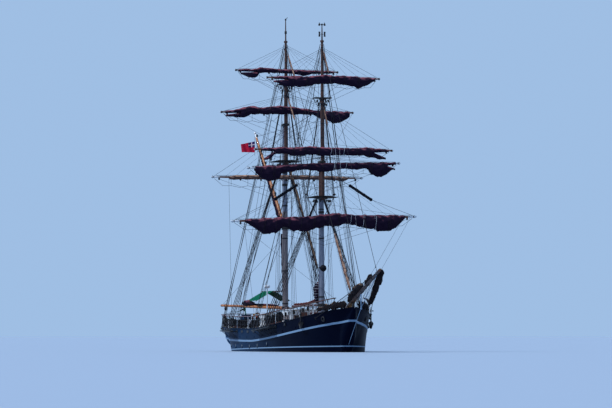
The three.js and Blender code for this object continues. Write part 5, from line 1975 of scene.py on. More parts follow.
    def folds(self, y: float, top: float, bottom: float) -> list[Vector]:
        """One ring of folded cloth.

        Args:
            y: the place along the yard.
            top: its upper height.
            bottom: its lower height.

        Returns:
            The ring's points.
        """
        tall = (top - bottom) / 2
        deep = min(0.3, 0.15 + tall * 0.25)
        ring = []
        for k in range(30):
            angle = 2 * math.pi * k / 30
            low = max(0.0, -math.sin(angle))
            fold = 0.07 * math.cos(9 * y + 4 * math.sin(angle)) * (0.4 + low)
            fold += 0.08 * low * math.cos(23 * y + 2.2 * math.sin(5 * y) + angle)
            fold += 0.07 * math.cos(5 * angle + 7 * y + 3 * math.sin(1.7 * y))
            fold += 0.05 * math.cos(8 * angle - 3 * y + 2 * math.sin(2.3 * y))
            up = (top + bottom) / 2 + tall * (1 + fold * 0.4) * math.sin(angle)
            ring.append(self.at(deep * 0.55 + deep * (1 + fold) * math.cos(angle), y, up))
        return ring

    def wrap(self, form: Form, y: float, mark: int) -> None:
        """Adds a gasket round the yard and its sail.

        Args:
            form: where it goes.
            y: its place along the yard.
            mark: its finish.
        """
        top, bottom = self.outline(y)
        tall, middle = (top - bottom) / 2, (top + bottom) / 2
        deep = min(0.3, 0.15 + tall * 0.25)
        path = []
        for k in range(21):
            angle = 2 * math.pi * k / 20
            c, s = math.cos(angle), math.sin(angle)
            path.append(
                self.at(
                    deep * 0.55 + (deep * 1.04 + 0.01) * c, y + 0.05 * s, middle + (tall * 1.03 + 0.01) * s
                )
            )
        form.tube(path, 0.01, 5, mark, caps=False)

    def strop(self, height: float) -> Vector:
        """The block ahead of the mast, at a height, that a line of the yard runs to."""
        return self.mast.at(DOUBLING + self.ahead * 0.8, 0, height)

    def gear(self) -> None:
        """Lifts, footropes, clew lines, sheets and buntlines, with the strops that they run to."""
        form = Form()
        half = self.half
        ends = [self.lift_to]
        for _, side in SIDES:
            self.lift(form, side)
            self.ropes_under(form, side)
            for share in (0.35, 0.62, 0.9):
                y = side * half * share
                r, height = self.spar_radius(y), self.z - self.reach * (0.95 + share)
                form.ball(self.at(0.04, y, -r - 0.07), 0.07, 1, 8, 1.4)
                form.line(self.at(0.05, y, -r - 0.1), self.strop(height), 0.009, 0)
                ends.append(height)
            form.line(self.at(0.1, side * half * 0.93, 0.05), self.at(0.1, side * 0.3, 0.02), 0.012, 0)
            for y in steps(0.4, half * 0.8, 0.75):
                height = min(self.z + 1.3 + 0.5 * y, self.lift_to - 0.1)
                form.line(self.at(-0.1, side * y, 0.1), self.strop(height), 0.006, 0)
                ends.append(height)
            form.ball(self.at(-0.02, side * half * 0.985, 0.0), 0.07, 1, 8, 1.3)
        for z in sorted(set(ends)):
            form.line(self.mast.at(DOUBLING, 0, z), self.strop(z), 0.018, 1, 6)
        for y in self.pale:
            form.line(self.at(0.36, y, 0.12), self.at(0.4, y + 0.06, -1.0), 0.008, 3)
        form.made(f"{self.name}_gear", [RUNNING, BLACK_IRON, TARPAULIN, BRAID], self.body, 40)

    def lift(self, form: Form, side: int) -> None:
        """Adds the lift of one yardarm, with its sleeve where it has one.

        Args:
            form: where it goes.
            side: 1 for port and -1 for starboard.
        """
        top, arm = self.strop(self.lift_to), self.at(0, side * self.half * 0.97, self.tip)
        if self.sleeves:
            near, far = [self.mast.at(DOUBLING + self.ahead * 0.5, side * y, z) for y, z in self.sleeves]
            form.tube([top, near, far, arm], 0.012, 5, 0)
            form.tube([near, near.lerp(far, 0.03), near.lerp(far, 0.97), far], [0.07, 0.1, 0.1, 0.07], 10, 2)
            for point in (near, near.lerp(far, 0.33), near.lerp(far, 0.66), far):
                form.ball(point, 0.12, 2, 10)
        elif self.lifts:
            form.line(arm, top, 0.01, 0, 5)

    def ropes_under(self, form: Form, side: int) -> None:
        """Adds the footrope of one side with its stirrups.

        Args:
            form: where it goes.
            side: 1 for port and -1 for starboard.
        """
        drops = [side * y for y in steps(0.45, self.half - 0.25, (self.half - 0.7) / 4)]
        last = len(drops) - 1
        path = []
        for n, y in enumerate(drops):
            if 0 < n < last:
                form.line(self.at(-0.06, y, 0), self.at(-0.12, y, -self.footrope), 0.01, 0)
            path.append(self.at(-0.12, y, -0.1 if n in (0, last) else -self.footrope))
            if n < last:
                sag = 0.12 if 0 < n < last - 1 else 0.0
                path.append(self.at(-0.14, (y + drops[n + 1]) / 2, -self.footrope - sag))
        form.tube(path, 0.012, 5, 0)

    def brace(self, to: Vector, name: str, side: int, share: float = 0.985) -> None:
        """Makes a rope from one yardarm to a fixed block.

        Args:
            to: where its block is.
            name: the piece's name.
            side: 1 for port and -1 for starboard.
            share: how far out on the yard it starts.
        """
        form = Form()
        start = self.at(-0.03, side * self.length / 2 * share, -0.02)
        path = [start.lerp(to, t) - Vector((0, 0, 0.25 * t * (1 - t))) for t in (i / 16 for i in range(17))]
        form.tube(path, 0.009, 5)
        rope = form.made(name, [RUNNING], self.body, 40, ride=False)
        self.body
        tuple(start)
        tuple(to)
        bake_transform(rope)


# The furled sails' outlines along their yards. Columns: across (to port), top and bottom from the centreline
FORE_COURSE = (
    (-5.69, 0.09, -0.12), (-5.18, 0.12, -0.43), (-4.67, 0.14, -0.8), (-4.17, 0.15, -0.97),
    (-3.44, 0.17, -0.88), (-2.99, 0.175, -0.5), (-2.14, 0.18, -0.82), (-1.41, 0.19, -0.84),
    (-0.62, 0.25, -0.68), (0.0, 0.32, -0.52), (0.83, 0.37, -0.56), (1.63, 0.29, -0.39), (2.43, 0.22, -0.6),
    (3.44, 0.18, -0.83), (4.46, 0.16, -1.0), (4.96, 0.14, -0.86), (5.47, 0.12, -0.5), (5.83, 0.09, -0.13)
)
FORE_LOWER_TOPSAIL = (
    (-4.96, 0.08, -0.34), (-4.53, 0.1, -0.76), (-4.02, 0.11, -0.96), (-3.3, 0.12, -0.86),
    (-3.05, 0.125, -0.42), (-2.28, 0.14, -0.37), (-1.7, 0.16, -0.25), (-0.9, 0.185, -0.3),
    (-0.18, 0.18, -0.44), (0.62, 0.165, -0.38), (1.34, 0.15, -0.27), (2.36, 0.13, -0.35),
    (3.05, 0.12, -0.31), (3.5, 0.11, -0.8), (3.88, 0.105, -0.93), (4.38, 0.095, -0.81), (4.9, 0.085, -0.48),
    (5.18, 0.075, -0.18)
)
FORE_UPPER_TOPSAIL = (
    (-4.5, 0.08, -0.5), (-4.25, 0.095, -0.72), (-3.88, 0.11, -0.6), (-3.48, 0.14, -0.33),
    (-2.97, 0.17, -0.28), (-2.25, 0.15, -0.43), (-1.67, 0.2, -0.44), (-1.0, 0.25, -0.33),
    (-0.14, 0.18, -0.42), (0.87, 0.165, -0.37), (1.9, 0.13, -0.37), (2.9, 0.2, -0.4), (3.4, 0.19, -0.51),
    (4.06, 0.11, -0.61), (4.4, 0.09, -0.58), (4.68, 0.075, -0.16)
)
FORE_TOPGALLANT = (
    (-3.62, 0.06, -0.11), (-3.45, 0.07, -0.33), (-2.97, 0.08, -0.56), (-2.2, 0.11, -0.65), (-1.3, 0.1, -0.62),
    (-0.65, 0.14, -0.46), (0.0, 0.23, -0.41), (0.87, 0.175, -0.39), (1.67, 0.18, -0.51), (2.28, 0.15, -0.59),
    (2.54, 0.12, -0.72), (2.9, 0.09, -0.58), (3.3, 0.075, -0.37), (3.7, 0.06, -0.17),
)
MAIN_LOWER = (
    (-4.35, 0.07, -0.18), (-4.0, 0.1, -0.19), (-3.37, 0.14, -0.17), (-1.7, 0.145, -0.16), (0.0, 0.155, -0.15),
    (1.87, 0.14, -0.15), (3.37, 0.12, -0.16), (4.04, 0.09, -0.25), (4.48, 0.07, -0.13),
)
MAIN_TOPSAIL = (
    (-4.62, 0.07, -0.33), (-3.78, 0.2, -0.39), (-3.18, 0.37, -0.4), (-2.73, 0.44, -0.17), (-1.9, 0.33, -0.16),
    (-0.86, 0.46, -0.15), (0.1, 0.42, -0.15), (0.94, 0.32, -0.16), (1.83, 0.2, -0.17), (2.32, 0.13, -0.4),
    (3.03, 0.1, -0.6), (3.56, 0.09, -0.79), (4.08, 0.08, -0.66), (4.64, 0.065, -0.33),
)
MAIN_TOPGALLANT = (
    (-3.64, 0.055, -0.11), (-3.15, 0.07, -0.52), (-2.73, 0.09, -0.6), (-2.28, 0.13, -0.48),
    (-2.06, 0.21, -0.21), (-1.46, 0.2, -0.15), (-0.5, 0.11, -0.17), (0.34, 0.11, -0.19), (0.94, 0.1, -0.27),
    (1.39, 0.095, -0.32), (1.9, 0.085, -0.17), (2.85, 0.075, -0.14), (3.45, 0.055, -0.1)
)


def yards() -> list[Yard]:
    """The seven yards, from the fore course up and then the main mast's.

    Returns:
        The yards, each with its sizes.
    """
    truss, collar = Hold.TRUSS, Hold.COLLAR
    return [
        Yard(
            "fore_course", FORE, 13.4, 9.33, 0.145, 0.06, 0.38, 1.7, truss, 12.9, FORE_COURSE,
            pale=(2.2, 2.9, 3.6), white_ends=True, sleeves=((1.95, 11.68), (3.46, 10.72))
        ),
        Yard(
            "fore_lower_topsail", FORE, 11.1, 13.08, 0.125, 0.05, 0.4, 2.2, collar, 13.8,
            FORE_LOWER_TOPSAIL, pale=(0.7, 1.1), tails=((4.55, -0.14, 5.12, -0.36, -0.48),),
            white_ends=True, lifts=False
        ),
        Yard(
            "fore_upper_topsail", FORE, 10.05, 14.18, 0.115, 0.048, 0.39, 0.0, collar, 17.2,
            FORE_UPPER_TOPSAIL, pale=(0.75, 1.05),
            tails=((-3.6, -0.14, -4.3, -0.6, -0.74), (3.6, -0.16, 4.45, -0.5, -0.63)), footrope=0.42,
            reach=0.36
        ),
        Yard(
            "fore_topgallant", FORE, 8.25, 19.25, 0.095, 0.042, 0.33, 0.0, collar, 21.4, FORE_TOPGALLANT,
            tails=((-2.6, -0.13, -3.6, -0.22, -0.36),)
        ),
        Yard(
            "main_lower", MAIN, 11.35, 12.64, 0.12, 0.05, 0.38, 0.0, truss, 16.3, MAIN_LOWER,
            cloth=PALE_CANVAS, white_ends=True
        ),
        Yard(
            "main_topsail", MAIN, 10.0, 17.4, 0.115, 0.048, 0.39, 0.3, collar, 18.7, MAIN_TOPSAIL,
            tails=((-3.5, -0.06, -4.6, -0.2, -0.33),)
        ),
        Yard(
            "main_topgallant", MAIN, 7.75, 20.42, 0.09, 0.04, 0.33, -0.5, collar, 22.3, MAIN_TOPGALLANT,
            tails=((-2.25, -0.12, -3.45, -0.18, -0.32),)
        )
    ]


# Where each yard's braces lead, on the port side: a point in a mast's frame, or in the ship's
BRACE_BLOCKS = {
    "fore_course": (MAIN, (0.15, 0.3, 11.2)),
    "fore_lower_topsail": (MAIN, (0.15, 0.28, 14.3)),
    "fore_upper_topsail": (MAIN, (DOUBLING, 0.2, 15.6)),
    "fore_topgallant": (MAIN, (DOUBLING - 0.1, 0.15, 19.1)),
    "main_lower": (None, (-7.7, 3.3, 2.73)),
    "main_topsail": (FORE, (-0.2, 0.2, 13.2)),
    "main_topgallant": (FORE, (DOUBLING - 0.1, 0.12, 17.3)),
}


def brace_all(rig: Sequence[Yard]) -> None:
    """Braces every yard, and gives the fore course its tacks and sheets.

    Args:
        rig: the yards, the fore course first.
    """
    for yard in rig:
        mast, (x, y, z) = BRACE_BLOCKS[yard.name]
        share = 0.77 if yard.name == "main_lower" else 0.985
        for word, side in SIDES:
            to = mast.at(x, side * y, z) if mast else Vector((x, side * y, z))
            yard.brace(to, f"{yard.name}_brace_{word}", side, share)
    course = rig[0]
    for word, side in SIDES:
        course.brace(Vector((14.6, side * 1.05, sheer(14.6) + 0.76)), f"fore_course_tack_{word}", side, 0.94)
        course.brace(Vector((0.2, side * 3.4, sheer(0.2) + 0.85)), f"fore_course_sheet_{word}", side, 0.86)


# Cloth stowed along a spar, a stay or the bowsprit


def in_ship(x: float, y: float, z: float) -> Vector:
    """A point that is given in the ship's own frame."""
    return Vector((x, y, z))


def stowed(
    form: Form, rows: Sequence[Sequence[float]], place: Callable[[float, float, float], Vector],
    mark: int = 0, lashed: int = 1, gap: float = 0.8, seed: float = 0.0
) -> None:
    """Adds a bundle of folded cloth along a path, with its lashings.

    Args:
        form: where it goes.
        rows: the path. Columns: x, y, z, half-width and half-height.
        place: turns the path's x, y and z into a point of the ship.
        mark: the cloth's finish.
        lashed: the lashings' finish.
        gap: how far apart the lashings are.
        seed: shifts the folds.
    """
    middles = [place(*row[:3]) for row in rows]
    along = [0.0]
    for a, b in zip(middles, middles[1:]):
        along.append(along[-1] + (b - a).length)
    table = [(s, *m, row[3], row[4]) for s, m, row in zip(along, middles, rows)]
    whole = along[-1]

    def middle(s: float) -> list[float]:
        """The bundle's middle at a distance along it."""
        return [eased(table, s, c) for c in (1, 2, 3)]

    def ring(s: float, grow: float, around: int, folds: float) -> list[Vector]:
        """One ring of the bundle.

        Args:
            s: the distance along it.
            grow: how far outside the cloth.
            around: how many points it has.
            folds: how much of the folds it follows.

        Returns:
            The ring's points.
        """
        at, before, after = Vector(middle(s)), middle(max(s - 0.02, 0)), middle(min(s + 0.02, whole))
        ahead = Vector([b - a for a, b in zip(before, after)]).normalized()
        side = ahead.cross(Y_AXIS if abs(ahead.z) > 0.95 else Z_AXIS).normalized()
        up = side.cross(ahead)
        wide, tall = eased(table, s, 4) + grow, eased(table, s, 5) + grow
        nip = 1 - 0.16 * (1 - abs(math.sin(math.pi * s / gap))) ** 2
        points = []
        for k in range(around):
            angle = 2 * math.pi * k / around
            fold = math.cos(4 * angle + 5 * s + seed) * 0.09 + math.cos(7 * angle - 9 * s + seed) * 0.05
            fold = 1 + folds * (fold + 0.07 * math.cos(13 * s + 2 * angle))
            cos, sin = math.cos(angle), math.sin(angle)
            points.append(at + side * (wide * nip * fold * cos) + up * (tall * nip * fold * sin))
        return points

    form.rings([ring(s, 0, 22, 1) for s in steps(0, whole, 0.07)], mark=mark)
    for s in steps(gap, whole - gap * 0.6, gap):
        loop = ring(s, 0.012, 18, 0.3)
        form.tube([*loop, loop[0]], 0.012, 5, lashed, caps=False)


# Booms and gaff


@dataclass(frozen=True)
class AftSpar:
    """A boom or gaff that runs aft from its mast."""

    name: str
    mast: MastLine
    z: float
    length: float
    rise: float
    swing: float
    radius: float
    tip: float

    def at(self, out: float, across: float, up: float) -> Vector:
        """A point of the ship from one beside the mast.

        Args:
            out: how far aft, in the swung spar's plan.
            across: how far to port of the spar.
            up: how far over its heel.

        Returns:
            The point.
        """
        c, s = math.cos(math.radians(self.swing)), math.sin(math.radians(self.swing))
        return self.mast.at(-out * c - across * s, -out * s + across * c, self.z + up)

    def along(self, far: float, under: float = 0.0, across: float = 0.0) -> Vector:
        """A point at a distance along the spar, and under it."""
        c, s = math.cos(math.radians(self.rise)), math.sin(math.radians(self.rise))
        return self.at(far * c + under * s, across, far * s - under * c)

    def beside(self, far: float, across: float, over: float) -> Vector:
        """A point at a distance along the spar, to port of it and over it."""
        return self.along(far, -over, across)

    def peak(self, up: float) -> tuple[float, float]:
        """How far aft the spar's end is, just clear of it, and that far over it."""
        rise = math.radians(self.rise)
        return self.length * math.cos(rise) + 0.01, self.length * math.sin(rise) + up

    @property
    def axis(self) -> Vector:
        """The direction in which the spar runs."""
        return (self.along(1) - self.along(0)).normalized()

    def swell(self, far: float, start: float) -> float:
        """The spar's radius at a distance along it."""
        return self.radius + (self.tip - self.radius) * (far - start) / (self.length - start)

    def spar(self, form: Form, wood: int, iron: int, tip: int) -> None:
        """Adds the spar with its jaws, bands and painted end.

        Args:
            form: where it goes.
            wood: the finish of the spar.
            iron: the finish of its bands.
            tip: the finish of its end.
        """
        shaft, end = self.mast.lower_radius(self.z - 0.1), self.length
        start = (shaft + 0.13) / math.cos(math.radians(self.rise))
        places = steps(start, end, 0.4)
        form.tube([self.along(s) for s in places], [self.swell(s, start) for s in places], 16, wood)
        for s in steps(start + 0.5, end - 0.15, 1.9):
            form.hoop(self.along(s), self.swell(s, start) + 0.003, 0.013, self.axis, 16, iron, 2.2)
        form.tube([self.along(end - 0.5), self.along(end)], [self.tip + 0.004, self.tip + 0.002], 16, tip)
        form.ball(self.along(end), self.tip * 0.95, tip, 12)
        collar = [
            (shaft + 0.002, self.z - 0.09), (shaft + 0.055, self.z - 0.08), (shaft + 0.06, self.z + 0.08),
            (shaft + 0.002, self.z + 0.09)
        ]
        form.turned(self.mast.at(0, 0, 0), collar, 28, iron, self.mast.axis)
        turn = Matrix.Rotation(-MAST_RAKE, 3, "Y") @ Matrix.Rotation(math.radians(self.swing), 3, "Z")
        tall = max(0.08, start * math.sin(math.radians(self.rise)) + 0.06)
        form.block(self.at(shaft + 0.18, 0, (tall - 0.08) / 2), (0.3, 0.13, tall + 0.08), iron, 0.02, turn)


BOOM = AftSpar("main_boom", MAIN, 3.16, 11.7, 2.2, 11, 0.12, 0.085)
GAFF = AftSpar("gaff", MAIN, 8.98, 9.4, 51.5, 9, 0.125, 0.07)
FORE_BOOM = AftSpar("fore_boom", FORE, 3.3, 8.9, 0.8, 0, 0.095, 0.065)


@dataclass
class Booms:
    """The booms, the gaff and the sails and flag on them."""

    hoist: float = 0.82
    fly: float = 1.12
    toward: float = math.radians(62)
    span: float = 1.05
    cells: tuple[int, int] = (30, 22)
    ripple: float = 0.034

    def build(self) -> None:
        """Makes them all."""
        self.main()
        self.fore()
        self.gaff()
        self.spanker()
        self.ensign()

    def main(self) -> None:
        """The main boom with the furled sail's foot, its sheet blocks and its topping lift."""
        form = Form()
        BOOM.spar(form, 0, 1, 0)
        for s in (7.4, 10.9):
            form.ball(BOOM.along(s, 0.22), 0.11, 1, 10, 1.4)
            form.hoop(BOOM.along(s), 0.125, 0.02, BOOM.axis, 14, 1)
        for shift in (-0.05, 0.05):
            form.line(BOOM.along(7.4, 0.3, shift), BOOM.along(7.4, 1.5, shift * 4), 0.013, 3)
        foot = [(1.4, 0, 0.16, 0.06, 0.05), (3.0, 0, 0.18, 0.08, 0.07), (5.6, 0, 0.17, 0.06, 0.06)]
        heap = [(5.5, 0, 0.17, 0.07, 0.06), (6.1, 0, 0.24, 0.2, 0.17), (6.9, 0, 0.26, 0.24, 0.22),
                (7.6, 0, 0.2, 0.12, 0.1)]
        for rows in (foot, heap):
            stowed(form, rows, BOOM.beside, 2, 3, 0.5, 2.0)
        form.line(BOOM.along(11.4, -0.1), MAIN.at(-0.25, -0.1, 8.3), 0.012, 3)
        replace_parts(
            form.made("main_boom_dressed", [VARNISH, BLACK_IRON, TANNED, TARRED], "main_boom", 42),
            "main_boom"
        )

    def fore(self) -> None:
        """The fore boom, and the trysail brailed in to its mast with its foot along the boom."""
        form = Form()
        FORE_BOOM.spar(form, 0, 1, 0)
        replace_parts(form.made("fore_boom_dressed", [MAHOGANY, BLACK_IRON], "fore_boom", 42), "fore_boom")
        sail = Form()
        mast = [
            (0.45, -0.1, 0.105, 0.2, 0.17), (0.45, -0.16, 0.5, 0.24, 0.26), (0.43, -0.18, 1.1, 0.27, 0.28),
            (0.42, -0.14, 1.45, 0.2, 0.2), (0.42, -0.08, 1.6, 0.11, 0.11)
        ]
        foot = [(0.52, 0, 0.7, 0.06, 0.19), (1.3, 0, 0.48, 0.05, 0.15), (2.7, 0, 0.29, 0.045, 0.11),
                (4.4, 0, 0.225, 0.04, 0.08), (6.4, 0, 0.22, 0.04, 0.07), (8.3, 0, 0.245, 0.035, 0.06)]
        stowed(sail, mast, FORE_BOOM.at, 0, 1, 0.17, 1.0)
        stowed(sail, foot, FORE_BOOM.at, 2, 2, 0.85, 3.0)
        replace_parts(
            sail.made("fore_trysail_dressed", [TANNED, BRAID, RED_CANVAS], "fore_boom", 50),
            "fore_trysail_furled"
        )

    def gaff(self) -> None:
        """The gaff with its halyard blocks, its vangs and the ensign's halyard."""
        form = Form()
        GAFF.spar(form, 0, 1, 2)
        out, up = GAFF.peak(-0.02)
        top = GAFF.at(out, 0, up)
        form.line(top, top - Vector((0, 0, 1.7)), 0.01, 3, 6)
        for s in (3.2, 6.2, 8.9):
            form.line(GAFF.along(s, -0.1), MAIN.at(0.0, 0, MAIN.cap - 0.35), 0.012, 3, 5)
            form.ball(GAFF.along(s, -0.2), 0.08, 1, 8, 1.4)
        for side in (-1, 1):
            form.line(GAFF.along(GAFF.length), GAFF.along(5.2, 0.5, side * 0.35), 0.009, 3)
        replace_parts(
            form.made("gaff_dressed", [VARNISH, BLACK_IRON, WHITE_ENAMEL, RUNNING], "gaff", 42), "gaff"
        )

    def spanker(self) -> None:
        """The spanker, brailed up under the gaff and in to the mast."""
        form = Form()
        head = [(0.75, 0, -0.21, 0.13, 0.13), (1.3, 0, -0.235, 0.2, 0.21), (2.4, 0, -0.225, 0.18, 0.19),
                (3.6, 0, -0.215, 0.15, 0.17), (4.8, 0, -0.195, 0.13, 0.145), (6.0, 0, -0.17, 0.11, 0.12),
                (7.4, 0, -0.14, 0.08, 0.09), (8.6, 0, -0.115, 0.05, 0.055)]
        luff = [(0.62, 0, -0.4, 0.07, 0.09), (0.5, 0, -1.2, 0.1, 0.12), (0.42, 0, -2.3, 0.11, 0.12),
                (0.4, 0, -3.4, 0.09, 0.1), (0.4, 0, -4.3, 0.05, 0.05)]
        stowed(form, head, GAFF.beside, 0, 1, 0.75, 0.4)
        stowed(form, luff, GAFF.at, 0, 1, 0.6, 2.2)
        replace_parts(form.made("spanker_dressed", [TANNED, TARRED], "gaff", 50), "spanker_furled")

    def ensign(self) -> None:
        """The ensign at the peak, its folds hanging from the hoist."""
        form = Form()
        out, top = GAFF.peak(-0.66)
        wide, tall = self.cells
        aft, port = -math.cos(self.toward), -math.sin(self.toward)
        for j in range(tall + 1):
            for i in range(wide + 1):
                u, v = i / wide, j / tall
                ripple = self.ripple * math.sin(2 * math.pi * (2.4 * u + 0.35 * v)) * min(1.0, 3 * u)
                far = self.span * u * (1 - 0.06 * v)
                x, y = aft * far - port * ripple, port * far + aft * ripple
                drop = self.hoist * v * (1 - 0.28 * u) + 0.2 * u
                form.points.append(GAFF.at(out - x - 0.012, y, top - drop))
        for j in range(tall):
            for i in range(wide):
                a = j * (wide + 1) + i
                canton = i < wide * 0.45 and j < tall * 0.5
                bar = canton and (abs(i - wide * 0.22) < 1.1 or abs(j - tall * 0.25) < 1.1)
                places = [(self.fly * (i + di) / wide, self.hoist * (j + dj) / tall) for di, dj in CORNERS]
                mark = 2 if bar else 1 if canton else 0
                form.face((a, a + 1, a + wide + 2, a + wide + 1), places, mark)
        flag = form.made("ensign_dressed", [RED_BUNTING, BLUE_BUNTING, WHITE_BUNTING], "gaff", 180)
        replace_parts(flag, "ensign")


# Bowsprit


@dataclass
class Bowsprit:
    """The bowsprit with its striker, stays, guys, netting and stowed jibs."""

    heel: tuple[float, float] = (13.1, 2.79)
    end: tuple[float, float] = (22.7, 5.48)
    radii: tuple[float, float] = (0.17, 0.09)
    striker: float = 17.8
    guy_end: float = 22.33
    guy_foot: float = 12.6
    bands: tuple[float, ...] = (13.4, 14.6, 15.56, 16.9, 18.1, 19.6, 21.0, 22.1, 22.43)
    net_ends: tuple[float, float] = (0.06, 0.68)
    net_cord: float = 0.007

    def line(self, x: float) -> float:
        """Height of the spar's centreline."""
        return self.heel[1] + (x - self.heel[0]) * (self.end[1] - self.heel[1]) / (self.end[0] - self.heel[0])

    def radius(self, x: float) -> float:
        """The spar's radius."""
        change = (x - self.heel[0]) * (self.radii[1] - self.radii[0])
        return self.radii[0] + change / (self.end[0] - self.heel[0])

    def stay_foot(self, x: float) -> Vector:
        """Where a stay comes down on the spar."""
        return Vector((x, 0, self.line(x) + self.radius(x) * 0.5))

    def on(self, x: float, y: float = 0.0, up: float = 0.0) -> Vector:
        """A point by its height over the spar's centreline."""
        return Vector((x, y, self.line(x) + up))

    def guy(self, side: int, share: float) -> Vector:
        """A point along a guy, from the bowsprit's end to the bow."""
        return self.on(self.guy_end, side * 0.04).lerp(abreast(self.guy_foot, side, 0.01, -0.33), share)

    def build(self) -> None:
        """Makes it all."""
        self.spar()
        self.under()
        for word, side in SIDES:
            self.netting(word, side)
        self.jibs()

    def spar(self) -> None:
        """The spar with its bands, bitts, saddle and treads."""
        form = Form()
        places = steps(self.heel[0], self.end[0], 0.4)
        form.tube([self.on(x) for x in places], [self.radius(x) for x in places], 22)
        axis = (self.on(1) - self.on(0)).normalized()
        for x in self.bands:
            form.hoop(self.on(x), self.radius(x) + 0.005, 0.02, axis, 22, 1, 2.6)
        form.turned(self.on(22.64), ((0.1, 0), (0.105, 0.03), (0.1, 0.1), (0.001, 0.12)), 18, 2, axis)
        for y in (-0.235, 0.235):
            form.block((13.26, y, 2.72), (0.16, 0.14, 0.92), 0, 0.025)
        form.block((13.26, 0, 2.5), (0.2, 0.66, 0.28), 0, 0.02)
        form.block((15.64, 0, 3.08), (0.28, 0.14, 0.72), 1, 0.03)
        for x in steps(16.4, 22.2, 0.32):
            form.block(self.on(x, 0, self.radius(x) + 0.008), (0.05, 0.16, 0.02), 0)
        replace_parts(form.made("bowsprit_dressed", [BROWN_SPRIT, BLACK_IRON, OILED], "hull", 42), "bowsprit")

    def under(self) -> None:
        """The dolphin striker, the bobstay and the martingale."""
        form = Form()
        foot = self.on(self.striker, 0, -self.radius(self.striker) - 1.0)
        form.tube([foot, self.on(self.striker - 0.06)], [0.035, 0.045], 12)
        form.ball(foot, 0.07, 0, 12)
        for end in ((14.08, 0, 0.35), self.on(22.34)):
            form.tube([foot + Vector((0, 0, 0.06)), end], 0.016, 8, 0)
        for y in (-0.08, 0.08):
            form.line(foot + Vector((0, y, 0.1)), self.on(20.3, y), 0.01, 2, 6)
        form.hoop((14.1, 0, 0.36), 0.07, 0.025, Y_AXIS, 12, 1)
        # The white striker, bobstay and martingale take the stripe's enamel, darkened as painted shade
        finishes = [STRIPE_ENAMEL, GALVANISED, TARRED]
        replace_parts(form.made("dolphin_striker_dressed", finishes, "hull", 42), "dolphin_striker")

    def net_edge(self, side: int, share: float) -> Vector:
        """The net's inner edge on the spar, abreast of a point along the guy."""
        x = self.guy(side, share).x
        return self.on(x, side * self.radius(x) * 0.8, -self.radius(x) * 0.4)

    def netting(self, word: str, side: int) -> None:
        """One guy, with the safety net between it and the spar.

        Args:
            word: port or starboard.
            side: 1 for port and -1 for starboard.
        """
        form = Form()
        form.line(self.guy(side, 0), self.guy(side, 1), 0.022, 0, 8)
        form.hoop(self.guy(side, 1), 0.07, 0.03, Vector((0, 1, 0.3)), 12, 0)
        pairs = [(self.net_edge(side, t), self.guy(side, t)) for t in steps(*self.net_ends, 0.021)]

        def hung(a: Vector, b: Vector, share: float) -> Vector:
            """A point of the net between its two edges, sagging under its weight."""
            return a.lerp(b, share) - Vector((0, 0, 0.56 * (a - b).length * share * (1 - share)))

        for a, b in pairs:
            form.tube([hung(a, b, s) for s in (0, 0.25, 0.5, 0.75, 1)], self.net_cord, 4, 1, caps=False)
        for share in (0.2, 0.4, 0.6, 0.8):
            form.tube([hung(a, b, share) for a, b in pairs], self.net_cord, 4, 1, caps=False)
        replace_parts(form.made(f"bowsprit_net_{word}", [TARRED, TARRED], "hull", 50), f"bowsprit_guy_{word}")

    def jibs(self) -> None:
        """The three jibs stowed on the spar and along the port net."""
        rows = {
            "inner_jib": (
                (14.7, -0.06, 0.24, 0.12, 0.11), (15.2, -0.09, 0.33, 0.2, 0.19),
                (15.7, -0.05, 0.36, 0.27, 0.27), (16.2, -0.09, 0.4, 0.2, 0.22),
                (16.8, -0.05, 0.43, 0.3, 0.33), (17.25, -0.04, 0.4, 0.25, 0.26), (17.6, 0, 0.37, 0.24, 0.3),
                (17.95, 0, 0.32, 0.09, 0.11)
            ),
            "middle_jib": (
                (19.0, 0, 0.15, 0.09, 0.09), (19.4, 0, 0.23, 0.17, 0.17), (19.7, 0.02, 0.24, 0.11, 0.13),
                (20.05, 0, 0.27, 0.18, 0.23), (20.45, 0, 0.33, 0.09, 0.13)
            ),
            "outer_jib": (
                (22.25, 0.16, 0.15, 0.09, 0.11), (21.8, 0.3, 0.06, 0.24, 0.33),
                (21.3, 0.36, 0.0, 0.17, 0.24), (20.8, 0.46, -0.08, 0.25, 0.33),
                (20.2, 0.5, -0.12, 0.17, 0.22), (19.6, 0.58, -0.18, 0.21, 0.27),
                (18.0, 0.83, -0.19, 0.17, 0.24), (16.4, 1.06, -0.18, 0.15, 0.21),
                (15.5, 1.16, -0.06, 0.11, 0.15)
            )
        }
        for seed, (name, path) in enumerate(rows.items()):
            form = Form()
            stowed(form, path, self.on, 0, 1, 0.6, seed * 1.7)
            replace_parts(form.made(f"{name}_dressed", [BROWN_CANVAS, TARRED], "hull", 50), f"{name}_furled")


BOWSPRIT = Bowsprit()


# On deck


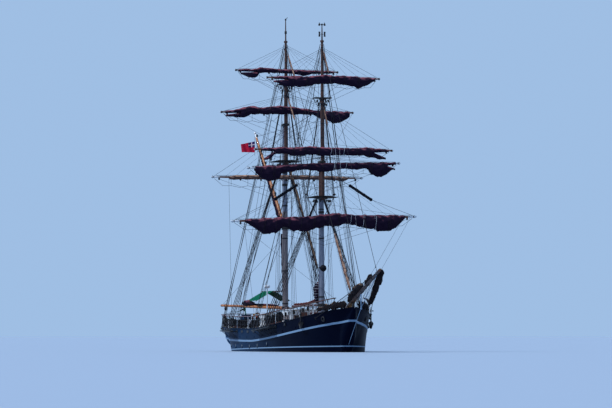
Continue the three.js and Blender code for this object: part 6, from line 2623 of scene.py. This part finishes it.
@dataclass
class Deckhouse:
    """A panelled deckhouse with doors, windows, a cambered roof, grab rails and ventilators."""

    name: str
    x: float
    y: float
    length: float
    width: float
    top: float
    lower: Finish
    eave: float = 0.06
    camber: float = 0.05
    pane: float = 0.32
    pane_gap: float = 0.62
    rail_in: float = 0.15
    rail_up: float = 0.1

    def at(self, dx: float, dy: float, z: float) -> Vector:
        """A point from the house's middle, at a height in the ship."""
        return Vector((self.x + dx, self.y + dy, z))

    def build(self) -> None:
        """Makes the house."""
        form = Form()
        foot, top = deck(self.x) - 0.03, self.top
        half, side_half = self.length / 2, self.width / 2
        form.block(
            self.at(0, 0, (foot + top - 0.07) / 2), (self.length, self.width, top - 0.07 - foot), 0, 0.03
        )
        form.block(self.at(0, 0, foot + 0.14), (self.length + 0.04, self.width + 0.04, 0.24), 1, 0.02)
        self.roof(form)
        sill = (foot + top) / 2 + 0.22
        for side in (-1, 1):
            for dx in steps(-half + 0.35, half - 0.35, self.pane_gap):
                self.window(form, self.at(dx, side * side_half, sill), Vector((0, side, 0)), self.pane + 0.02)
            dy = side * (side_half - self.rail_in)
            ends = [self.at(way * (half - 0.1), dy, top + self.rail_up) for way in (-1, 1)]
            form.line(*ends, 0.02, 1, 8)
            for dx in steps(-half + 0.15, half - 0.15, 0.7):
                form.line(self.at(dx, dy, top - 0.04), self.at(dx, dy, top + self.rail_up), 0.014, 1, 6)
        for way in (-1, 1):
            for dy in (-self.width * 0.28, self.width * 0.28):
                self.window(form, self.at(way * half, dy, sill), Vector((way, 0, 0)), self.pane - 0.02)
            door = self.at(way * (half + 0.012), 0, (foot + top) / 2 - 0.05)
            form.block(door, (0.03, 0.5, top - foot - 0.35), 1, 0.008)
            form.ball(door + Vector((way * 0.03, 0.19, -0.05)), 0.025, 3, 8)
        for dx, tall in ((-self.length * 0.3, 0.34), (self.length * 0.28, 0.42)):
            cowl = [(0.14, tall + 0.03), (0.15, tall + 0.08), (0.1, tall + 0.13), (0.001, tall + 0.15)]
            form.turned(self.at(dx, self.width * 0.25, top - 0.02), [(0.07, 0), (0.07, tall), *cowl], 18, 0)
        finishes = [WHITE_ENAMEL, self.lower, DARK_GLASS, BRONZE]
        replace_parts(form.made(f"{self.name}_dressed", finishes, "hull", 40), self.name)

    def roof(self, form: Form) -> None:
        """Adds the cambered roof.

        Args:
            form: where it goes.
        """
        half, reach = self.length / 2, self.width / 2 + self.eave
        rings = []
        for across in steps(-reach, reach, 0.2):
            rise = 0.04 + self.camber * (1 - (across / reach) ** 2)
            edge = ((0.06, 0), (0.07, 0.03), (0.05, rise))
            fore = [(half + dx, dz) for dx, dz in edge]
            aft = [(-half - dx, dz) for dx, dz in edge]
            ring = [aft[0], *fore, *reversed(aft[1:])]
            rings.append([self.at(dx, across, self.top - 0.08 + dz) for dx, dz in ring])
        form.rings(rings)

    def window(self, form: Form, at: Vector, out: Vector, wide: float) -> None:
        """Adds a framed window on a wall.

        Args:
            form: where it goes.
            at: the pane's middle.
            out: the direction out of the wall, along x or y.
            wide: the pane's width.
        """
        along = Vector((-out.y, out.x, 0))
        tall = self.pane
        size = (abs(along.x) * wide + abs(out.x) * 0.02, abs(along.y) * wide + abs(out.y) * 0.02, tall)
        form.block(at + out * 0.002, size, 2, 0.004)
        for shift, level in (
            (Vector((0, 0, tall / 2)), True), (Vector((0, 0, -tall / 2)), True),
            (along * (wide / 2), False), (along * (-wide / 2), False),
        ):
            long = wide + 0.06 if level else 0.05
            frame = [abs(out[i]) * 0.05 + abs(along[i]) * long for i in (0, 1)]
            form.block(at + shift + out * 0.008, (*frame, 0.05 if level else tall + 0.06), 1, 0.008)


@dataclass
class Skylight:
    """The gabled skylight aft, with barred panes."""

    x: float = -11.2
    length: float = 1.3
    width: float = 1.2
    top: float = 2.35
    rise: float = 0.28
    run: float = 0.65

    def build(self) -> None:
        """Makes the skylight."""
        form = Form()
        foot, eave = deck(self.x) - 0.03, self.top - 0.3
        form.block((self.x, 0, (foot + eave) / 2), (self.length, self.width, eave - foot), 0, 0.02)
        end, side_half = self.length / 2 + 0.05, self.width / 2
        slope = math.atan2(self.rise, self.run)
        for side in (-1, 1):
            ring = [(end, side_half + 0.05, eave), (end, 0, self.top - 0.02), (end, 0, self.top - 0.06),
                    (end, side_half + 0.03, self.top - 0.33)]
            form.rings([[Vector((self.x + s * dx, side * dy, z)) for dx, dy, z in ring] for s in (-1, 1)])
            turn = Matrix.Rotation(-side * slope, 3, "X")
            for dx in steps(-0.45, 0.45, 0.3):
                for share in (0.25, 0.7):
                    pane = (self.x + dx, side * (self.run - 0.6 * share), self.top - 0.29 + self.rise * share)
                    form.block(pane, (0.22, 0.2, 0.03), 1, 0.0, turn)
        form.block((self.x, 0, self.top - 0.02), (self.length + 0.12, 0.1, 0.05), 0, 0.01)
        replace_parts(form.made("aft_skylight_dressed", [MAHOGANY, DARK_GLASS], "hull", 40), "aft_skylight")


@dataclass
class GroundTackle:
    """The windlass, the two stocked anchors and the anchor ball."""

    windlass_x: float = 11.4
    shaft_up: float = 0.43
    cheek: float = 0.52
    anchor_x: float = 10.7
    stock: float = 0.56
    arm: float = 0.43
    ball_at: tuple[float, float, float] = (9.0, -0.48, 5.85)
    ball_radius: float = 0.228
    barrel: tuple[tuple[float, float], ...] = (
        (0.12, -0.9), (0.155, -0.88), (0.12, -0.82), (0.105, -0.72), (0.13, -0.62), (0.15, -0.58),
        (0.15, -0.36), (0.2, -0.34), (0.23, -0.3), (0.17, -0.24), (0.23, -0.18), (0.2, -0.14), (0.15, -0.12),
    )

    def build(self) -> None:
        """Makes them all."""
        self.windlass()
        for word, side in SIDES:
            self.anchor(word, side)
        self.ball()

    def windlass(self) -> None:
        """The windlass with ribbed warping ends and chain wheels."""
        form = Form()
        x, floor = self.windlass_x, deck(self.windlass_x)
        z = floor + self.shaft_up
        for y in (-self.cheek, self.cheek):
            form.block((x, y, (floor - 0.1 + z + 0.26) / 2), (0.22, 0.12, z + 0.36 - floor), 0, 0.025)
        profile = [*self.barrel, *[(r, -y) for r, y in reversed(self.barrel)]]
        form.turned((x, 0, z), profile, 24, 1, Y_AXIS)
        for k in range(12):
            angle = math.pi * k / 6
            ends = [(x + 0.15 * math.cos(angle), y, z + 0.15 * math.sin(angle)) for y in (-0.56, 0.56)]
            form.line(*ends, 0.018, 0, 5)
        for y in (-0.24, 0.24):
            form.hoop((x, y, z), 0.2, 0.03, Y_AXIS, 24, 1, 2.2)
        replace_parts(form.made("windlass_dressed", [BLACK_IRON, GALVANISED], "hull", 40), "windlass")

    def anchor(self, word: str, side: int) -> None:
        """A stocked anchor lashed outside the rail.

        Args:
            word: port or starboard.
            side: 1 for port and -1 for starboard.
        """
        form = Form()
        base = abreast(self.anchor_x, side, 0.11, -0.15)

        def at(px: float, py: float, pz: float) -> Vector:
            """A point from the anchor's middle, turned round for the other side."""
            return base + Vector((px * side, py * side, pz))

        form.tube([at(0, 0, -0.65), at(0, 0, 0.7)], [0.055, 0.04], 12)
        form.tube([at(reach, 0, 0.56) for reach in (-self.stock, 0, self.stock)], [0.022, 0.034, 0.022], 10)
        palm = [(-0.03, -0.13), (0.03, -0.13), (0.05, 0.02), (0, 0.15), (-0.05, 0.02)]
        for way in (-1, 1):
            form.ball(at(way * self.stock, 0, 0.56), 0.045, 0, 10)
            arc = [at(way * self.arm * s, 0, -0.64 + 0.33 * s * s) for s in (0, 0.25, 0.5, 0.75, 1)]
            form.tube(arc, [0.055, 0.052, 0.046, 0.038, 0.03], 10)
            rings = [[at(way * (0.39 + 0.02 * k), a * 1.6, -0.33 + b) for a, b in palm] for k in (0, 1)]
            form.rings(rings)
        form.hoop(at(0, 0, 0.73), 0.06, 0.016, X_AXIS, 14)
        form.block(at(0, -0.1, -0.28), (0.12, 0.2, 0.1), 0, 0.01)
        for z in (-0.2, 0.3):
            form.hoop(at(0, 0, z), 0.065, 0.018, Z_AXIS, 12, 1, 2.5)
        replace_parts(form.made(f"anchor_{word}_dressed", [BLACK_IRON, TARRED], "hull", 42), f"anchor_{word}")

    def ball(self) -> None:
        """The anchor ball on its line from the forestay."""
        form = Form()
        at = Vector(self.ball_at)
        top, low = FORE.edge, Vector((15.56, 0, BOWSPRIT.line(15.56) + 0.07))
        hook = top.lerp(low, (at.x - top.x) / (low.x - top.x))
        form.ball(at, self.ball_radius, 0, 26)
        for axis in (X_AXIS, Y_AXIS, Z_AXIS):
            form.hoop(at, self.ball_radius + 0.001, 0.006, axis, 28)
        form.line(at, hook, 0.012, 1, 6)
        form.line(at, (8.6, -0.4, deck(8.6) + 0.3), 0.008, 1, 5)
        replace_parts(form.made("anchor_ball_dressed", [TARPAULIN, TARRED], "hull", 40), "anchor_ball")


@dataclass
class Awning:
    """The tent-shaped awning over its ridge spar, with its hem and guys."""

    ridge: float = 4.4
    spar_radius: float = 0.045
    spar_end: float = -12.0
    aft: float = -11.5
    fore: float = -8.3
    half: float = 1.32
    drop: float = 0.76
    over_ridge: float = 3.05
    along_ship: float = 3.2
    cells: tuple[int, int] = (26, 28)

    def build(self) -> None:
        """Makes the spar, the cloth and its hem."""
        self.spar()
        cloth = self.cloth()
        hem = self.hem()

    def spar(self) -> None:
        """The ridge spar with its end ring and its topping line."""
        form = Form()
        end = (self.spar_end + 0.08, 0, self.ridge)
        form.tube([(MAIN.x - 0.26, 0, self.ridge), (self.spar_end, 0, self.ridge)], self.spar_radius, 14)
        form.hoop(end, 0.047, 0.014, X_AXIS, 14, 1)
        form.line(end, MAIN.at(-MAIN.lower - 0.006, 0, 8.6), 0.012, 2, 6)
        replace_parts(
            form.made("awning_ridge_dressed", [OILED, BLACK_IRON, RUNNING], "hull", 42), "awning_ridge"
        )

    @property
    def top(self) -> float:
        """Height of the cloth over the ridge spar."""
        return self.ridge + self.spar_radius + 0.008

    def cloth(self) -> bpy.types.Object:
        """The cloth, sagging between its guys.

        Returns:
            The cloth's object.
        """
        form = Form()
        long, wide = self.cells
        for i in range(long + 1):
            for j in range(wide + 1):
                u, v = i / long, 2 * j / wide - 1
                sag = 0.05 * (1 - abs(v)) * abs(v) * 4 * math.sin(math.pi * u) * 0.4
                scallop = 0.035 * math.sin(4 * math.pi * u) ** 2 * abs(v) ** 3
                ruck = 0.006 * math.sin(22 * u + 6 * v)
                z = self.top - self.drop * abs(v) - sag + scallop + ruck
                form.points.append(Vector((self.aft + (self.fore - self.aft) * u, self.half * v, z)))
        length = self.fore - self.aft
        for i in range(long):
            for j in range(wide):
                a = i * (wide + 1) + j
                places = [(length * (i + di) / long, self.over_ridge * (j + dj) / wide) for di, dj in CORNERS]
                form.face((a, a + wide + 1, a + wide + 2, a + 1), places, 0)
        sheet = form.made("awning_dressed", [AWNING_CLOTH], "hull", 50)
        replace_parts(sheet, "awning")
        return sheet

    def hem(self) -> bpy.types.Object:
        """The sewn hem, its eyelets and the guys out to the rails.

        Returns:
            The hem's object.
        """
        form = Form()
        for x in (self.aft, self.fore):
            across = (-self.half, -0.66, 0, 0.66, self.half)
            form.tube([Vector((x, y, self.top - self.drop * abs(y) / self.half)) for y in across], 0.012, 6)
        low = self.top - self.drop
        for side in (-1, 1):
            for x in steps(self.aft, self.fore, 0.8):
                form.line((x, side * self.half, low), abreast(x, side, -0.06, 0.88), 0.007, 1)
                form.hoop(
                    (x, side * (self.half - 0.04), low + 0.02), 0.022, 0.006, Vector((0, 0.5 * side, 1)),
                    10, 2
                )
        return form.made("awning_hem", [AWNING_CLOTH, RUNNING, BRONZE], "hull", 40)


@dataclass
class Helm:
    """The wheel on its pedestal, with the binnacle ahead of it."""

    x: float = -13.535
    z: float = 2.42
    radius: float = 0.52
    pedestal: float = -13.175
    binnacle: float = -13.1
    spokes: int = 8

    def build(self) -> None:
        """Makes the pedestal and the wheel."""
        form = Form()
        z, foot = self.z, deck(self.x) - 0.05
        form.block((self.pedestal, 0, (foot + z - 0.15) / 2), (0.55, 0.38, z - 0.15 - foot), 0, 0.03)
        form.block((self.pedestal, 0, z - 0.02), (0.42, 0.3, 0.26), 0, 0.04)
        form.turned((-13.47, 0, z), ((0.036, 0), (0.095, 0.005), (0.095, 0.06), (0.06, 0.1)), 20, 1, X_AXIS)
        hood = ((0.13, 0.08), (0.15, 0.12), (0.13, 0.24), (0.09, 0.3), (0.001, 0.33))
        form.turned((self.binnacle, 0, z), hood, 24, 1)
        for side in (-1, 1):
            form.ball((self.binnacle, side * 0.2, z + 0.12), 0.065, 2, 14)
            form.block((self.pedestal, side * 0.195, (foot + z) / 2 - 0.1), (0.36, 0.015, 0.42), 3, 0.01)
        finishes = [MAHOGANY, BRONZE, SAFETY_ORANGE, VARNISH]
        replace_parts(form.made("helm_pedestal_dressed", finishes, "hull", 42), "helm_pedestal")
        self.wheel()

    def wheel(self) -> None:
        """The spoked wheel with its brass ring, hub and shaft."""
        form = Form()
        middle = Vector((self.x, 0, self.z))
        for grow, tall, mark in ((0.0, 1.5, 0), (0.028, 0.6, 1)):
            form.hoop(middle, self.radius * 0.76, 0.03 + grow * 0.2, X_AXIS, 40, mark, tall)
        hub = ((0.05, 0), (0.09, 0.01), (0.09, 0.1), (0.06, 0.12), (0.034, 0.13))
        form.turned((self.x - 0.065, 0, self.z), hub, 22, 1, X_AXIS)
        form.turned(middle, ((0.034, 0), (0.034, 0.19)), 16, 1, X_AXIS)
        spoke = ((0.018, 0.08), (0.026, 0.14), (0.018, 0.2), (0.024, 0.3), (0.02, 0.4), (0.018, 0.43),
                 (0.025, 0.47), (0.016, 0.515), (0.001, 0.52))
        for k in range(self.spokes):
            angle = k * 2 * math.pi / self.spokes
            form.turned(middle, spoke, 10, 0, Vector((0, math.sin(angle), math.cos(angle))))
        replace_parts(form.made("helm_wheel_dressed", [MAHOGANY, BRONZE], "helm", 42), "helm_wheel")


@dataclass
class LooseGear:
    """Lifebuoys, raft canisters, boxes, bitts, coils, and the nets and covers along the rails."""

    buoys: tuple[tuple[float, int], ...] = ((-15.3, -1), (-15.3, 1), (-3.0, 1), (5.0, 1))
    buoy_radius: float = 0.29
    rafts: tuple[tuple[float, float], ...] = ((-6.4, -2.5), (-6.4, 2.5))
    boxes: tuple[tuple[float, float, tuple[float, float, float], int], ...] = (
        (-12.1, -1.7, (1.1, 0.6, 0.7), 5), (-9.9, -1.7, (0.9, 0.55, 1.25), 5),
        (-10.9, -1.6, (0.8, 0.55, 1.1), 5), (-2.4, 1.9, (1.2, 0.6, 0.6), 4),
        (3.4, 1.7, (1.3, 0.7, 0.55), 4), (2.9, -1.4, (0.9, 0.7, 0.8), 5), (8.6, 1.2, (0.9, 0.6, 0.55), 6),
    )
    bitts: tuple[float, ...] = (-15.0, 9.6, -2.0)
    coil_gap: float = 0.75
    bundle_gap: float = 1.35
    dome_x: float = 2.3

    def build(self) -> None:
        """Makes it all, as one piece."""
        form = Form()
        self.lifesaving(form)
        for x, y, size, mark in self.boxes:
            long, wide, tall = size
            form.block((x, y, deck(x) + tall / 2 - 0.03), size, mark, 0.03)
            form.block((x, y, deck(x) + tall - 0.02), (long + 0.06, wide + 0.06, 0.05), mark, 0.015)
        for x in self.bitts:
            for side in (1, -1):
                for dx in (-0.2, 0.2):
                    profile = ((0.09, 0), (0.08, 0.4), (0.1, 0.42), (0.1, 0.47), (0.001, 0.49))
                    form.turned(abreast(x + dx, side, -0.42, -BULWARK), profile, 14, 2)
        # Coils hang all along the rails, most tarred black; their black partly stands in for the shade behind
        # the rails: painted shade
        for n, x in enumerate(steps(-15.6, 12.0, self.coil_gap)):
            for side in (-1, 1):
                if abs(x - self.dome_x) > 0.3:
                    mark = 10 if n % 15 == 4 else 7
                    form.hoop(abreast(x, side, -0.14, 0.5), 0.12, 0.035, Y_AXIS, 12, mark, 1.8)
        self.bundles(form)
        self.curtain(form)
        for y, up in ((-0.4, 0), (0.5, 0.2)):
            foot = sheer(-16.3)
            form.line((-16.3, y, foot + 0.85), (-16.3, y, foot + 2.1 + up), 0.022, 1, 8)
        finishes = [SAFETY_ORANGE, WHITE_ENAMEL, BLACK_IRON, MANILA, MAHOGANY, HULL, TARPAULIN, TARRED,
                    BROWN_CANVAS, AWNING_CLOTH, BRAID]
        form.made("deck_gear", finishes, "hull", 40)

    def lifesaving(self, form: Form) -> None:
        """Adds the lifebuoys, with their four white bands, and the raft canisters in their cradles.

        Args:
            form: where they go.
        """
        r = self.buoy_radius
        for x, side in self.buoys:
            at = abreast(x, side, -0.16, 0.5)
            form.hoop(at, r, 0.06, Y_AXIS, 28, 0)
            for k in range(4):
                angle = math.pi / 4 + k * math.pi / 2
                form.ball(at + Vector((r * math.cos(angle), 0, r * math.sin(angle))), 0.066, 1, 10)
        canister = ((0.2, 0), (0.29, 0.06), (0.3, 0.55), (0.31, 0.6), (0.3, 0.65), (0.29, 1.14), (0.2, 1.2))
        for x, y in self.rafts:
            form.turned((x - 0.6, y, deck(x) + 0.42), canister, 20, 1, X_AXIS)
            for dx in (-0.35, 0.35):
                form.block((x + dx, y, deck(x) + 0.1), (0.08, 0.6, 0.24), 2, 0.01)

    def bundles(self, form: Form) -> None:
        """Adds the nets and black covers lashed inside the rails, their black partly painted shade behind the
        rails, and the canvas at the bow.

        Args:
            form: where they go.
        """
        shape = ((0.05, 0.05, 0.4), (0.3, 0.11, 0.9), (0.65, 0.12, 1.0), (1.0, 0.1, 0.8), (1.28, 0.05, 0.35))
        bow = (
            (12.5, 0.04, 0.05), (12.9, 0.1, 0.16), (13.3, 0.08, 0.1), (13.7, 0.13, 0.26), (14.1, 0.1, 0.16),
            (14.5, 0.13, 0.3), (14.9, 0.1, 0.2), (15.2, 0.11, 0.28), (15.45, 0.04, 0.08)
        )
        for side in (-1, 1):
            for n, x in enumerate(steps(-14.6, 6.6, self.bundle_gap)[:-1]):
                if abs(x + 0.7 - self.dome_x) < 0.9:
                    continue
                tall = (0.22 if x < -2 else 0.3) + 0.11 * abs(math.sin(2.3 * n + side))
                path = [abreast(x + far, side, -0.26, tall + 0.06) for far, _, _ in shape]
                rows = [(*at, wide, tall * high) for at, (_, wide, high) in zip(path, shape)]
                stowed(form, rows, in_ship, 6, 7, 0.4, n * 1.3)
            rows = [(*abreast(x, side, -0.12, 0.27), wide, tall) for x, wide, tall in bow]
            stowed(form, rows, in_ship, 8, 7, 0.3, 2.0 + side)

    def curtain(self, form: Form) -> None:
        """Adds the awning's loose curtain, hanging at its after corner.

        Args:
            form: where it goes.
        """
        loose = ((-11.5, -1.32, 3.5), (-11.7, -1.4, 3.2), (-12.1, -1.62, 3.0), (-12.6, -1.9, 2.88))
        form.tube(loose, [0.03, 0.07, 0.08, 0.03], 10, 9, flat=0.4)
        form.tube([loose[1], (-11.6, -1.36, 2.8), (-11.5, -1.3, 2.3)], [0.06, 0.07, 0.03], 10, 9, flat=0.5)


# Below the waterline


@dataclass
class SternGear:
    """The stern frame, the rudder and the propeller."""

    stock_x: float = -13.33
    shaft_z: float = -1.65
    screw_x: float = -12.64
    blades: int = 4
    heel_z: float = -2.67
    blade: tuple[tuple[float, float], ...] = (
        (0.02, -2.5), (-0.82, -2.5), (-0.95, -2.45), (-1.0, -2.3), (-0.99, -1.8), (-0.96, -1.3),
        (-0.84, -0.8), (-0.7, -0.48), (0.02, -0.43),
    )

    def build(self) -> None:
        """Makes them all."""
        form = Form()
        form.block((-12.86, 0, self.heel_z), (1.52, 0.15, 0.14), 0, 0.03)
        form.block((-12.25, 0, -2.1), (0.1, 0.15, 1.1), 0, 0.02)
        boss = ((0.062, 0), (0.14, 0.01), (0.155, 0.06), (0.18, 0.38))
        form.turned((-12.48, 0, self.shaft_z), boss, 24, 0, X_AXIS)
        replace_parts(form.made("stern_frame_dressed", [ANTIFOULING], "hull", 42), "stern_frame")
        self.rudder()
        self.propeller()

    def rudder(self) -> None:
        """The rudder's blade with faired edges, its stock and its straps."""
        form = Form()
        x, middle = self.stock_x, -1.47
        form.turned((x, 0, 0), ((0.06, -2.599), (0.075, -2.56), (0.075, -0.36)), 18)
        rings = []
        for share, y in ((0.985, -0.045), (1.0, -0.025), (1.0, 0.025), (0.985, 0.045)):
            rings.append([
                Vector((x + px * share, y, middle + (pz - middle) * share)) for px, pz in self.blade
            ])
        form.rings(rings)
        for z in (-2.2, -1.5, -0.8):
            form.block((x - 0.3, 0, z), (0.6, 0.11, 0.07), 0, 0.02)
        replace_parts(form.made("rudder_dressed", [ANTIFOULING], "rudder", 42), "rudder")

    def propeller(self) -> None:
        """The propeller's hub, shaft and twisted blades."""
        form = Form()
        middle = Vector((self.screw_x, 0, self.shaft_z))
        hub = ((0.001, -0.18), (0.05, -0.165), (0.085, -0.1), (0.105, -0.02), (0.095, 0.13))
        form.turned(middle, hub, 24, 0, X_AXIS)
        form.turned(middle, ((0.06, 0.1), (0.06, 0.3)), 18, 0, X_AXIS)
        for k in range(self.blades):
            turn = Matrix.Rotation(k * 2 * math.pi / self.blades, 3, "X")
            rings = []
            for far in (0.07, 0.16, 0.28, 0.4, 0.52, 0.6, 0.645):
                wide = 0.22 * math.sqrt(max(0.02, 1 - ((far - 0.36) / 0.297) ** 2))
                thick = 0.022 * (1 - far) + 0.004
                pitch = math.radians(58 - 52 * far)
                c, s = math.cos(pitch), math.sin(pitch)
                ring = []
                for a in range(12):
                    angle = 2 * math.pi * a / 12
                    across, deep = wide * math.cos(angle), thick * math.sin(angle)
                    ring.append(middle + turn @ Vector((across * s + deep * c, across * c - deep * s, far)))
                rings.append(ring)
            form.rings(rings)
        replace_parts(form.made("propeller_dressed", [BRONZE], "propeller", 42), "propeller")


# The whole scene


def main() -> None:
    """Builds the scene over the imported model."""
    logging.basicConfig(level=logging.INFO, format="%(name)s: %(message)s")
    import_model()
    Studio().build()
    Hull().build()
    Rails().build()
    Mast(FORE, GREY_ENAMEL, OILED, 10.9, 9.33).build()
    Mast(MAIN, BROWN_ENAMEL, GREY_ENAMEL, 10.2, 12.64).build()
    Rigging().build()
    rig = yards()
    for yard in rig:
        yard.build()
    brace_all(rig)
    Booms().build()
    BOWSPRIT.build()
    Deckhouse("midship_house", 0, 0, 2.6, 2.0, 3.05, MAHOGANY).build()
    Deckhouse("aft_house", -8.0, -0.5, 1.5, 1.05, 2.78, WHITE_ENAMEL).build()
    for fitting in (Skylight(), GroundTackle(), Awning(), Helm(), LooseGear(), SternGear()):
        fitting.build()


if __name__ == "__main__":
    main()
